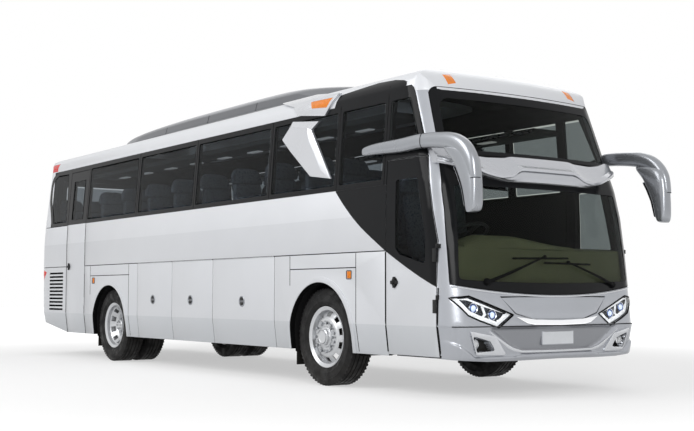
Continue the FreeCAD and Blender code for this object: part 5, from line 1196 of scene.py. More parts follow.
class Finishes:
    """Every finish on the coach, as built materials by name."""

    def __init__(self) -> None:
        """Builds the materials."""
        finishes = (
            # coach_white: its middle and low colours are painted shade, darker on the walls below the belt
            # and on the skirts below the crease, where the panels tuck in
            ShadeBandedPaint(
                "coach_white", "body_white", tint(221, 223, 227), 0.4, metallic=0.15, coat=0.2,
                coat_roughness=0.1, drift=0.012, middle=tint(213, 215, 219), low=tint(202, 205, 209)
            ),
            CoachPaint(
                "face_shadow", "body_silver", tint(142, 144, 149), 0.32, metallic=0.6, coat=0.3, flake=0.05,
                drift=0.02
            ),
            CoachPaint(
                "mirror_silver", "body_silver", tint(150, 153, 158), 0.28, metallic=0.7, coat=0.4, flake=0.04,
                drift=0.02
            ),
            Finish(
                "lining_dark", "dark_trim", tint(44, 46, 46), 0.75, specular=0.2, drift=0.1, drift_scale=4.0,
                grain=0.0003, grain_scale=260.0
            ),
            CoachPaint(
                "face_silver", "body_silver", tint(172, 175, 181), 0.3, metallic=0.6, coat=0.4, flake=0.05,
                drift=0.02, dust=0.1, dust_top=0.6
            ),
            CoachPaint(
                "visor_silver", "body_silver", tint(182, 184, 189), 0.26, metallic=0.7, coat=0.5, flake=0.04,
                drift=0.015
            ),
            CoachPaint(
                "bright_silver", "body_silver", tint(206, 208, 212), 0.24, metallic=0.7, coat=0.5, flake=0.04,
                drift=0.015
            ),
            CoachPaint(
                "pod_silver", "body_silver", tint(200, 202, 206), 0.36, metallic=0.4, coat=0.3, drift=0.02
            ),
            # painted shade on the roof unit's sides: dark at their foot and lighter towards the top
            ShadeBandedPaint(
                "pod_side", "body_silver", tint(196, 198, 202), 0.36, metallic=0.4, coat=0.3, drift=0.02,
                middle=tint(112, 114, 118), low=tint(84, 86, 90), belt=3.262, crease=3.12, blend=0.05
            ),
            CoachPaint(
                "pod_grey", "body_silver", tint(96, 98, 102), 0.38, metallic=0.5, coat=0.3, drift=0.03
            ),
            Finish(
                "chrome", "lamp_glass", tint(245, 246, 248), 0.08, metallic=1.0, drift=0.01, drift_scale=8.0
            ),
            Finish("gloss_black", "dark_trim", tint(24, 25, 27), 0.12, specular=0.12, drift=0.06, dust=0.05),
            Finish(
                "satin_black", "dark_trim", tint(26, 27, 28), 0.45, specular=0.2, drift=0.1, grain=0.0002,
                grain_scale=400.0, dust=0.1
            ),
            Finish(
                "seam_black", "dark_trim", tint(10, 10, 11), 0.7, specular=0.1, drift=0.15, drift_scale=20.0
            ),
            TyreRubber(
                "tyre_rubber", "rubber", tint(26, 26, 27), 0.65, specular=0.25, drift=0.16, drift_scale=12.0,
                dust=0.06, dust_top=1.2
            ),
            Finish(
                "flap_rubber", "dark_trim", tint(16, 16, 17), 0.75, specular=0.15, drift=0.15,
                drift_scale=10.0, dust=0.1, dust_top=0.6, grain=0.0006, grain_scale=120.0
            ),
            Finish(
                "wheel_silver", "wheel_steel", tint(206, 208, 211), 0.32, metallic=0.55, coat=0.3, drift=0.05,
                drift_scale=9.0, dust=0.16, dust_top=1.4
            ),
            Finish(
                "nut_steel", "cast_steel", tint(170, 172, 175), 0.3, metallic=1.0, drift=0.1, drift_scale=30.0
            ),
            Finish(
                "chassis_black", "chassis_paint", tint(38, 39, 41), 0.55, metallic=0.2, drift=0.2,
                drift_scale=7.0, dust=0.4, dust_top=1.5, grain=0.0005, grain_scale=90.0
            ),
            Finish(
                "cast_iron", "cast_steel", tint(72, 71, 69), 0.62, metallic=0.6, drift=0.25, drift_scale=18.0,
                dust=0.4, grain=0.0009, grain_scale=110.0
            ),
            Finish(
                "floor_vinyl", "floor_cover", tint(74, 76, 80), 0.6, drift=0.08, drift_scale=6.0,
                grain=0.0002, grain_scale=500.0
            ),
            Finish(
                "bay_lining", "floor_cover", tint(120, 122, 124), 0.55, drift=0.1, drift_scale=5.0,
                grain=0.0003, grain_scale=200.0
            ),
            Finish(
                "cabin_trim", "dash_plastic", tint(70, 72, 72), 0.7, specular=0.2, drift=0.05,
                drift_scale=4.0, grain=0.0003, grain_scale=320.0
            ),
            Finish(
                "dash_khaki", "dash_plastic", tint(150, 148, 120), 0.6, specular=0.25, drift=0.07,
                drift_scale=5.0, grain=0.0004, grain_scale=280.0
            ),
            Finish(
                "dash_black", "dash_plastic", tint(30, 31, 33), 0.5, drift=0.08, grain=0.0003,
                grain_scale=350.0
            ),
            WovenCloth(
                "seat_cloth", "seat_fabric", tint(124, 130, 138), 0.85, drift=0.06, drift_scale=6.0,
                speckle=tint(88, 93, 108)
            ),
            Finish(
                "seat_leather", "dash_plastic", tint(58, 60, 64), 0.45, drift=0.06, drift_scale=9.0,
                grain=0.0005, grain_scale=240.0
            ),
            Finish(
                "seat_frame", "seat_fabric", tint(46, 47, 50), 0.45, metallic=0.4, drift=0.1, drift_scale=10.0
            ),
            Finish(
                "tinted_pane", "tinted_glass", tint(150, 156, 160), 0.01, transmission=1.0, specular=0.12,
                drift=0.01, refraction=1.12
            ),
            Finish(
                "screen_pane", "clear_glass", tint(160, 166, 161), 0.005, transmission=1.0, specular=0.12,
                drift=0.01, refraction=1.12
            ),
            Finish(
                "lamp_cover", "clear_glass", tint(240, 242, 244), 0.01, transmission=1.0, specular=0.25,
                drift=0.01, refraction=1.2
            ),
            Finish(
                "lamp_bowl", "lamp_glass", tint(66, 69, 74), 0.28, metallic=0.8, drift=0.1, drift_scale=30.0
            ),
            Finish("lamp_strip", "lamp_glass", tint(250, 250, 250), 0.25, coat=0.5, glow=0.35, drift=0.02),
            Finish(
                "projector_glass", "lamp_glass", tint(225, 236, 250), 0.02, coat=1.0, glow=0.55, drift=0.03,
                drift_scale=40.0
            ),
            Finish(
                "projector_ring", "lamp_glass", tint(70, 105, 175), 0.2, metallic=0.8, coat=0.6, drift=0.05,
                drift_scale=40.0
            ),
            RibbedLens(
                "amber_glass", "amber_lens", tint(232, 128, 10), 0.2, specular=0.3, coat=0.2, glow=0.12,
                drift=0.08, drift_scale=35.0
            ),
            RibbedLens(
                "red_glass", "red_lens", tint(206, 14, 12), 0.2, specular=0.3, coat=0.2, glow=0.15,
                drift=0.08, drift_scale=35.0
            ),
            RibbedLens(
                "white_glass", "lamp_glass", tint(232, 234, 236), 0.2, coat=0.9, drift=0.04, drift_scale=35.0
            ),
            Finish(
                "plate_white", "body_white", tint(228, 231, 235), 0.4, coat=0.2, drift=0.02, drift_scale=12.0,
                grain=0.0001, grain_scale=600.0
            ),
            Finish("mirror_glass", "clear_glass", tint(225, 228, 232), 0.02, metallic=1.0, drift=0.01)
        )
        self.built = {finish.name: finish.make() for finish in finishes}
        self.slots = {finish.name: finish.slot for finish in finishes}

    def __getitem__(self, name: str) -> Material:
        """One built material."""
        return self.built[name]


FINISH = Finishes()


class Instance(Enum):
    """What a ring or a row repeats."""

    BLOCK = "block"
    NUT = "nut"


class NodeRecipe:
    """A Geometry Nodes tree with named inputs, run once and turned into a plain shape."""

    def __init__(self, name: str, inputs: dict[str, float | int | Place]) -> None:
        """Starts the tree.

        Args:
            name: The tree's name.
            inputs: Each named input and its value.
        """
        self.tree = bpy.data.node_groups.new(name, "GeometryNodeTree")
        self.values = inputs
        self.sockets = {}
        face = self.tree.interface
        face.new_socket("Geometry", in_out="INPUT", socket_type="NodeSocketGeometry")
        face.new_socket("Geometry", in_out="OUTPUT", socket_type="NodeSocketGeometry")
        for label, value in inputs.items():
            kind = {int: "NodeSocketInt", float: "NodeSocketFloat"}.get(type(value), "NodeSocketVector")
            self.sockets[label] = face.new_socket(label, in_out="INPUT", socket_type=kind)
        self.given = self.tree.nodes.new("NodeGroupInput")
        self.result = self.tree.nodes.new("NodeGroupOutput")

    def node(self, kind: str, **links: object) -> bpy.types.Node:
        """A node with its inputs linked or set, underscores in their names standing for spaces.

        Args:
            kind: The node's type.
            links: Its inputs by name.

        Returns:
            The node.
        """
        node = self.tree.nodes.new(kind)
        for label, value in links.items():
            socket = node.inputs[label.replace("_", " ")]
            if isinstance(value, Socket):
                linked(self.tree, value, socket)
            else:
                socket.default_value = value
        return node

    def input(self, label: str) -> Socket:
        """A named input's socket inside the tree."""
        return self.given.outputs[label]

    def made(self, geometry: Socket, finish: str, carrier: Shape | None = None) -> Shape:
        """Ends the tree, evaluates it and gives the result.

        Args:
            geometry: What the tree has made.
            finish: The name of the finish that it sets.
            carrier: The mesh that the tree starts from, or None for nothing.

        Returns:
            The result as a plain shape.
        """
        real = self.node("GeometryNodeRealizeInstances", Geometry=geometry)
        dressed = self.node("GeometryNodeSetMaterial", Geometry=real.outputs[0])
        dressed.inputs["Material"].default_value = FINISH[finish]
        linked(self.tree, dressed.outputs[0], self.result.inputs[0])
        mesh = bpy.data.meshes.new("carrier")
        if carrier is not None:
            carrier.to_mesh(mesh)
            carrier.free()
        thing = bpy.data.objects.new("carrier", mesh)
        bpy.context.scene.collection.objects.link(thing)
        modifier = thing.modifiers.new("recipe", "NODES")
        modifier.node_group = self.tree
        for label, value in self.values.items():
            modifier[self.sockets[label].identifier] = value
        view = bpy.context.evaluated_depsgraph_get()
        result = bpy.data.meshes.new_from_object(thing.evaluated_get(view))
        shape = bmesh.new()
        shape.from_mesh(result)
        bpy.data.objects.remove(thing)
        bpy.data.meshes.remove(mesh)
        bpy.data.meshes.remove(result)
        return shape


def copied_shape(recipe: NodeRecipe, kind: Instance) -> Socket:
    """The geometry that a recipe repeats, sized by its input Size.

    Args:
        recipe: The recipe that it goes in.
        kind: What is repeated.

    Returns:
        The geometry's socket.
    """
    if kind is Instance.BLOCK:
        return recipe.node("GeometryNodeMeshCube", Size=recipe.input("Size")).outputs["Mesh"]
    split = recipe.node("ShaderNodeSeparateXYZ", Vector=recipe.input("Size"))
    nut = recipe.node("GeometryNodeMeshCone", Vertices=6, Depth=split.outputs["Z"])
    linked(recipe.tree, split.outputs["X"], nut.inputs["Radius Bottom"])
    linked(recipe.tree, split.outputs["Y"], nut.inputs["Radius Top"])
    return nut.outputs["Mesh"]


def ring_of(
    kind: Instance, count: int, radius: float, size: Place, place: Place, turn: Place, finish: str,
    lean: float = 0.0, start: float = 0.0
) -> Shape:
    """Copies of a block or a nut set around a circle.

    Args:
        kind: What is repeated.
        count: How many copies there are.
        radius: The circle's radius.
        size: A block's size, or a nut's two radii and its height.
        place: The circle's centre.
        turn: The angles that turn the ring from facing up.
        finish: The name of the copies' finish.
        lean: The angle that each copy is turned about its own ray from the centre.
        start: The angle of the first copy.

    Returns:
        The copies as one shape.
    """
    recipe = NodeRecipe(
        "ring",
        {
            "Count": count, "Radius": radius, "Size": size, "Place": place, "Turn": turn, "Lean": lean,
            "Start": start
        }
    )
    circle = recipe.node(
        "GeometryNodeMeshCircle", Vertices=recipe.input("Count"), Radius=recipe.input("Radius")
    )
    index = recipe.node("GeometryNodeInputIndex")
    turns = recipe.node("ShaderNodeMath")
    turns.operation = "DIVIDE"
    linked(recipe.tree, index.outputs[0], turns.inputs[0])
    linked(recipe.tree, recipe.input("Count"), turns.inputs[1])
    angle = mathed(recipe.tree, "MULTIPLY", turns.outputs[0], 2 * math.pi)
    euler = recipe.node("ShaderNodeCombineXYZ", X=recipe.input("Lean"), Z=angle)
    copies = recipe.node(
        "GeometryNodeInstanceOnPoints", Points=circle.outputs["Mesh"], Instance=copied_shape(recipe, kind),
        Rotation=euler.outputs[0]
    )
    spin = recipe.node("ShaderNodeCombineXYZ", Z=recipe.input("Start"))
    spun = recipe.node("GeometryNodeTransform", Geometry=copies.outputs[0], Rotation=spin.outputs[0])
    placed = recipe.node(
        "GeometryNodeTransform", Geometry=spun.outputs[0], Translation=recipe.input("Place"),
        Rotation=recipe.input("Turn")
    )
    return recipe.made(placed.outputs[0], finish)


def row_of(
    kind: Instance, count: int, first: Place, step: Place, size: Place, tilt: Place, finish: str
) -> Shape:
    """Copies of a block or a nut in a straight row.

    Args:
        kind: What is repeated.
        count: How many copies there are.
        first: The place of the first copy.
        step: The way from one copy to the next.
        size: A block's size, or a nut's two radii and its height.
        tilt: The angles that each copy is turned by.
        finish: The name of the copies' finish.

    Returns:
        The copies as one shape.
    """
    recipe = NodeRecipe("row", {"Count": count, "First": first, "Step": step, "Size": size, "Tilt": tilt})
    line = recipe.node(
        "GeometryNodeMeshLine", Count=recipe.input("Count"), Start_Location=recipe.input("First"),
        Offset=recipe.input("Step")
    )
    copies = recipe.node(
        "GeometryNodeInstanceOnPoints", Points=line.outputs["Mesh"], Instance=copied_shape(recipe, kind),
        Rotation=recipe.input("Tilt")
    )
    return recipe.made(copies.outputs[0], finish)


def cord_along(
    path: Sequence[Place], radius: float, closed: bool = False, sides: int = 6, finish: str = "seam_black"
) -> Shape:
    """A round bead that follows a path.

    Args:
        path: The places of its middle line.
        radius: The bead's radius.
        closed: Whether it runs round to its start.
        sides: How many sides its section has.
        finish: The name of its finish.

    Returns:
        The bead.
    """
    recipe = NodeRecipe("bead", {"Radius": radius, "Sides": sides})
    carrier = bmesh.new()
    spots = [carrier.verts.new(place) for place in path]
    for first, last in zip(spots, spots[1:] + (spots[:1] if closed else [])):
        carrier.edges.new((first, last))
    curve = recipe.node("GeometryNodeMeshToCurve", Mesh=recipe.input("Geometry"))
    section = recipe.node(
        "GeometryNodeCurvePrimitiveCircle", Resolution=recipe.input("Sides"), Radius=recipe.input("Radius")
    )
    bead = recipe.node("GeometryNodeCurveToMesh", Curve=curve.outputs[0], Profile_Curve=section.outputs[0])
    bead.inputs["Fill Caps"].default_value = True
    return recipe.made(bead.outputs[0], finish, carrier)


def seam_path(outline: Sequence[Point], surface: Surface, spacing: float = 0.05, closed: bool = True) -> list[
    Place
]:
    """Places along an outline on a surface, close enough together to follow it.

    Args:
        outline: The points in the surface's own coordinates.
        surface: The surface to follow.
        spacing: The widest gap between places.
        closed: Whether it runs round to its start.

    Returns:
        The places.
    """
    ends = [*outline[1:], outline[0]] if closed else outline[1:]
    places = []
    for (u, v), (next_u, next_v) in zip(outline, ends):
        count = max(1, round(math.hypot(next_u - u, next_v - v) / spacing))
        places += [surface(mixed(u, next_u, n / count), mixed(v, next_v, n / count)) for n in range(count)]
    if not closed:
        places.append(surface(*outline[-1]))
    return places


def islands(shape: Shape) -> list[list[bmesh.types.BMVert]]:
    """The loose parts of a shape, each as its own points.

    Args:
        shape: The shape.

    Returns:
        The points of each part.
    """
    parts, seen = [], set()
    for start in shape.verts:
        if start in seen:
            continue
        seen.add(start)
        part, waiting = [], [start]
        while waiting:
            vert = waiting.pop()
            part.append(vert)
            for edge in vert.link_edges:
                other = edge.other_vert(vert)
                if other not in seen:
                    seen.add(other)
                    waiting.append(other)
        parts.append(part)
    return parts


def dressed_copy(
    node: str, name: str, finish: str, body: str = "coach", bevel: float = 0.003, angle: float = SMOOTH_ANGLE,
    part: Callable[[Vector], bool] | None = None
) -> Thing:
    """Stands a finished copy of a CAD node in its place, with joined faces and softened edges.

    Args:
        node: The CAD node.
        name: The new piece's name.
        finish: The name of its finish.
        body: The body that it rides on.
        bevel: How far each sharp edge is rounded.
        angle: The angle from which an edge is sharp.
        part: Says which of the node's loose parts are taken, by their centre, all of them if it is None.

    Returns:
        The piece.
    """
    shape = bmesh.new()
    shape.from_mesh(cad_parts[node].data)
    bmesh.ops.remove_doubles(shape, verts=shape.verts[:], dist=2e-5)
    if part is not None:
        left = [
            verts for verts in islands(shape) if not part(sum((v.co for v in verts), Vector()) / len(verts))
        ]
        bmesh.ops.delete(shape, geom=[vert for verts in left for vert in verts], context="VERTS")
    bmesh.ops.dissolve_limit(
        shape, angle_limit=math.radians(0.2), verts=shape.verts[:], edges=shape.edges[:], delimit={"NORMAL"}
    )
    finishing = Finishing(bevel=bevel, smooth=angle, outward=False)
    return piece(name, shape, finish, finishing, body, replaces=(node,))


def softened(surface: Surface, reach: float = 0.12) -> Surface:
    """A nose surface whose bends in height are rounded over a reach.

    Args:
        surface: The nose's surface.
        reach: How far above and below a place is averaged.

    Returns:
        The softer surface.
    """
    shares = (-1.0, -0.6, -0.2, 0.2, 0.6, 1.0)

    def place(across: float, height: float) -> Place:
        """The place at an offset from the middle and a height."""
        ahead = sum(surface(across, height + reach * share)[0] for share in shares) / len(shares)
        return (ahead, across, height)

    return place


@dataclass
class Windscreens:
    """Both windscreens: clear panes, printed black borders and rubber seals."""

    sill: float = 0.934
    sill_rise: float = 0.09
    half_sill: float = 1.172
    half_top: float = 1.072
    top: float = 2.831
    lower_top: float = 1.985
    upper_low: float = 2.222
    border: float = 0.055
    wiper_band: float = 0.165
    brow: float = 2.886
    pane: float = 0.006
    mesh: Point = (0.08, 0.06)
    # how far under the sill the bright bar of painted highlight runs
    sill_highlight_drop: float = 0.016
    black_halves: tuple[Point, ...] = (
        (0.93, 1.178), (1.48, 1.178), (1.88, 1.165), (2.2, 1.13), (2.44, 1.1), (2.63, 1.088), (2.9, 1.07)
    )

    def half_at(self, height: float) -> float:
        """Half the opening's width at a height."""
        return mixed(self.half_sill, self.half_top, (height - self.sill) / (self.top - self.sill))

    def black_half(self, height: float) -> float:
        """Half the width of the black surround at a height."""
        return follow(self.black_halves, height)

    def lower_surround(self) -> list[Point]:
        """The black surround of the lower screen, up behind the visor.

        Returns:
            Offsets from the middle and heights.
        """
        half = self.black_halves[0][1]
        bottom = [(across, self.sill_at(across)) for across in spread(-half, half, 24)]
        right = [(self.black_half(height), height) for height in (1.4, 1.65, 1.88, 2.05, 2.223)]
        return [*bottom, *right, *flipped(right)]

    def upper_surround(self) -> list[Point]:
        """The black surround of the upper screen, which runs a little way up the roof.

        Returns:
            Offsets from the middle and heights.
        """
        right = [(self.black_half(height), height) for height in (2.225, 2.44, 2.63, self.brow)]
        radii = (0.002, 0.002, 0.002, 0.1)
        return rounded([*right, *flipped(right)], (*radii, *reversed(radii)), 5)

    def sill_at(self, across: float) -> float:
        """The lower screen's bottom edge at an offset from the middle."""
        return self.sill + self.sill_rise * (across / self.half_sill) ** 2

    def lower_outline(self) -> list[Point]:
        """The lower screen in the front view.

        Returns:
            Offsets from the middle and heights.
        """
        half_low, half_high = self.half_at(1.02), self.half_at(self.lower_top)
        bottom = [(across, self.sill_at(across)) for across in spread(-half_low, half_low, 24)]
        return [*bottom, (half_high, self.lower_top), (-half_high, self.lower_top)]

    def lower_clear(self) -> list[Point]:
        """The see-through part of the lower screen.

        Returns:
            Offsets from the middle and heights.
        """
        half_low, half_high = self.half_at(1.1) - self.border, self.half_at(1.9) - self.border
        wiped = (self.sill + self.wiper_band) * 0.65
        band = [(across, self.sill_at(across) * 0.35 + wiped) for across in spread(-half_low, half_low, 12)]
        return rounded([*band, (half_high, 1.93), (-half_high, 1.93)], 0.05, 4)

    def upper_outline(self) -> list[Point]:
        """The upper screen in the front view.

        Returns:
            Offsets from the middle and heights.
        """
        low, high = self.half_at(self.upper_low), self.half_at(self.top)
        return rounded(
            [(-low, self.upper_low), (low, self.upper_low), (high, self.top), (-high, self.top)], 0.004, 2
        )

    def upper_clear(self) -> list[Point]:
        """The see-through part of the upper screen.

        Returns:
            Offsets from the middle and heights.
        """
        low, high = self.half_at(2.3) - self.border, self.half_at(2.77) - self.border * 1.3
        return rounded(
            [(-low, 2.27), (low, 2.27), (high, 2.775), (-high, 2.775)], (0.03, 0.03, 0.13, 0.13), 7
        )

    def build(self) -> None:
        """Builds the panes, the borders, the seals and the bright bar of painted highlight under the sill."""
        for number, (name, outline, surround, clear) in enumerate(
            (
                ("lower", self.lower_outline(), self.lower_surround(), self.lower_clear()),
                ("upper", self.upper_outline(), self.upper_surround(), self.upper_clear())
            )
        ):
            skin = softened(on_nose(-0.003))
            piece(
                f"{name}_windscreen", net(outline, skin, self.mesh), "screen_pane",
                Finishing(wall=-self.pane), replaces=("windscreens",) if number == 0 else ()
            )
            piece(
                f"{name}_windscreen_border", net(surround, on_nose(0.0014), self.mesh, holes=(clear,)),
                "gloss_black", Finishing(wall=-0.0025)
            )
            seal = seam_path(shrunk(surround, -0.002), on_nose(0.0), 0.03)
            piece(f"{name}_windscreen_seal", cord_along(seal, 0.005, closed=True), "seam_black", BEAD)
        # a bright silver bar under the sill stands for the highlight on the mask's bent edge: painted
        # highlight
        lip = [
            (across, self.sill_at(across) - self.sill_highlight_drop)
            for across in [n * 0.09 - 1.17 for n in range(27)]
        ]
        piece(
            "windscreen_sill_moulding",
            cord_along(seam_path(lip, on_nose(0.001), closed=False), 0.009, sides=8, finish="bright_silver"),
            "bright_silver", BEAD
        )


@dataclass
class Visor:
    """The bowed silver visor between the windscreens, with its folded ridge and raised ends."""

    half: float = 1.176
    steps: int = 96
    top: tuple[Point, ...] = (
        (0.0, 2.232), (0.4, 2.232), (0.45, 2.214), (0.7, 2.206), (0.86, 2.226), (1.0, 2.262), (1.2, 2.29)
    )
    ridge: tuple[Point, ...] = (
        (0.0, 2.112), (0.36, 2.112), (0.48, 2.042), (0.62, 2.026), (0.76, 2.052), (1.06, 2.165), (1.2, 2.2)
    )
    low: tuple[Point, ...] = ((0.0, 1.978), (0.52, 1.976), (0.8, 2.034), (1.1, 2.118), (1.2, 2.14))
    reach: tuple[Point, ...] = ((0.0, 1.0), (0.9, 1.0), (1.1, 0.62), (1.2, 0.35))
    groove_half: float = 1.1
    groove_drop: float = 0.026
    groove_out: float = 0.111

    def section(self, across: float) -> list[Place]:
        """The visor's section at an offset from the middle, from its top round to its foot.

        Args:
            across: The offset from the middle.

        Returns:
            The section's places.
        """
        side = abs(across)
        top, ridge, low = (eased(knots, side, 0.03) for knots in (self.top, self.ridge, self.low))
        share = eased(self.reach, side, 0.08)
        drop = ridge - low
        outline = (
            (top - 0.012, -0.02), (top, 0.02), (top - 0.004, 0.048), (mixed(top, ridge, 0.2), 0.066),
            (mixed(top, ridge, 0.75), 0.092), (ridge + 0.006, 0.128), (ridge - 0.004, 0.132),
            (ridge - 0.022, 0.122), (ridge - 0.03, 0.108), (ridge - 0.3 * drop, 0.112),
            (ridge - 0.72 * drop, 0.104), (low + 0.008, 0.084), (low, 0.07), (low + 0.004, -0.02)
        )
        return [BODY.nose(across, height, out * share) for height, out in outline]

    def build(self) -> None:
        """Builds the visor and the dark groove under its ridge."""
        rings = [self.section(across) for across in spread(-self.half, self.half, self.steps)]
        piece(
            "front_visor_shell", lofted(rings), "visor_silver", Finishing(smooth=math.radians(24)),
            replaces=("front_visor",)
        )
        path = []
        for across in spread(-self.groove_half, self.groove_half, 60):
            height = eased(self.ridge, abs(across), 0.03) - self.groove_drop
            path.append(BODY.nose(across, height, self.groove_out * eased(self.reach, abs(across), 0.08)))
        piece("front_visor_groove", cord_along(path, 0.0035), "seam_black", BEAD)


@dataclass
class Mirrors:
    """The two mirrors on their arms, which run forward from the pillars and bend down."""

    tip: float = CAD_HIGH.x - 0.004
    outer: float = CAD_HIGH.y - 0.004
    arm: tuple[tuple[float, ...], ...] = (
        # station, height, half width, half height
        (6.05, 2.322, 0.008, 0.018),
        (6.10, 2.324, 0.03, 0.043),
        (6.30, 2.33, 0.042, 0.056),
        (6.67, 2.326, 0.046, 0.066),
        (6.95, 2.335, 0.048, 0.068),
        (7.20, 2.318, 0.05, 0.072),
        (7.40, 2.285, 0.052, 0.078),
        (7.54, 2.215, 0.054, 0.078),
        (7.63, 2.11, 0.054, 0.07),
        (7.665, 1.98, 0.05, 0.058),
        (7.672, 1.93, 0.045, 0.05),
    )
    head: tuple[tuple[float, ...], ...] = (
        # height, back station, front station, inner offset share
        (2.235, 7.31, 7.40, 0.55),
        (2.19, 7.335, 7.62, 0.85),
        (2.10, 7.42, 7.69, 1.0),
        (1.98, 7.49, 7.712, 1.0),
        (1.86, 7.545, 7.718, 1.0),
        (1.74, 7.575, 7.716, 1.0),
        (1.68, 7.59, 7.706, 0.96),
        (1.655, 7.605, 7.69, 0.86),
        (1.645, 7.625, 7.67, 0.6),
    )
    head_width: float = 0.135
    arm_inset: float = 0.052
    right_joints: Point = (0.42, 0.995)
    left_joints: Point = (0.08, 0.995)
    glass_low: float = 1.7
    glass_high: float = 2.06
    glass_margin: float = 0.02

    def arm_path(self, sign: int) -> tuple[list[Place], list[Point]]:
        """The middle line of an arm and its half sizes, the left one starting nearer the front.

        Args:
            sign: 1 for the left side, -1 for the right.

        Returns:
            The places and the half sizes.
        """
        rows = spline(self.arm, 6)
        start = 0 if sign < 0 else 6 * 3
        path, radii = [], []
        for number, (along, height, wide, high) in enumerate(rows[start:]):
            grown = min(1.0, (number + 1) / 6) if sign > 0 else 1.0
            path.append((station(along), sign * (self.outer - self.arm_inset), height))
            radii.append((wide * grown, high * grown))
        return path, radii

    def head_rings(self, sign: int) -> list[list[Place]]:
        """The head's level rings, from its top down.

        Args:
            sign: 1 for the left side, -1 for the right.

        Returns:
            The rings.
        """
        rings = []
        for height, back, front, share in spline(self.head, 4):
            low, high = station(back), min(station(front), self.tip)
            middle = (low + high) / 2
            half_y = self.head_width / 2 * share
            centre = sign * (self.outer - half_y)
            ring = []
            for number in range(28):
                angle = 2 * math.pi * number / 28
                c, s = math.cos(angle), math.sin(angle)
                u = powered(c, 0.6) * (high - low) / 2
                v = powered(s, 0.6) * half_y
                ring.append((middle + u, centre + v, height))
            rings.append(ring)
        return rings

    def build(self) -> None:
        """Builds both arms and heads, their joints and the glass that faces back."""
        for name, sign in SIDES:
            path, radii = self.arm_path(sign)
            piece(
                f"{name}_mirror_arm", tube(path, radii, sides=24, power=2.6), "mirror_silver",
                replaces=("mirrors",) if sign < 0 else ()
            )
            piece(
                f"{name}_mirror_head", lofted(self.head_rings(sign)), "mirror_silver",
                Finishing(smooth=math.radians(50))
            )
            self.build_seams(name, sign, path, radii)
            self.build_glass(name, sign)

    def build_seams(self, name: str, sign: int, path: list[Place], radii: list[Point]) -> None:
        """The dark joints round an arm, where its covers meet.

        Args:
            name: The side's name.
            sign: 1 for the left side, -1 for the right.
            path: The arm's middle line.
            radii: The arm's half sizes.
        """
        joints = []
        for spot in self.right_joints if sign < 0 else self.left_joints:
            number = min(int(spot * len(path)), len(path) - 2)
            ahead = (Vector(path[number + 1]) - Vector(path[number])).normalized()
            across = ahead.cross(Vector((0, 0, 1))).normalized()
            rise = across.cross(ahead)
            wide, high = radii[number]
            ring = []
            for step in range(24):
                c, s = math.cos(step * math.pi / 12), math.sin(step * math.pi / 12)
                u = powered(c, 0.77) * (wide + 0.0005)
                v = powered(s, 0.77) * (high + 0.0005)
                ring.append(tuple(Vector(path[number]) + across * u + rise * v))
            joints.append(cord_along(ring, 0.0035, closed=True))
        piece(f"{name}_mirror_joints", merged(*joints), "seam_black", BEAD)

    def build_glass(self, name: str, sign: int) -> None:
        """The mirror glass in a dark rim on the head's back.

        Args:
            name: The side's name.
            sign: 1 for the left side, -1 for the right.
        """
        inner, outer = self.outer - self.head_width + self.glass_margin, self.outer - self.glass_margin
        outline = sided(sign, rounded(rectangle(inner, self.glass_low, outer, self.glass_high), 0.02))
        knots = [row[:2] for row in reversed(self.head)]

        def back(across: float, height: float) -> Place:
            """The place on the head's back at an offset and a height."""
            return (station(eased(knots, height, 0.01)) - 0.003, across, height)

        piece(
            f"{name}_mirror_rim", net(shrunk(outline, -0.006), back, (0, 0.03)), "satin_black",
            Finishing(wall=0.012)
        )
        piece(
            f"{name}_mirror_glass", net(outline, lambda y, z: (back(y, z)[0] - 0.008, y, z), (0, 0.03)),
            "mirror_glass", Finishing(wall=0.002)
        )


@dataclass
class Wipers:
    """Two wipers whose feet stand outside and whose blades meet near the middle."""

    out: float = 0.022
    rows: tuple[tuple[Point, Point, Point, Point], ...] = (
        # foot, joint, and the blade's two ends, as offset from the middle and height
        ((-0.83, 1.05), (-0.15, 1.289), (-0.54, 1.266), (0.164, 1.278)),
        ((0.824, 1.029), (0.157, 1.241), (-0.161, 1.229), (0.479, 1.224)),
    )

    def build(self) -> None:
        """Builds the arms, blades and feet as one piece."""
        shapes = []
        for foot, joint, start, end in self.rows:
            line = zip(spread(foot[0], joint[0], 12), spread(foot[1], joint[1], 12))
            rise = [self.out + 0.014 * math.sin(math.pi * n / 12) for n in range(13)]
            path = [BODY.nose(y, z, out) for (y, z), out in zip(line, rise)]
            radii = list(zip(spread(0.016, 0.008, 12), spread(0.012, 0.006, 12)))
            shapes.append(tube(path, radii, (1, 0, 0), 10))
            blade = list(zip(spread(start[0], end[0], 14), spread(start[1], end[1], 14)))
            for depth, wide, high in ((self.out - 0.006, 0.0045, 0.013), (self.out + 0.004, 0.009, 0.004)):
                path = [BODY.nose(y, z, depth) for y, z in blade]
                ends = [min(1.0, 0.35 + 1.3 * math.sin(math.pi * n / 14)) for n in range(15)]
                shapes.append(tube(path, [(wide, high * share) for share in ends], (1, 0, 0), 8))
            seat = Vector(BODY.nose(*foot))
            normal = (Vector(BODY.nose(foot[0], foot[1], 0.01)) - seat).normalized()
            profile = [
                (0.0, -0.004), (0.034, -0.004), (0.034, 0.012), (0.026, 0.03), (0.018, 0.036), (0.0, 0.037)
            ]
            shapes.append(turned(profile, seat, normal, 20))
            spot = Vector(BODY.nose(*joint, self.out + 0.006))
            pivot = [(0.0, -0.012), (0.014, -0.012), (0.014, 0.01), (0.0, 0.012)]
            shapes.append(turned(pivot, spot, normal, 14))
        piece("windscreen_wipers", merged(*shapes), "seam_black", replaces=("wipers",))


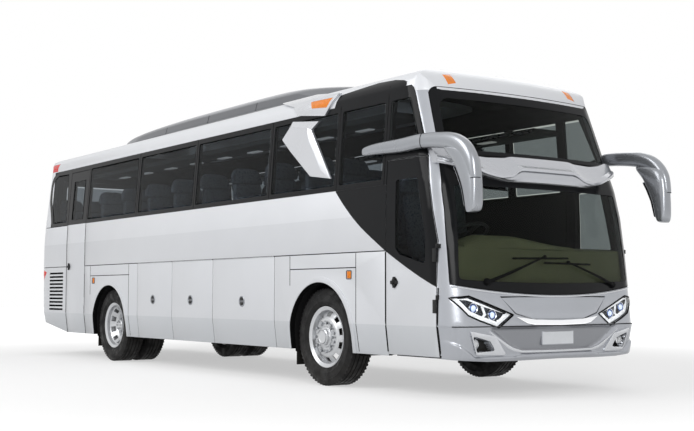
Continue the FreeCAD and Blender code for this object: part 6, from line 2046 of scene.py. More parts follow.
@dataclass
class Headlamps:
    """The two headlamps: a dark bowl with two projectors and white light strips under a clear cover."""

    outline: tuple[Point, ...] = (
        (0.562, 0.752), (0.735, 0.637), (0.930, 0.700), (1.050, 0.750), (1.190, 0.905), (1.030, 0.922),
        (0.880, 0.868)
    )
    projectors: tuple[Point, ...] = ((0.972, 0.812), (0.778, 0.752))
    depth: float = 0.05

    def strips(self) -> list[list[Point]]:
        """The light strips' outlines, as offset from the middle and height.

        Returns:
            One outline for each strip.
        """
        path = [self.outline[number] for number in (4, 3, 2, 1, 0)]
        outer = offset_outline(path, -0.012, closed=False)
        inner = offset_outline(path, -0.05, closed=False)
        lower = [*outer, *reversed(inner)]
        brow = [(0.66, 0.768), (0.88, 0.85), (1.03, 0.902), (1.15, 0.893), (1.03, 0.884), (0.885, 0.832)]
        arrow = [(0.895, 0.832), (0.868, 0.824), (0.845, 0.752), (0.885, 0.722), (0.905, 0.73), (0.872, 0.76)]
        hook = [(0.635, 0.752), (0.655, 0.76), (0.705, 0.712), (0.735, 0.706), (0.735, 0.694), (0.698, 0.7)]
        return [lower, brow, arrow, hook]

    def build(self) -> None:
        """Builds both lamps."""
        shapes: dict[str, list[Shape]] = {}
        for _, sign in SIDES:
            flip = sided(sign, self.outline)
            shapes.setdefault("headlamp_bowls", []).append(self.bowl(flip))
            for strip in self.strips():
                beam = net(sided(sign, strip), on_nose(-0.022), (0.03, 0))
                shapes.setdefault("headlamp_strips", []).append(beam)
            for y, z in self.projectors:
                self.add_projector(shapes, sign * y, z)
            cover = net(shrunk(flip, 0.003), on_nose(0.0), (0.03, 0.03))
            shapes.setdefault("headlamp_covers", []).append(cover)
            rim = seam_path(flip, on_nose(0.0), 0.02)
            shapes.setdefault("headlamp_rims", []).append(cord_along(rim, 0.0075, closed=True))
        dresses = {
            "headlamp_bowls": ("lamp_bowl", Finishing()),
            "headlamp_strips": ("lamp_strip", Finishing(wall=-0.008, bevel=0.002)),
            "headlamp_rings": ("projector_ring", Finishing()), "headlamp_bezels": ("chrome", Finishing()),
            "headlamp_lenses": ("projector_glass", Finishing()),
            "headlamp_covers": ("lamp_cover", Finishing(wall=-0.004)), "headlamp_rims": ("seam_black", BEAD)
        }
        for number, (name, (finish, finishing)) in enumerate(dresses.items()):
            nodes = ("front_lamps",) if number == 0 else ()
            piece(name, merged(*shapes[name]), finish, finishing, replaces=nodes)

    def bowl(self, outline: list[Point]) -> Shape:
        """The lamp's dark inside: a wall that narrows inwards and a back.

        Args:
            outline: The lamp's outline on one side.

        Returns:
            The bowl.
        """
        steps = ((0.001, 0.001), (0.004, 0.02), (0.012, self.depth))
        rings = [seam_path(shrunk(outline, inset), on_nose(-depth), 10.0) for inset, depth in steps]
        shell = lofted(rings, capped=False)
        return merged(shell, net(shrunk(outline, 0.012), on_nose(-self.depth), (0.03, 0)))

    def add_projector(self, shapes: dict[str, list[Shape]], across: float, height: float) -> None:
        """Adds one projector: a chrome bezel, a blue ring and a bright domed lens.

        Args:
            shapes: The lamps' shapes by piece, which gain the new ones.
            across: The projector's offset from the middle.
            height: Its height.
        """
        seat = Vector(BODY.nose(across, height, -self.depth))
        normal = (Vector(BODY.nose(across, height)) - seat).normalized()
        bezel = [(0.045, 0.0), (0.05, 0.02), (0.046, 0.03), (0.041, 0.026), (0.039, 0.01), (0.039, 0.0)]
        ring = [(0.039, 0.002), (0.038, 0.024), (0.0335, 0.03), (0.031, 0.026), (0.031, 0.004)]
        lens = [(0.031, 0.006), (0.0295, 0.022), (0.024, 0.031), (0.015, 0.037), (0.006, 0.0395), (0.0, 0.04)]
        for name, profile in (("bezels", bezel), ("rings", ring), ("lenses", lens)):
            shapes.setdefault(f"headlamp_{name}", []).append(turned(profile, seat, normal, 28))


@dataclass
class FrontBumper:
    """The bumper skin: a proud face with a sunk middle, a chin lip and two fog lamp pockets."""

    low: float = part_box("front_bumper")[0].z - 0.024
    high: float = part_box("front_bumper")[1].z
    back: float = 7.145
    row: float = 0.0085
    column: float = 0.0115
    recess_depth: float = 0.034
    lip_reach: float = 0.026
    pocket_depth: float = 0.075
    recess: tuple[Point, ...] = ((0.44, 0.386), (0.6, 0.455), (0.84, 0.612), (0.84, 0.75))
    pocket: tuple[Point, ...] = ((1.022, 0.57), (0.836, 0.52), (0.766, 0.43), (0.962, 0.42))
    surround: tuple[Point, ...] = ((1.05, 0.612), (0.779, 0.56), (0.64, 0.39), (0.965, 0.398))
    pocket_back: float = 7.2
    # the net's half length, measured round the corner
    half_round: float = 1.03 + 0.26 * 1.42 + 0.12
    edge_line: tuple[Point, ...] = ((0.3, 1.08), (0.45, 1.12), (0.65, 1.16))
    lip_line: tuple[Point, ...] = (
        (0.0, 0.392), (0.44, 0.392), (0.56, 0.372), (0.98, 0.372), (1.1, 0.47), (1.2, 0.52)
    )
    foot_line: tuple[Point, ...] = ((0.0, 0.007), (0.5, 0.0), (0.85, 0.0), (1.25, 0.024))
    lamp: Point = (0.95, 0.492)
    lamp_depth: float = 0.045
    bezel: tuple[Point, ...] = ((0.03, -0.03), (0.046, 0.0), (0.046, 0.018), (0.04, 0.022), (0.037, 0.012))
    lens: tuple[Point, ...] = ((0.038, 0.01), (0.034, 0.024), (0.022, 0.034), (0.0, 0.038))
    # the lower edge of the bright strips of painted highlight on the recess's shoulders, and their widths
    # along it
    highlight_strip: tuple[Point, ...] = (
        (0.85, 0.6), (0.72, 0.512), (0.62, 0.448), (0.56, 0.424), (0.46, 0.405), (0.2, 0.402), (0.0, 0.402)
    )
    highlight_strip_widths: tuple[Point, ...] = ((0.0, 0.022), (0.45, 0.022), (0.62, 0.034), (0.85, 0.012))
    joint_half: float = 1.19
    plate: Oblong = (-0.21, 0.468, 0.21, 0.6)
    plate_spot: float = 0.54

    def outward(self, side: float, height: float) -> float:
        """How far the skin stands out from the plain nose at an offset and a height.

        Args:
            side: The offset from the middle.
            height: The height.

        Returns:
            The distance, negative where the skin is sunk.
        """
        edge = follow(self.edge_line, height)
        face = 0.012 * smooth_step(edge + 0.012, edge - 0.02, side)
        depth = inside([*self.recess, *flipped(self.recess)], side, height)
        fade = smooth_step(0.652, 0.612, height)
        sunk = smooth_step(0.0, 0.045, depth) * self.recess_depth * fade
        lip_top = follow(self.lip_line, side)
        lip = smooth_step(lip_top + 0.012, lip_top - 0.006, height) * smooth_step(1.24, 1.08, side)
        curl = smooth_step(self.low + 0.03, self.low, height) * 0.02
        pocket = smooth_step(-0.004, 0.01, inside(self.pocket, side, height)) * self.pocket_depth
        return face + lip * self.lip_reach - sunk - curl - pocket

    def plan(self, along: float, height: float) -> Place:
        """The skin at a distance round from the middle and a height.

        Args:
            along: The distance round from the middle, negative on the right.
            height: The height.

        Returns:
            The place on the skin.
        """
        reach, sign = abs(along), math.copysign(1, along)
        half = BODY.half_width - BODY.tuck("side", height)
        bow, corner = BODY.front_bow, BODY.corner
        limit = math.asin((half - corner) / (bow - corner))
        centre = BODY.nose_tip - BODY.tuck("nose", height) - bow
        inner = math.sqrt((bow - corner) ** 2 - (half - corner) ** 2)
        if reach <= bow * limit:
            spot = Vector((centre + bow * math.cos(reach / bow), bow * math.sin(reach / bow)))
            normal = Vector((math.cos(reach / bow), math.sin(reach / bow)))
        else:
            turn = limit + (reach - bow * limit) / corner
            if turn <= math.pi / 2:
                normal = Vector((math.cos(turn), math.sin(turn)))
                spot = Vector((centre + inner, half - corner)) + normal * corner
            else:
                normal = Vector((0.0, 1.0))
                spot = Vector((centre + inner - (turn - math.pi / 2) * corner, half))
        spot += normal * self.outward(spot.y, height)
        return (spot.x, sign * spot.y, height)

    def in_pocket(self, spot: Vector, normal: Vector) -> bool:
        """Whether a face lies in a fog lamp's pocket."""
        return inside(self.pocket, abs(spot.y), spot.z) > 0.004 and spot.x > station(self.pocket_back)

    def in_recess(self, spot: Vector, normal: Vector) -> bool:
        """Whether a face lies on the sunk middle."""
        return inside([*self.recess, *flipped(self.recess)], spot.y, spot.z) > 0.03 and spot.z < 0.66

    def bottom(self, side: float) -> float:
        """The skin's bottom edge at an offset from the middle."""
        return self.low + follow(self.foot_line, side)

    def build(self) -> None:
        """Builds the skin, the fog lamps and the plate."""
        half = self.half_round
        columns = round(2 * half / self.column)
        rows = round((self.high - self.low) / self.row)
        skin = bmesh.new()
        lines = []
        for along in spread(-half, half, columns):
            foot = self.bottom(min(abs(along), self.foot_line[-1][0]))
            heights = spread(foot, self.high - 0.001, rows)
            lines.append([skin.verts.new(self.plan(along, height)) for height in heights])
        limit = station(self.back)
        for first, last in zip(lines, lines[1:]):
            for row in range(rows):
                corners = (first[row], last[row], last[row + 1], first[row + 1])
                if min(corner.co.x for corner in corners) > limit:
                    skin.faces.new(corners)
        bmesh.ops.delete(skin, geom=[v for v in skin.verts if not v.link_faces], context="VERTS")
        thing = piece(
            "front_bumper_skin", skin, "face_silver",
            Finishing(wall=-0.008, smooth=math.radians(60), outward=False), replaces=("front_bumper",)
        )
        repainted(thing, "satin_black", self.in_pocket)
        repainted(thing, "face_shadow", self.in_recess)
        self.build_fog_lamps()
        self.build_highlight_strips()
        self.build_plate()

    def build_fog_lamps(self) -> None:
        """The bright surrounds and the lamps in their pockets."""
        frames, bezels, lenses = [], [], []
        for _, sign in SIDES:
            outer = sided(sign, rounded(self.surround, 0.015, 3))
            inner = sided(sign, rounded(self.pocket, 0.018, 3))
            frames.append(net(outer, on_nose(0.024), (0.03, 0), holes=(inner,)))
            across, height = sign * self.lamp[0], self.lamp[1]
            seat = Vector(BODY.nose(across, height, -self.lamp_depth))
            normal = (Vector(BODY.nose(across, height)) - seat).normalized()
            bezels.append(turned(self.bezel, seat, normal, 24))
            lenses.append(turned(self.lens, seat, normal, 24))
        piece("fog_lamp_surrounds", merged(*frames), "bright_silver", Finishing(wall=-0.016, bevel=0.004))
        piece("fog_lamp_bezels", merged(*bezels), "chrome")
        piece("fog_lamp_lenses", merged(*lenses), "white_glass")

    def build_highlight_strips(self) -> None:
        """Bright strips of painted highlight under the sunk middle and along its slanted ends, where the
        shoulders catch the light, with a dark joint above them.
        """
        edge = [*self.highlight_strip, *flipped(self.highlight_strip[:-1])]
        high = [(y, z + follow(self.highlight_strip_widths, abs(y))) for y, z in edge]
        strip = net([*edge, *reversed(high)], on_nose(0.016), (0.03, 0))
        # bright silver stands for the highlight on the recess's shoulders: painted highlight
        piece("front_bumper_trim", strip, "bright_silver", Finishing(wall=-0.012, bevel=0.003))
        path = [
            BODY.nose(across, self.high - 0.002, 0.011)
            for across in spread(-self.joint_half, self.joint_half, 60)
        ]
        piece("front_bumper_joint", cord_along(path, 0.0045), "seam_black", BEAD)

    def build_plate(self) -> None:
        """The blank number plate in its rim."""
        spot = BODY.nose(0.0, self.plate_spot)[0] - self.recess_depth + 0.018
        rim = rounded(rectangle(*self.plate), 0.012)
        piece(
            "front_plate_rim", net(rim, lambda y, z: (spot, y, z), (0, 0)), "face_silver",
            Finishing(wall=-0.02, bevel=0.003)
        )
        field = shrunk(rim, 0.009)
        piece(
            "front_plate", net(field, lambda y, z: (spot + 0.003, y, z), (0, 0)), "plate_white",
            Finishing(wall=-0.006, bevel=0.001)
        )


@dataclass
class FaceTrim:
    """The painted face around the lamps, the flap and the bright bar under it."""

    bar: tuple[Point, ...] = (
        (-0.545, 0.735), (-0.42, 0.672), (-0.33, 0.657), (0.0, 0.65), (0.33, 0.657), (0.42, 0.672),
        (0.545, 0.735), (0.3, 0.708), (0.0, 0.7), (-0.3, 0.708)
    )

    def build(self) -> None:
        """Builds the face, the flap and the bar."""
        shell = dressed_copy("front_mask", "front_face_shell", "face_silver", bevel=0.004)
        repainted(shell, "satin_black", lambda spot, normal: under_skin(spot) < -0.004 and abs(spot.y) > 1.2)
        dressed_copy("front_flap", "front_flap_leaf", "face_silver", body="front_cover", bevel=0.003)
        piece(
            "front_bright_bar", net(self.bar, on_nose(0.012), (0.05, 0)), "chrome",
            Finishing(wall=-0.016, bevel=0.005, bevel_segments=3)
        )


def on_side(sign: int, out: float) -> Surface:
    """One side's surface moved out, which gives the place at a station and a height."""
    return BODY.side(sign, out)


def facets(
    points: Sequence[tuple[float, float, float]], faces: Sequence[Sequence[int]], sign: int, foot: float
) -> Shape:
    """A folded plate on a side of the coach.

    Args:
        points: Stations, heights and how far each point stands out.
        faces: The plate's facets, as numbers of points.
        sign: The side that it is on.
        foot: How far out its edge ends on the body.

    Returns:
        The plate with a wall from its edge down to the body.
    """
    plate = bmesh.new()
    verts = [plate.verts.new(BODY.side(sign, out)(station(along), height)) for along, height, out in points]
    for face in faces:
        plate.faces.new([verts[number] for number in face])
    feet = {}
    for edge in [edge for edge in plate.edges if len(edge.link_faces) == 1]:
        for vert in edge.verts:
            if vert not in feet:
                along, height, _ = points[verts.index(vert)]
                feet[vert] = plate.verts.new(BODY.side(sign, foot)(station(along), height))
        first, last = edge.verts
        plate.faces.new((first, last, feet[last], feet[first]))
    return plate


def walled(sheet: Shape, across: float) -> Shape:
    """A sheet given thickness towards Y, from its front across to its back.

    Args:
        sheet: The sheet, which is changed.
        across: How far along Y the back lies.

    Returns:
        The same shape with its walls.
    """
    wall = bmesh.ops.extrude_face_region(sheet, geom=sheet.faces[:])
    for vert in [item for item in wall["geom"] if isinstance(item, bmesh.types.BMVert)]:
        vert.co.y += across
    return sheet


@dataclass
class BodyPanels:
    """The painted walls, skirts, luggage flaps, roof and tail, with the dark lines where they meet."""

    roof_angle: float = math.radians(26)
    seams: tuple[tuple[Point, ...], ...] = (
        ((-0.667, 1.342), (-0.667, 0.93)), ((-0.667, 1.2), (0.663, 1.2)),
        ((0.65, 1.342), (0.65, 0.64), (0.66, 0.38)), ((4.717, 1.342), (4.717, 1.03)),
        ((4.717, 1.2), (5.916, 1.2)), ((5.916, 1.342), (5.916, 0.64), (5.93, 0.38))
    )
    tail_seams: tuple[tuple[Point, ...], ...] = (
        ((-1.61, 1.978), (-2.52, 1.978)), ((-1.61, 1.35), (-2.56, 1.35)), ((-0.889, 1.35), (6.398, 1.35))
    )
    door_joints: tuple[tuple[Point, ...], ...] = (
        ((6.395, 0.4), (6.395, 1.34)), ((7.146, 0.37), (7.146, 0.995))
    )
    rear_door_joints: tuple[tuple[Point, ...], ...] = (
        ((-0.886, 0.36), (-0.886, 2.78)), ((-1.589, 0.36), (-1.589, 2.78))
    )

    def build(self) -> None:
        """Builds every painted panel and the lines on them."""
        walls = dressed_copy("side_walls", "side_wall_panels", "coach_white", bevel=0.002)
        repainted(walls, "lining_dark", hidden_edge)
        skirts = dressed_copy("skirt_panels", "skirt_panel_sheets", "coach_white", bevel=0.004)
        repainted(skirts, "seam_black", hidden_edge)
        roof = dressed_copy("roof_shell", "roof_panels", "coach_white", bevel=0.002, angle=self.roof_angle)
        repainted(roof, "lining_dark", looks_in)
        tail = dressed_copy("rear_mask", "rear_panels", "coach_white", bevel=0.004, angle=self.roof_angle)
        repainted(tail, "seam_black", hidden_edge)
        dressed_copy("engine_lid", "engine_lid_leaf", "coach_white", body="engine_cover", bevel=0.005)
        for name, _ in SIDES:
            for bay in ("front", "middle", "rear"):
                leaf = dressed_copy(
                    f"{bay}_flap_{name}", f"{bay}_bay_flap_{name}", "coach_white", body=f"{bay}_bay_{name}",
                    bevel=0.005
                )
                repainted(leaf, "seam_black", hidden_edge)
        self.build_seams()

    def build_seams(self) -> None:
        """The joints between skirt panels, drawn as fine dark beads let into the paint."""
        beads = []
        for _, sign in SIDES:
            wide = self.door_joints + (self.rear_door_joints if sign < 0 else ())
            for line in self.seams + self.tail_seams + wide:
                half = 0.011 if line in wide else 0.0058
                path = seam_path(stations(line), on_side(sign, -0.0008), 0.06, closed=False)
                beads.append(tube(path, [(half, 0.0022)] * len(path), (0, sign, 0), 8))
        piece("panel_seams", merged(*beads), "seam_black", BEAD)


@dataclass
class SideGlazing:
    """The bonded side windows: one black glazed band on each side with rounded clear panes in it."""

    low: float = 1.979
    high: float = 2.849
    rear_front: float = -1.589
    back: float = -0.885
    door_back: float = 6.398
    door_top: float = 2.215
    pillar: tuple[Point, ...] = ((6.962, 2.215), (6.725, 2.849))
    posts: tuple[float, ...] = (-0.889, 0.834, 2.480, 4.253, 5.560, 6.360)
    cap: tuple[Point, ...] = (
        (5.44, 2.849), (6.728, 2.849), (6.712, 2.885), (6.655, 2.935), (6.55, 2.976), (6.38, 3.005),
        (6.1, 3.02), (5.8, 3.0), (5.5, 2.978)
    )
    margin: float = 0.042
    sill: float = 0.052
    header: float = 0.058
    mesh: Point = (0.25, 0.09)

    def panes(self) -> list[list[Point]]:
        """The clear panes' outlines, from the back to the pillar.

        Returns:
            Outlines in stations and heights.
        """
        rows = []
        for back, front in zip(self.posts, self.posts[1:]):
            low, high = back + self.margin, front - self.margin
            rows.append(
                rounded(rectangle(low, self.low + self.sill, high, self.high - self.header), 0.035, 4)
            )
        quarter = [(6.405, 2.30), (6.88, 2.30), (6.70, 2.79), (6.405, 2.79)]
        return rows + [rounded(quarter, 0.04, 4)]

    def quarter(self) -> list[Point]:
        """The rear quarter pane, its back edge bowed and its top corner rounded.

        Returns:
            Its outline in stations and heights.
        """
        return [
            (-1.655, 2.03), (-1.72, 2.78),
            *spline(
                ((-2.12, 2.79), (-2.26, 2.74), (-2.34, 2.62), (-2.33, 2.4), (-2.25, 2.2), (-2.19, 2.03)), 4
            )
        ]

    def band(self) -> list[Point]:
        """The main band's outline, up to the slanted pillar.

        Returns:
            Its outline in stations and heights.
        """
        return [
            (self.back, self.low), (self.door_back, self.low), (self.door_back, self.door_top), *self.pillar,
            (self.back, self.high)
        ]

    def rear_band(self) -> list[Point]:
        """The band behind the emergency door, with the same rounded back.

        Returns:
            Its outline in stations and heights.
        """
        back = spline(
            ((-2.16, 2.845), (-2.34, 2.785), (-2.43, 2.64), (-2.425, 2.4), (-2.34, 2.18), (-2.27, self.low)),
            4
        )
        return [(self.rear_front, self.low), (self.rear_front, 2.845), *back]

    def build(self) -> None:
        """Builds the bands, the panes, the seams between panes and the black caps above."""
        frames, glass, joints = [], [], []
        for _, sign in SIDES:
            facing = (0, sign, 0)
            face, lining = on_side(sign, PROUD), on_side(sign, SUNK)
            panes = [stations(pane) for pane in self.panes()]
            bands = [(self.band(), panes), (self.rear_band(), [stations(self.quarter())])]
            if sign > 0:
                back, front = self.rear_front - 0.002, self.back + 0.002
                pane = rectangle(back + 0.06, 2.03, front - 0.06, 2.79)
                outline = rectangle(back, self.low, front, self.high)
                bands.append((outline, [stations(rounded(pane, 0.035, 4))]))
            for outline, holes in bands:
                frames.append(net(stations(outline), face, self.mesh, holes, facing))
                glass += [net(shrunk(hole, -0.02), lining, self.mesh, (), facing) for hole in holes]
            frames.append(net(stations(self.cap), face, self.mesh, (), facing))
            lintel = rectangle(-1.586, 2.784, -0.887, 2.849)
            frames.append(net(stations(lintel), face, self.mesh, (), facing))
            for post in self.posts[1:5]:
                line = stations([(post, self.low), (post, self.high)])
                joints.append(cord_along(seam_path(line, face, 0.1, False), 0.003, sides=5))
            line = stations([(self.posts[5], self.low), (self.posts[5], 2.94)])
            joints.append(cord_along(seam_path(line, face, 0.1, False), 0.0035, sides=5))
        sheet = Finishing(wall=-0.0025)
        piece("side_window_frames", merged(*frames), "gloss_black", sheet)
        piece("side_window_panes", merged(*glass), "tinted_pane", PANE, replaces=("window_panes",))
        piece("side_window_joints", merged(*joints), "seam_black", BEAD)


@dataclass
class Swoop:
    """The black sweep that runs from the windows down across each front door, and those doors."""

    wall: tuple[Point, ...] = ((5.56, 1.966), (5.728, 1.805), (6.002, 1.588), (6.386, 1.353), (6.4, 1.345))
    door: tuple[Point, ...] = ((6.408, 1.341), (6.56, 1.262), (6.714, 1.186), (6.9, 1.1), (7.131, 1.004))
    door_front: tuple[Point, ...] = ((7.131, 1.42), (6.963, 2.205))
    glass: tuple[Point, ...] = (
        (6.548, 2.012), (6.548, 1.37), (6.612, 1.31), (6.985, 1.215), (6.99, 1.47), (6.9, 1.85),
        (6.868, 2.012)
    )
    mesh: Point = (0.1, 0.08)
    doors: tuple[tuple[str, str], ...] = (
        ("driver_door", "driver_door_leaf"), ("entry_door", "entry_door_leaf")
    )

    def build(self) -> None:
        """Builds the sweep on the walls, then each front door with its glass and its handle."""
        sheets = []
        for _, sign in SIDES:
            outline = [*spline(self.wall, 5), (6.4, 1.9785), (5.56, 1.9785)]
            sheets.append(net(stations(outline), on_side(sign, PROUD), self.mesh, (), (0, sign, 0)))
        piece("side_sweep_sheets", merged(*sheets), "gloss_black", SHEET)
        for (door, body), (_, sign) in zip(self.doors, SIDES):
            self.build_door(door, body, sign)

    def build_door(self, door: str, body: str, sign: int) -> None:
        """One front door: its white leaf, its black upper part, its pane and its handle.

        Args:
            door: The door's node.
            body: The body that it moves with.
            sign: 1 for the left side, -1 for the right.
        """
        leaf = dressed_copy(door, f"{door}_leaf", "coach_white", body=body, bevel=0.004)
        repainted(leaf, "satin_black", edge_or_strap)
        corner = stations([(6.5, 1.165), (6.79, 1.165), (6.79, 1.17), (6.7, 1.215), (6.5, 1.315)])
        patch = net(corner, on_side(sign, 0.0003), self.mesh, (), (0, sign, 0))
        piece(f"{door}_corner_patch", patch, "coach_white", Finishing(wall=-0.0015), body=body)
        hole = stations(rounded(self.glass, 0.03, 3))
        outline = stations([*self.door, *self.door_front, (6.408, 2.205)])
        facing = (0, sign, 0)
        black = net(outline, on_side(sign, PROUD), self.mesh, (hole,), facing)
        piece(f"{door}_black_sheet", black, "gloss_black", SHEET, body=body)
        pane = net(shrunk(hole, -0.012), on_side(sign, SUNK), self.mesh, (), facing)
        piece(f"{door}_pane", pane, "tinted_pane", PANE, body=body, replaces=(f"{door}_glass",))
        Handle((6.535, 1.05), sign).build(f"{door}_handle", body)


@dataclass
class Handle:
    """A flush cross-shaped door handle in a shallow black cup."""

    place: Point
    sign: int
    arm: float = 0.052
    thick: float = 0.017

    def build(self, name: str, body: str) -> None:
        """Builds the cup, the cross and its lock barrel on a body.

        Args:
            name: The piece's name.
            body: The body that it rides on.
        """
        along, height = self.place
        spot = BODY.side(self.sign)(station(along), height)
        axis = (0, self.sign, 0)
        cup = [(0.0, 0.0005), (0.038, 0.0005), (0.04, 0.004), (0.046, 0.004), (0.047, -0.004)]
        shapes = [turned(cup, spot, axis, 28)]
        for wide, high in ((self.arm, self.thick), (self.thick, self.arm)):
            bar = rounded(rectangle(-wide, -high, wide, high), 0.009, 3)
            outline = [(station(along) + u, height + v) for u, v in bar]
            plate = net(outline, on_side(self.sign, 0.014), (0, 0), (), axis)
            shapes.append(walled(plate, -self.sign * 0.013))
        shapes.append(turned([(0.0, 0.017), (0.008, 0.017), (0.01, 0.014), (0.01, 0.0)], spot, axis, 16))
        piece(name, merged(*shapes), "satin_black", Finishing(bevel=0.0015), body=body)


@dataclass
class BayLocks:
    """The round locks on the luggage flaps: a bright ring around a dark cup with two finger wedges."""

    places: tuple[tuple[str, float, float], ...] = (
        ("rear", 1.407, 0.867), ("middle", 2.452, 0.865), ("front", 3.705, 0.857)
    )
    radius: float = 0.062

    def build(self) -> None:
        """Builds a lock on every flap."""
        for name, sign in SIDES:
            for bay, along, height in self.places:
                spot = BODY.side(sign)(station(along), height)
                axis, r = (0, sign, 0), self.radius
                ring = turned(
                    [(r, -0.003), (r, 0.005), (r - 0.005, 0.008), (r - 0.011, 0.006), (r - 0.013, 0.001)],
                    spot, axis, 36
                )
                cup = turned([(r - 0.011, 0.002), (0.03, 0.0015), (0.0, 0.0015)], spot, axis, 36)
                body = f"{bay}_bay_{name}"
                piece(f"{bay}_lock_ring_{name}", ring, "mirror_silver", body=body)
                piece(f"{bay}_lock_cup_{name}", cup, "pod_grey", body=body)
                wedges = [self.wedge(station(along), height, sign, turn) for turn in (-1, 1)]
                piece(
                    f"{bay}_lock_wedges_{name}", merged(*wedges), "satin_black", Finishing(bevel=0.001),
                    body=body
                )

    def wedge(self, along: float, height: float, sign: int, turn: int) -> Shape:
        """One finger wedge, above or below the lock's bar.

        Args:
            along: The lock's place along X.
            height: Its height.
            sign: 1 for the left side, -1 for the right.
            turn: 1 above the bar, -1 below it.

        Returns:
            The wedge.
        """
        steps = 10
        arc = [math.pi * (0.14 + 0.72 * n / steps) for n in range(steps + 1)]
        reach = self.radius - 0.018
        outline = [(along + reach * math.cos(a), height + turn * reach * math.sin(a)) for a in arc]
        outline += [(along - 0.03, height + turn * 0.012), (along + 0.03, height + turn * 0.012)]
        wedge = net(outline, on_side(sign, 0.006), (0, 0), (), (0, sign, 0))
        return walled(wedge, -sign * 0.005)


@dataclass
class EmergencyDoor:
    """The door behind the rear wheel on the right: white below, glazed black above."""

    back: float = -1.581
    front: float = -0.893
    low: float = 1.981
    high: float = 2.776
    window: tuple[Point, ...] = ((-1.45, 2.045), (-1.024, 2.045), (-1.024, 2.645), (-1.45, 2.645))

    def build(self) -> None:
        """Builds the leaf, its black glazing, its pane and its handle."""
        body, facing = "emergency_door_leaf", (0, -1, 0)
        leaf = dressed_copy("emergency_door", "emergency_door_sheet", "coach_white", body=body, bevel=0.004)
        repainted(leaf, "satin_black", edge_or_strap)
        hole = stations(rounded(self.window, 0.03, 4))
        outline = stations(rectangle(self.back, self.low, self.front, self.high))
        black = net(outline, on_side(-1, PROUD), (0.2, 0.09), (hole,), facing)
        piece("emergency_door_glazing", black, "gloss_black", SHEET, body=body)
        pane = net(shrunk(hole, -0.012), on_side(-1, SUNK), (0.2, 0.09), (), facing)
        piece("emergency_door_pane", pane, "tinted_pane", PANE, body=body, replaces=("emergency_door_glass",))
        edge = seam_path(shrunk(hole, -0.006), on_side(-1, 0.002), 0.1)
        piece(
            "emergency_door_seal", cord_along(edge, 0.006, closed=True, sides=8, finish="satin_black"),
            "satin_black", BEAD, body=body
        )
        Handle((-1.49, 1.35), -1).build("emergency_door_handle", body)


@dataclass
class WingPlates:
    """The folded silver plates over the windows and the fairings above them."""

    points: tuple[tuple[float, float, float], ...] = (
        (4.486, 2.622, 0.02), (4.684, 2.800, 0.022), (5.191, 2.744, 0.022), (5.063, 2.667, 0.026),
        (5.472, 2.113, 0.018), (5.089, 2.169, 0.018), (4.666, 2.477, 0.02), (4.677, 2.751, 0.038),
        (5.010, 2.687, 0.042), (5.045, 2.569, 0.044), (5.300, 2.215, 0.03)
    )
    faces: tuple[tuple[int, ...], ...] = (
        (0, 1, 7), (1, 2, 8, 7), (2, 3, 8), (3, 9, 8), (3, 4, 10, 9), (6, 5, 4, 10), (0, 7, 8, 9, 10, 6)
    )

    def build(self) -> None:
        """Builds both plates and both fairings."""
        plates = [facets(self.points, self.faces, sign, -0.006) for _, sign in SIDES]
        piece(
            "wing_plates", merged(*plates), "bright_silver", Finishing(bevel=0.004, smooth=math.radians(12)),
            replaces=("side_wings",)
        )
        dressed_copy(
            "side_wings", "roof_fairings", "bright_silver", bevel=0.006, part=lambda centre: centre.z > 2.8
        )


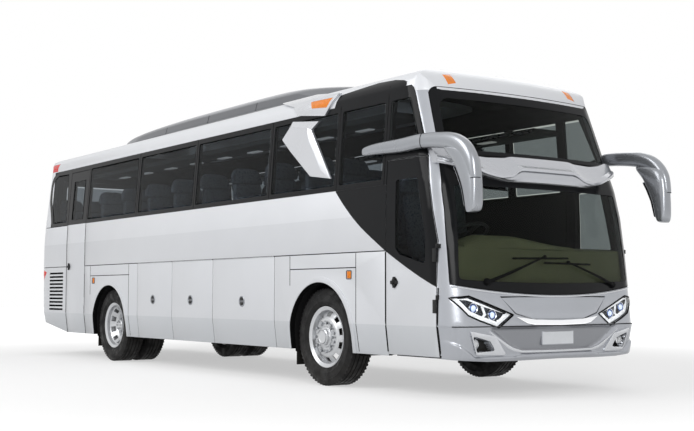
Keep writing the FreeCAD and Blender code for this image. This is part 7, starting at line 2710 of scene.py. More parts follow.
@dataclass
class RoofPod:
    """The long roof unit: a swept silver shell with painted shade on its sides, darker towards their foot,
    and dark panels let into them.
    """

    base: float = 3.0
    backbone: tuple[tuple[float, ...], ...] = (
        # station, top height, half width
        (-0.745, 3.085, 0.69),
        (-0.72, 3.125, 0.735),
        (-0.62, 3.172, 0.79),
        (-0.40, 3.216, 0.835),
        (0.0, 3.25, 0.858),
        (0.6, 3.278, 0.866),
        (1.6, 3.3, 0.867),
        (3.4, 3.304, 0.867),
        (4.1, 3.288, 0.866),
        (4.6, 3.245, 0.858),
        (5.05, 3.188, 0.83),
        (5.33, 3.142, 0.78),
        (5.41, 3.112, 0.745),
        (5.43, 3.085, 0.72),
    )
    profile: tuple[Point, ...] = (
        # share of the half width, share of the height
        (1.0, 0.0),
        (1.0, 0.36),
        (0.992, 0.4),
        (0.975, 0.42),
        (0.968, 0.46),
        (0.94, 0.78),
        (0.93, 0.84),
        (0.905, 0.915),
        (0.86, 0.968),
        (0.7, 0.99),
        (0.35, 0.998),
        (0.0, 1.0),
    )
    panel: tuple[Point, ...] = (
        (-0.28, 0.47), (4.35, 0.47), (4.62, 0.5), (4.2, 0.77), (0.1, 0.77), (-0.12, 0.7)
    )

    side_seams: tuple[float, ...] = (0.9, 2.1, 3.3)
    top_seams: tuple[float, ...] = (0.3, 1.9, 3.5)
    fans: tuple[float, ...] = (0.8, 2.4)
    fan_length: float = 0.65
    louvres: int = 14
    louvre_pitch: float = 0.05

    def spot(self, along: float, share: float, out: float = 0.0) -> tuple[float, float, float]:
        """A place on the right half of the shell, by its station and its share of the profile's height.

        Args:
            along: The station.
            share: The share of the height.
            out: How far outside the shell.

        Returns:
            The place.
        """
        backbone = self.backbone
        top = follow([(row[0], row[1]) for row in backbone], along)
        half = follow([(row[0], row[2]) for row in backbone], along)
        width = follow([(high, wide) for wide, high in self.profile[:9]], share)
        return (station(along), half * width + out, mixed(self.base, top, share))

    def crown_at(self, along: float, share: float) -> float:
        """The height of the shell's top at a station and a share of its half width.

        Args:
            along: The station.
            share: The share of the half width.

        Returns:
            The height.
        """
        top = follow([(row[0], row[1]) for row in self.backbone], along)
        return mixed(self.base, top, follow([(wide, high) for wide, high in self.profile[:6:-1]], share))

    def build(self) -> None:
        """Builds the shell, its side panels and the seams across its top."""
        rings = []
        for along, top, half in spline(self.backbone, 5):
            right = [
                (station(along), -half * wide, mixed(self.base, top, high)) for wide, high in self.profile
            ]
            left = [(x, -y, z) for x, y, z in reversed(right[:-1])]
            rings.append(right + left)
        finishing = Finishing(smooth=math.radians(35))
        shell = piece("roof_unit_shell", lofted(rings), "pod_silver", finishing, replaces=("roof_unit",))
        # the shell's sides get painted shade, darker towards their foot
        repainted(shell, "pod_side", lambda spot, normal: abs(normal.y) > 0.5)
        panels, seams = [], []
        for _, sign in SIDES:

            def lay(along: float, share: float, sign: int = sign) -> Place:
                """The place on this side of the shell at a station and a share of its height."""
                x, y, z = self.spot(along, share, 0.003)
                return (x, sign * y, z)

            panels.append(net(rounded(self.panel, 0.05, 3), lay, (0.2, 0.06), (), (0, sign, 0)))
            for along in self.side_seams:
                seams.append(cord_along([lay(along, share / 40) for share in range(18, 32)], 0.003, sides=5))
        piece("roof_unit_side_panels", merged(*panels), "pod_grey", Finishing(wall=-0.006, bevel=0.001))
        for along in self.top_seams:
            half, shares = self.spot(along, 0.36)[1], [number / 10 for number in range(-8, 9)]
            path = [(station(along), half * share, self.crown_at(along, abs(share))) for share in shares]
            seams.append(cord_along(path, 0.004, sides=5))
        piece("roof_unit_seams", merged(*seams), "seam_black", BEAD)
        self.build_louvres()

    def build_louvres(self) -> None:
        """Rows of louvres for the fans in the unit's top."""
        rows = []
        for along in self.fans:
            start, end = self.crown_at(along, 0.0), self.crown_at(along + self.fan_length, 0.0)
            step = (self.louvre_pitch, 0.0, (end - start) / (self.louvres - 1))
            first = (station(along), 0.0, start - 0.002)
            rows.append(
                row_of(
                    Instance.BLOCK, self.louvres, first, step, (0.012, 0.9, 0.012), (0.0, 0.5, 0.0),
                    "satin_black"
                )
            )
        piece("roof_unit_louvres", merged(*rows), "satin_black")


@dataclass
class MarkerLamps:
    """The small lamps on the roof's front, its rear corners, the fairings and the skirts."""

    parting: float = -1.0
    skirt_lamps: tuple[float, ...] = (-0.55, 5.80)
    half: float = 0.041
    low: float = 1.089
    high: float = 1.171

    def build(self) -> None:
        """Builds the amber and the red lamps."""
        dressed_copy(
            "marker_lamps", "amber_markers", "amber_glass", bevel=0.004,
            part=lambda centre: centre.x > station(self.parting)
        )
        red = dressed_copy(
            "marker_lamps", "red_markers", "red_glass", bevel=0.004,
            part=lambda centre: centre.x < station(self.parting)
        )
        repainted(red, "seam_black", lambda spot, normal: under_skin(spot) > 0.012)
        rims = []
        for _, sign in SIDES:
            for along in self.skirt_lamps:
                back, front = along - self.half, along + self.half
                lens = stations(rounded(rectangle(back, self.low, front, self.high), 0.012, 3))
                path = seam_path(lens, on_side(sign, 0.001), 0.03)
                rims.append(cord_along(path, 0.004, closed=True, sides=8, finish="satin_black"))
        piece("side_marker_rims", merged(*rims), "satin_black", BEAD)


@dataclass
class RearEnd:
    """The tail: its lamps, its window, the louvred engine lid and black sheets of painted shade behind the
    grille.
    """

    window: Oblong = (-0.9, 2.13, 0.9, 2.76)
    clear: Oblong = (-0.83, 2.2, 0.83, 2.69)
    grille: Oblong = (-2.31, 0.665, -1.68, 1.3)
    heart: tuple[Point, ...] = ((-2.69, 1.16), (-2.63, 1.2), (-2.52, 1.268), (-2.66, 1.3), (-2.7, 1.26))
    plate: Oblong = (-0.26, 0.70, 0.26, 0.82)
    louvre_middle: float = 0.38
    louvre_foot: float = 0.92
    grip_height: float = 1.285

    def build(self) -> None:
        """Builds everything on the tail."""
        dressed_copy("tail_lamps", "tail_lamp_lenses", "red_glass", bevel=0.006)
        self.build_signals()
        self.build_grille_backing()
        outline = rounded(rectangle(*self.window), 0.05, 4)
        clear = rounded(rectangle(*self.clear), 0.06, 5)
        back = (-1, 0, 0)
        piece(
            "rear_window_frame", net(outline, on_tail(PROUD), (0.15, 0.1), (clear,), back), "gloss_black",
            Finishing(wall=-0.003)
        )
        piece(
            "rear_window_pane", net(shrunk(clear, -0.02), on_tail(SUNK), (0.15, 0.1), (), back),
            "tinted_pane", Finishing(wall=-0.004)
        )
        self.build_louvres()

    def build_grille_backing(self) -> None:
        """Black sheets of painted shade behind the slots beside the engine, so that the slots look dark and
        not the lamps behind them.
        """
        outline = stations(rectangle(*self.grille))
        sheets = [net(outline, on_side(sign, -0.04), (0.2, 0.2), (), (0, sign, 0)) for _, sign in SIDES]
        # black sheets that stand for the shade inside the slots: painted shade
        piece("grille_backing", merged(*sheets), "seam_black", Finishing(wall=-0.003))

    def build_signals(self) -> None:
        """The orange hearts of the tail lamps, on their outer faces."""
        hearts = []
        for _, sign in SIDES:
            hearts.append(
                net(rounded(stations(self.heart), 0.02, 3), on_side(sign, 0.003), (0.04, 0), (), (0, sign, 0))
            )
        piece("tail_signal_hearts", merged(*hearts), "amber_glass", Finishing(wall=-0.006, bevel=0.001))

    def build_louvres(self) -> None:
        """Louvres, a grip and a blank plate on the engine lid."""
        spot = BODY.tail(0.0, 1.0, -0.005)
        rows = [
            row_of(
                Instance.BLOCK, 9, (spot[0], side * self.louvre_middle, self.louvre_foot), (0.0, 0.0, 0.036),
                (0.012, 0.5, 0.01), (0.0, 0.7, 0.0), "satin_black"
            )
            for side in (-1, 1)
        ]
        piece("engine_lid_louvres", merged(*rows), "satin_black", body="engine_cover")
        outline = rounded(rectangle(*self.plate), 0.012, 3)
        piece(
            "rear_plate", net(outline, on_tail(0.003), (0.1, 0), (), (-1, 0, 0)), "plate_white",
            Finishing(wall=-0.008, bevel=0.002), body="engine_cover"
        )
        grip = [BODY.tail(y / 100, self.grip_height, -0.001) for y in range(-12, 13, 2)]
        piece(
            "engine_lid_grip", tube(grip, [(0.006, 0.006)] * len(grip), sides=12), "satin_black",
            body="engine_cover"
        )


@dataclass
class Tyre:
    """One tyre: its carcass with four grooves, sidewall rings, and shoulder blocks."""

    node: str
    middle: float
    sign: int
    bead: float = 0.294
    lip: float = 0.316
    rim_half: float = 0.099
    groove: float = 0.011
    groove_half: float = 0.005
    segments: int = 120

    def profile(self) -> list[Point]:
        """The section from the inner bead over the tread to the outer bead.

        Returns:
            Radii and places along the axle.
        """
        r = TYRE_RADIUS - 0.002
        side = [
            (self.bead, self.rim_half), (self.lip + 0.004, self.rim_half + 0.012),
            (self.lip + 0.02, self.rim_half + 0.026), (0.362, 0.134), (0.366, 0.1375), (0.372, 0.1375),
            (0.376, 0.1365), (0.405, 0.1395), (0.43, 0.138), (0.433, 0.1405), (0.438, 0.1405),
            (0.441, 0.1365), (0.458, 0.131), (r - 0.026, 0.1235), (r - 0.01, 0.117), (r - 0.003, 0.108)
        ]
        tread = []
        for centre in (0.072, 0.026):
            tread += [
                (r - 0.001, centre + self.groove_half + 0.001),
                (r - self.groove, centre + self.groove_half - 0.001),
                (r - self.groove, centre - self.groove_half + 0.001), (r, centre - self.groove_half - 0.001)
            ]
        half = side + tread
        return [(radius, -place) for radius, place in half] + [
            (radius, place) for radius, place in reversed(half)
        ]

    def build(self) -> Shape:
        """Builds the carcass and its blocks around the wheel's axle.

        Returns:
            The tyre's shape.
        """
        centre = middle_of(self.node)
        spot = (centre.x, self.sign * self.middle, centre.z)
        carcass = turned(self.profile(), spot, (0, self.sign, 0), self.segments)
        blocks = []
        for side in (-1, 1):
            place = (centre.x, self.sign * self.middle + side * 0.108, centre.z)
            size = (0.012, 0.02, 0.022)
            blocks.append(
                ring_of(
                    Instance.BLOCK, 64, TYRE_RADIUS - 0.0075, size, place, (math.pi / 2, 0.0, 0.0),
                    "tyre_rubber", side * 0.22
                )
            )
        return merged(carcass, *blocks)


@dataclass
class Wheels:
    """The six wheels: tyres, rims with hand holes, nuts and hubs."""

    track: float = 1.05
    twin: float = 0.72
    bead: float = 0.276
    rim_half: float = 0.115
    holes: int = 10
    segments: int = 120
    front_disc: tuple[Point, ...] = (
        (0.274, 0.045), (0.27, 0.052), (0.264, 0.056), (0.258, 0.06), (0.212, 0.092), (0.202, 0.102),
        (0.19, 0.108), (0.13, 0.114), (0.108, 0.113), (0.1, 0.106)
    )
    front_hub: tuple[Point, ...] = (
        (0.108, 0.1), (0.106, 0.122), (0.1, 0.127), (0.086, 0.128), (0.083, 0.133), (0.081, 0.15),
        (0.07, 0.158), (0.068, 0.148)
    )
    front_cap: tuple[Point, ...] = (
        (0.068, 0.148), (0.066, 0.165), (0.056, 0.1655), (0.052, 0.1625), (0.02, 0.162), (0.0, 0.162)
    )
    rear_dish: tuple[Point, ...] = (
        (0.274, 0.05), (0.268, 0.056), (0.262, 0.052), (0.256, 0.044), (0.212, -0.004), (0.2, -0.022),
        (0.188, -0.03), (0.172, -0.066), (0.16, -0.07), (0.1, -0.07)
    )
    rear_flange: tuple[Point, ...] = (
        (0.105, -0.075), (0.105, -0.055), (0.1, -0.05), (0.084, -0.048), (0.08, -0.02), (0.076, 0.03),
        (0.07, 0.036), (0.0, 0.036)
    )

    def build(self) -> None:
        """Builds every wheel on its body."""
        for name, sign in SIDES:
            self.build_front(name, sign)
            self.build_rear(name, sign)

    def has_metal(self, step: int, segment: int, band: int) -> bool:
        """Whether the disc is solid at a profile step and a segment, with its hand holes in one band."""
        share = (segment / self.segments * self.holes) % 1.0
        return step != band or not 0.14 < share < 0.66

    def barrel(self, centre: Vector, middle: float, sign: int) -> Shape:
        """The rim's well with its rolled lips, seen from both sides.

        Args:
            centre: The wheel's centre.
            middle: How far from the coach's middle the rim lies.
            sign: 1 for the left side, -1 for the right.

        Returns:
            The barrel.
        """
        half = self.rim_half
        profile = [
            (0.279, -half + 0.02), (0.3, -half + 0.016), (0.312, -half + 0.008), (0.314, -half + 0.001),
            (0.309, -half), (0.303, -half + 0.004), (0.29, -half + 0.008), (self.bead, -half + 0.016),
            (self.bead - 0.006, -0.03), (self.bead - 0.006, 0.03), (self.bead, half - 0.016),
            (0.29, half - 0.008), (0.303, half - 0.004), (0.309, half), (0.314, half - 0.001),
            (0.312, half - 0.008), (0.3, half - 0.016), (0.279, half - 0.02)
        ]
        return turned(profile, (centre.x, sign * middle, centre.z), (0, sign, 0), self.segments)

    def disc(self, profile: Sequence[Point], band: int, centre: Vector, sign: int) -> Shape:
        """A pressed disc with its ring of hand holes and some thickness.

        Args:
            profile: Radii and places along the axle.
            band: The profile's step that has the hand holes.
            centre: The wheel's centre.
            sign: 1 for the left side, -1 for the right.

        Returns:
            The disc.
        """
        spot = (centre.x, sign * self.track, centre.z)

        def solid(step: int, segment: int) -> bool:
            """Whether this disc is solid at a profile step and a segment."""
            return self.has_metal(step, segment, band)

        disc = turned(profile, spot, (0, sign, 0), self.segments, solid)
        disc.normal_update()
        bmesh.ops.reverse_faces(disc, faces=[face for face in disc.faces if face.normal.y * sign < 0])
        bmesh.ops.solidify(disc, geom=disc.faces[:], thickness=0.012)
        return disc

    def nuts(self, centre: Vector, place: float, radius: float, sign: int, count: int = 10) -> Shape:
        """The wheel's nuts with a washer under each.

        Args:
            centre: The wheel's centre.
            place: How far outside the tyre's middle they sit.
            radius: The bolt circle's radius.
            sign: 1 for the left side, -1 for the right.
            count: How many nuts there are.

        Returns:
            The nuts and washers.
        """
        spot = (centre.x, sign * (self.track + place), centre.z)
        turn = (-sign * math.pi / 2, 0.0, 0.0)
        nuts = ring_of(Instance.NUT, count, radius, (0.0155, 0.0135, 0.028), spot, turn, "nut_steel")
        washers = ring_of(
            Instance.NUT, count, radius, (0.02, 0.02, 0.005), spot, turn, "nut_steel", start=0.3
        )
        return merged(nuts, washers)

    def build_front(self, name: str, sign: int) -> None:
        """A front wheel: a domed disc, its nuts close to a long hub.

        Args:
            name: The side's name.
            sign: 1 for the left side, -1 for the right.
        """
        body = f"front_wheel_{name}"
        tyre = Tyre(f"front_tyre_{name}", self.track, sign)
        piece(
            f"front_tyre_{name}_tread", tyre.build(), "tyre_rubber",
            Finishing(smooth=math.radians(26), outward=False), body=body, replaces=(f"front_tyre_{name}",)
        )
        centre = middle_of(f"front_rim_{name}")
        rim = merged(self.barrel(centre, self.track, sign), self.disc(self.front_disc, 3, centre, sign))
        piece(f"front_rim_{name}_steel", rim, "wheel_silver", body=body, replaces=(f"front_rim_{name}",))
        spot = (centre.x, sign * self.track, centre.z)
        piece(
            f"front_hub_{name}", turned(self.front_hub, spot, (0, sign, 0), 60), "wheel_silver", body=body,
        )
        piece(f"front_cap_{name}", turned(self.front_cap, spot, (0, sign, 0), 60), "wheel_silver", body=body)
        piece(f"front_nuts_{name}", self.nuts(centre, 0.124, 0.15, sign), "nut_steel", body=body)

    def build_rear(self, name: str, sign: int) -> None:
        """Twin rear wheels: a deep dish, its nuts and a drive flange in its middle.

        Args:
            name: The side's name.
            sign: 1 for the left side, -1 for the right.
        """
        body = f"rear_wheels_{name}"
        pair = [Tyre(f"rear_tyre_{name}", middle, sign).build() for middle in (self.track, self.twin)]
        piece(
            f"rear_tyres_{name}_tread", merged(*pair), "tyre_rubber",
            Finishing(smooth=math.radians(26), outward=False), body=body, replaces=(f"rear_tyre_{name}",)
        )
        centre = middle_of(f"rear_rim_{name}")
        shapes = [self.barrel(centre, middle, sign) for middle in (self.track, self.twin)]
        shapes.append(
            turned(
                [(0.27, -0.33), (0.27, -0.1)], (centre.x, sign * self.track, centre.z), (0, sign, 0),
                self.segments
            )
        )
        shapes.append(self.disc(self.rear_dish, 3, centre, sign))
        piece(
            f"rear_rim_{name}_steel", merged(*shapes), "wheel_silver", body=body,
            replaces=(f"rear_rim_{name}",)
        )
        spot = (centre.x, sign * self.track, centre.z)
        piece(
            f"rear_flange_{name}", turned(self.rear_flange, spot, (0, sign, 0), 60), "wheel_silver",
            body=body
        )
        small = ring_of(
            Instance.NUT, 8, 0.056, (0.01, 0.009, 0.014), (centre.x, sign * (self.track + 0.041), centre.z),
            (-sign * math.pi / 2, 0.0, 0.0), "nut_steel"
        )
        piece(f"rear_flange_bolts_{name}", small, "nut_steel", body=body)
        piece(f"rear_nuts_{name}", self.nuts(centre, -0.056, 0.135, sign), "nut_steel", body=body)


@dataclass
class RunningGear:
    """The floors and all that is under them, each a softened copy of its own node in its own finish."""

    nodes: tuple[tuple[str, str, str, float], ...] = (
        ("chassis_frame", "chassis_black", "coach", 0.004), ("front_axle_beam", "cast_iron", "coach", 0.006),
        ("rear_axle_casing", "cast_iron", "coach", 0.004), ("leaf_springs", "chassis_black", "coach", 0.003),
        ("engine_block", "cast_iron", "coach", 0.02), ("wheel_housings", "flap_rubber", "coach", 0.002),
        ("knuckle_right", "cast_iron", "right_knuckle", 0.003),
        ("knuckle_left", "cast_iron", "left_knuckle", 0.003),
        ("track_rod", "chassis_black", "steering_rod", 0.002), ("luggage_bays", "bay_lining", "coach", 0.002),
        ("saloon_floor", "floor_vinyl", "coach", 0.0), ("cab_floor", "floor_vinyl", "coach", 0.002),
        ("door_steps", "floor_vinyl", "coach", 0.003)
    )

    def build(self) -> None:
        """Builds every copy."""
        for node, finish, body, bevel in self.nodes:
            dressed_copy(node, f"{node}_finished", finish, body, bevel)


@dataclass
class Dashboard:
    """The dashboard with its hood, instruments and vents, and the steering wheel on its column."""

    wheel_middle: float = 0.56
    top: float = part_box("dashboard")[1].z
    dials: tuple[Point, ...] = ((-0.13, 0.055), (0.0, 0.04), (0.13, 0.055))
    vents: tuple[float, ...] = (0.05, 0.4, 0.75)
    vent_height: float = 1.24
    hood: tuple[Point, ...] = ((-1.0, 0.0), (-0.86, 0.09), (-0.34, 0.09), (0.14, 0.014), (0.36, 0.0))

    def build(self) -> None:
        """Builds the board and what stands on it."""
        dressed_copy("dashboard", "dashboard_board", "dash_khaki", bevel=0.02)
        low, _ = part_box("dashboard")
        face = low.x - 0.004
        y = -self.wheel_middle
        outline = rounded(rectangle(y - 0.24, self.top - 0.17, y + 0.24, self.top + 0.03), 0.04)
        cluster = net(outline, lambda across, height: (face, across, height), (0, 0), (), (-1, 0, 0))
        piece("instrument_panel", cluster, "dash_black", Finishing(wall=-0.08, bevel=0.008))
        dials = []
        for offset, radius in self.dials:
            spot = (face - 0.001, y + offset, self.top - 0.07)
            dials.append(
                turned(
                    [
                        (radius, 0.0), (radius, 0.006), (radius - 0.006, 0.006), (radius - 0.008, 0.002),
                        (0.0, 0.002)
                    ],
                    spot, (-1, 0, 0), 28
                )
            )
        piece("instrument_dials", merged(*dials), "nut_steel")
        vents = [
            row_of(
                Instance.BLOCK, 6, (face - 0.004, place, self.vent_height), (0.0, 0.0, 0.014),
                (0.006, 0.16, 0.006), (0.0, 0.4, 0.0), "dash_black"
            )
            for place in self.vents
        ]
        piece("dashboard_vents", merged(*vents), "dash_black")
        dressed_copy("steering_column", "steering_column_cover", "dash_black", bevel=0.002)
        dressed_copy("steering_wheel", "steering_wheel_rim", "seat_leather", body="driver_wheel", bevel=0.0)
        self.build_hood()

    def build_hood(self) -> None:
        """The rounded hood over the instruments, which runs out towards the middle."""
        low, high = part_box("dashboard")
        back, foot = low.x + 0.01, self.top - 0.03
        rings = []
        for across in spread(-0.99, 0.34, 30):
            rise = 0.034 + eased(self.hood, across, 0.08)
            front = min(high.x - 0.03, BODY.nose(across, foot + rise)[0] - 0.05)
            middle, reach = (back + front) / 2, (front - back) / 2
            arc = [math.pi * step / 14 for step in range(15)]
            rings.append(
                [(middle - reach * math.cos(a), across, foot + rise * math.sin(a) ** 0.8) for a in arc]
            )
        piece("dashboard_hood", lofted(rings), "dash_khaki")


@dataclass
class Seats:
    """Eight rows of paired seats, the rear bench and the driver's seat, padded by a cloth simulation."""

    rows: int = 8
    pitch: float = 0.78
    first: float = 5.4
    floor: float = 1.15
    driver_floor: float = 0.85
    driver_front: float = 6.65
    driver_middle: float = -0.56
    bench: float = -1.82
    bench_gap: float = 0.03
    bench_pitch: float = 0.43
    bench_seats: int = 5
    width: float = 0.45
    depth: float = 0.45
    lean: float = 0.12
    rise: float = 1.16
    cells: int = 6
    frames: int = 20
    motion_cap: float = 0.02
    middles: tuple[float, ...] = (-0.915, -0.455, 0.455, 0.915)

    def pad(self, name: str, low: Place, high: Place, shear: float) -> Shape:
        """One pad puffed by a short cloth simulation.

        Args:
            name: The name of the simulated object.
            low: The pad's low corner.
            high: The pad's high corner.
            shear: How far its top stands behind its bottom.

        Returns:
            The pad in its own place, leaning back by its shear.
        """
        shape = box_shape((0, 0, 0), (1, 1, 1))
        bmesh.ops.subdivide_edges(shape, edges=shape.edges[:], cuts=self.cells, use_grid_fill=True)
        size = [b - a for a, b in zip(low, high)]
        inset = 0.9
        for vert in shape.verts:
            share = vert.co.copy()
            round_off = [1 - 0.1 * max(0.0, abs(2 * s - 1) - 0.6) * 2.5 for s in share]
            for axis in range(3):
                others = [round_off[other] for other in range(3) if other != axis]
                vert.co[axis] = low[axis] + size[axis] * (0.5 + (share[axis] - 0.5) * inset * min(others))
        mesh = bpy.data.meshes.new(name)
        shape.to_mesh(mesh)
        shape.free()
        thing = bpy.data.objects.new(name, mesh)
        bpy.context.scene.collection.objects.link(thing)
        before = [vert.co.copy() for vert in mesh.vertices]
        cloth = thing.modifiers.new("cloth", "CLOTH")
        settings = cloth.settings
        settings.quality = 5
        settings.use_pressure = True
        settings.uniform_pressure_force = 4.0
        settings.effector_weights.gravity = 0.0
        settings.tension_stiffness = settings.compression_stiffness = 40.0
        settings.bending_stiffness = 8.0
        cloth.point_cache.frame_start, cloth.point_cache.frame_end = 1, self.frames
        scene = bpy.context.scene
        for number in range(1, self.frames + 1):
            scene.frame_set(number)
        view = bpy.context.evaluated_depsgraph_get()
        made = bpy.data.meshes.new_from_object(thing.evaluated_get(view))
        puffed = bmesh.new()
        puffed.from_mesh(made)
        puffed.verts.ensure_lookup_table()
        for vert, old in zip(puffed.verts, before):
            step = vert.co - old
            if step.length > self.motion_cap:
                vert.co = old + step.normalized() * self.motion_cap
            vert.co = [min(max(c, a), b) for c, a, b in zip(vert.co, low, high)]
        bpy.data.objects.remove(thing)
        bpy.data.meshes.remove(mesh)
        bpy.data.meshes.remove(made)
        scene.frame_set(1)
        return self.sheared(puffed, low[2], high[2], shear)

    def sheared(self, shape: Shape, low: float, high: float, shear: float) -> Shape:
        """Leans a pad back with its height.

        Args:
            shape: The pad, which is changed.
            low: Its bottom's height.
            high: Its top's height.
            shear: How far its top stands back.

        Returns:
            The same pad.
        """
        for vert in shape.verts:
            vert.co.x -= shear * (vert.co.z - low) / (high - low)
        return shape

    def moved(self, shape: Shape, x: float, y: float, z: float) -> Shape:
        """A copy of a pad moved to a place.

        Args:
            shape: The pad.
            x: The way along X.
            y: The way along Y.
            z: The way up.

        Returns:
            The copy.
        """
        copy = shape.copy()
        for vert in copy.verts:
            vert.co += Vector((x, y, z))
        return copy

    def headrest(self) -> Shape:
        """The rounded top of a seat's back, in the pads' own place.

        Returns:
            The headrest's shape.
        """
        rings = []
        for number in range(10):
            angle = math.radians(9.2 * number)
            height = self.rise - 0.07 + 0.2 * math.sin(angle)
            draw = math.cos(angle) ** 0.4
            ahead = -self.depth - 0.05 - self.lean * (height - 0.4) / (self.rise - 0.4)
            ring = []
            for step in range(24):
                c, s = math.cos(step * math.pi / 12), math.sin(step * math.pi / 12)
                deep = powered(c, 0.6) * 0.058 * math.cos(angle) ** 0.5
                wide = powered(s, 0.5) * (self.width / 2 - 0.012) * draw
                ring.append((ahead + deep, wide, height))
            rings.append(ring)
        return lofted(rings)

    def build(self) -> None:
        """Builds the pads, copies them to every seat, and adds the frames and the headrests."""
        half = self.width / 2 - 0.012
        squab = self.pad("squab", (-self.depth, -half, 0.35), (0.0, half, 0.46), 0.0)
        back = self.pad(
            "back", (-self.depth - 0.105, -half, 0.4), (-self.depth + 0.005, half, self.rise), self.lean
        )
        head = self.headrest()
        places = []
        for row in range(self.rows):
            front = station(self.first - self.pitch * row)
            places += [(front, middle, self.floor) for middle in self.middles]
        front = station(self.bench) + self.bench_gap
        for number in range(self.bench_seats):
            places.append((front, (number - self.bench_seats // 2) * self.bench_pitch, self.floor))
        places.append((station(self.driver_front), self.driver_middle, self.driver_floor))
        squabs = [self.moved(squab, *place) for place in places]
        backs = [self.moved(pad, *place) for place in places for pad in (back, head)]
        for pad in (squab, back, head):
            pad.free()
        soft = Finishing(levels=1, smooth=math.radians(70))
        cushions = piece("seat_squabs", merged(*squabs), "seat_cloth", soft, replaces=("seat_cushions",))
        rests = piece("seat_backs", merged(*backs), "seat_cloth", soft)
        dressed_copy("seat_bases", "seat_legs", "seat_frame", bevel=0.004)


@dataclass
class Racks:
    """The luggage racks with the lamps under them and a rail along each edge."""

    lamps: int = 9
    lamp_pitch: float = 0.74
    lamp_middle: float = 0.85
    rail_middle: float = 0.755
    rail_radius: float = 0.014

    def build(self) -> None:
        """Builds the shelves, the rows of lamps and the rails."""
        dressed_copy("luggage_racks", "rack_shelves", "cabin_trim", bevel=0.008)
        low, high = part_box("luggage_racks")
        rows, rails = [], []
        for _, sign in SIDES:
            rows.append(
                row_of(
                    Instance.BLOCK, self.lamps, (low.x + 0.5, sign * self.lamp_middle, low.z - 0.006),
                    (self.lamp_pitch, 0.0, 0.0), (0.24, 0.08, 0.012), (0.0, 0.0, 0.0), "lamp_strip"
                )
            )
            y = sign * self.rail_middle
            path = [(along, y, low.z + 0.03) for along in spread(low.x + 0.02, high.x - 0.02, 12)]
            rails.append(tube(path, [(self.rail_radius, self.rail_radius)] * len(path), sides=10))
        piece("rack_lamps", merged(*rows), "lamp_strip", Finishing(bevel=0.002))
        piece("rack_rails", merged(*rails), "nut_steel")


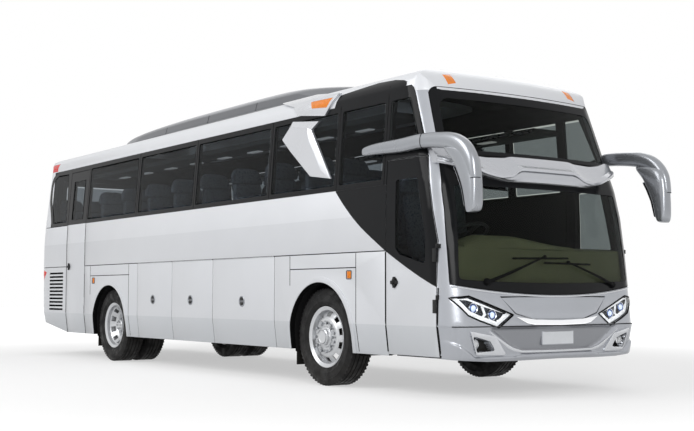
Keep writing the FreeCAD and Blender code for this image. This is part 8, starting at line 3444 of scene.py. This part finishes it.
@dataclass
class Studio:
    """The plain pale floor, the soft lamps, the white surround and the camera."""

    floor_half: float = 60.0
    camera_place: Place = (12.4475, -7.777, 0.948)
    camera_turn: float = 54.52
    camera_rise: float = 3.93
    lens: float = 58.70
    lamps: tuple[tuple[Place, float, float], ...] = (
        ((-1.0, -13.0, 9.0), 9.0, 820.0), ((15.0, -8.0, 6.0), 6.0, 740.0), ((-4.0, 9.0, 12.0), 9.0, 250.0)
    )
    sky: float = 0.5

    def build(self) -> None:
        """Builds the whole stage."""
        self.build_floor()
        self.build_world()
        for number, (place, size, power) in enumerate(self.lamps):
            self.build_lamp(number, place, size, power)
        self.build_camera()
        settings = bpy.context.scene.view_settings
        settings.view_transform = "Standard"

    def white_background(self, tree: Tree) -> Socket:
        """One where the camera, a mirror or a pane looks at the surround, else zero.

        Args:
            tree: The material's or the world's tree.

        Returns:
            The mask.
        """
        path = tree.nodes.new("ShaderNodeLightPath")
        seen = [path.outputs[name] for name in ("Is Camera Ray", "Is Glossy Ray", "Is Transmission Ray")]
        return mathed(tree, "MAXIMUM", mathed(tree, "MAXIMUM", seen[0], seen[1]), seen[2])

    def build_floor(self) -> None:
        """A large pale floor that keeps the coach's shadow."""
        sheet = bmesh.new()
        bmesh.ops.create_grid(sheet, x_segments=4, y_segments=4, size=self.floor_half)
        mesh = bpy.data.meshes.new("studio_floor")
        sheet.to_mesh(mesh)
        sheet.free()
        floor = bpy.data.objects.new("studio_floor", mesh)
        bpy.context.scene.collection.objects.link(floor)
        mesh.materials.append(self.floor_material())

    def floor_material(self) -> Material:
        """A pale matt floor that keeps the shadow and runs out into the white surround.

        Returns:
            The material.
        """
        material = Finish(
            "floor_pale", "", (0.5, 0.5, 0.5), 0.95, specular=0.05, drift=0.004, drift_scale=0.2
        ).make()
        tree = material.node_tree
        shader = tree.nodes["Principled BSDF"]
        spot = tree.nodes.new("ShaderNodeTexCoord")
        reach = tree.nodes.new("ShaderNodeVectorMath")
        reach.operation = "LENGTH"
        linked(tree, spot.outputs["Object"], reach.inputs[0])
        far = ranged(tree, reach.outputs["Value"], 5.0, 14.0, 0.5, 0.95)
        shader.inputs["Emission Color"].default_value = (1.0, 1.0, 1.0, 1.0)
        linked(
            tree, mathed(tree, "MULTIPLY", far, self.white_background(tree)),
            shader.inputs["Emission Strength"]
        )
        return material

    def build_world(self) -> None:
        """A soft even sky, white wherever it is looked at."""
        world = bpy.data.worlds.new("studio_world")
        world.use_nodes = True
        tree = world.node_tree
        background = tree.nodes["Background"]
        background.inputs["Color"].default_value = (1.0, 1.0, 1.0, 1.0)
        linked(
            tree, ranged(tree, self.white_background(tree), 0.0, 1.0, self.sky, 1.0),
            background.inputs["Strength"]
        )
        bpy.context.scene.world = world

    def build_lamp(self, number: int, place: Place, size: float, power: float) -> None:
        """One large soft lamp that looks at the coach's middle.

        Args:
            number: The lamp's number.
            place: Where it stands.
            size: Its width.
            power: Its power in watts.
        """
        light = bpy.data.lights.new(f"studio_lamp_{number}", "AREA")
        light.shape, light.size, light.energy = "DISK", size, power
        lamp = bpy.data.objects.new(light.name, light)
        bpy.context.scene.collection.objects.link(lamp)
        lamp.location = place
        lamp.rotation_euler = (Vector((1.0, 0.0, 1.2)) - lamp.location).to_track_quat("-Z", "Y").to_euler()

    def build_camera(self) -> None:
        """The camera that stands where the photograph was taken from."""
        data = bpy.data.cameras.new("photo_camera")
        data.lens, data.sensor_width = self.lens, 36.0
        camera = bpy.data.objects.new("photo_camera", data)
        bpy.context.scene.collection.objects.link(camera)
        turn, rise = math.radians(self.camera_turn), math.radians(self.camera_rise)
        back = Vector((math.sin(turn) * math.cos(rise), -math.cos(turn) * math.cos(rise), -math.sin(rise)))
        camera.location = self.camera_place
        camera.rotation_euler = (-back).to_track_quat("-Z", "Y").to_euler()
        bpy.context.scene.camera = camera


def main() -> None:
    """Builds the coach's looks, piece by piece."""
    logging.basicConfig(level=logging.INFO, format="%(message)s")
    for part in (
        Studio(), BodyPanels(), FaceTrim(), Windscreens(), Visor(), Mirrors(), Wipers(), Headlamps(),
        FrontBumper(), SideGlazing(), Swoop(), BayLocks(), EmergencyDoor(), WingPlates(), RoofPod(),
        MarkerLamps(), RearEnd(), Wheels(), RunningGear(), Dashboard(), Seats(), Racks()
    ):
        LOG.info("building %s", type(part).__name__)
        part.build()


if __name__ == "__main__":
    main()
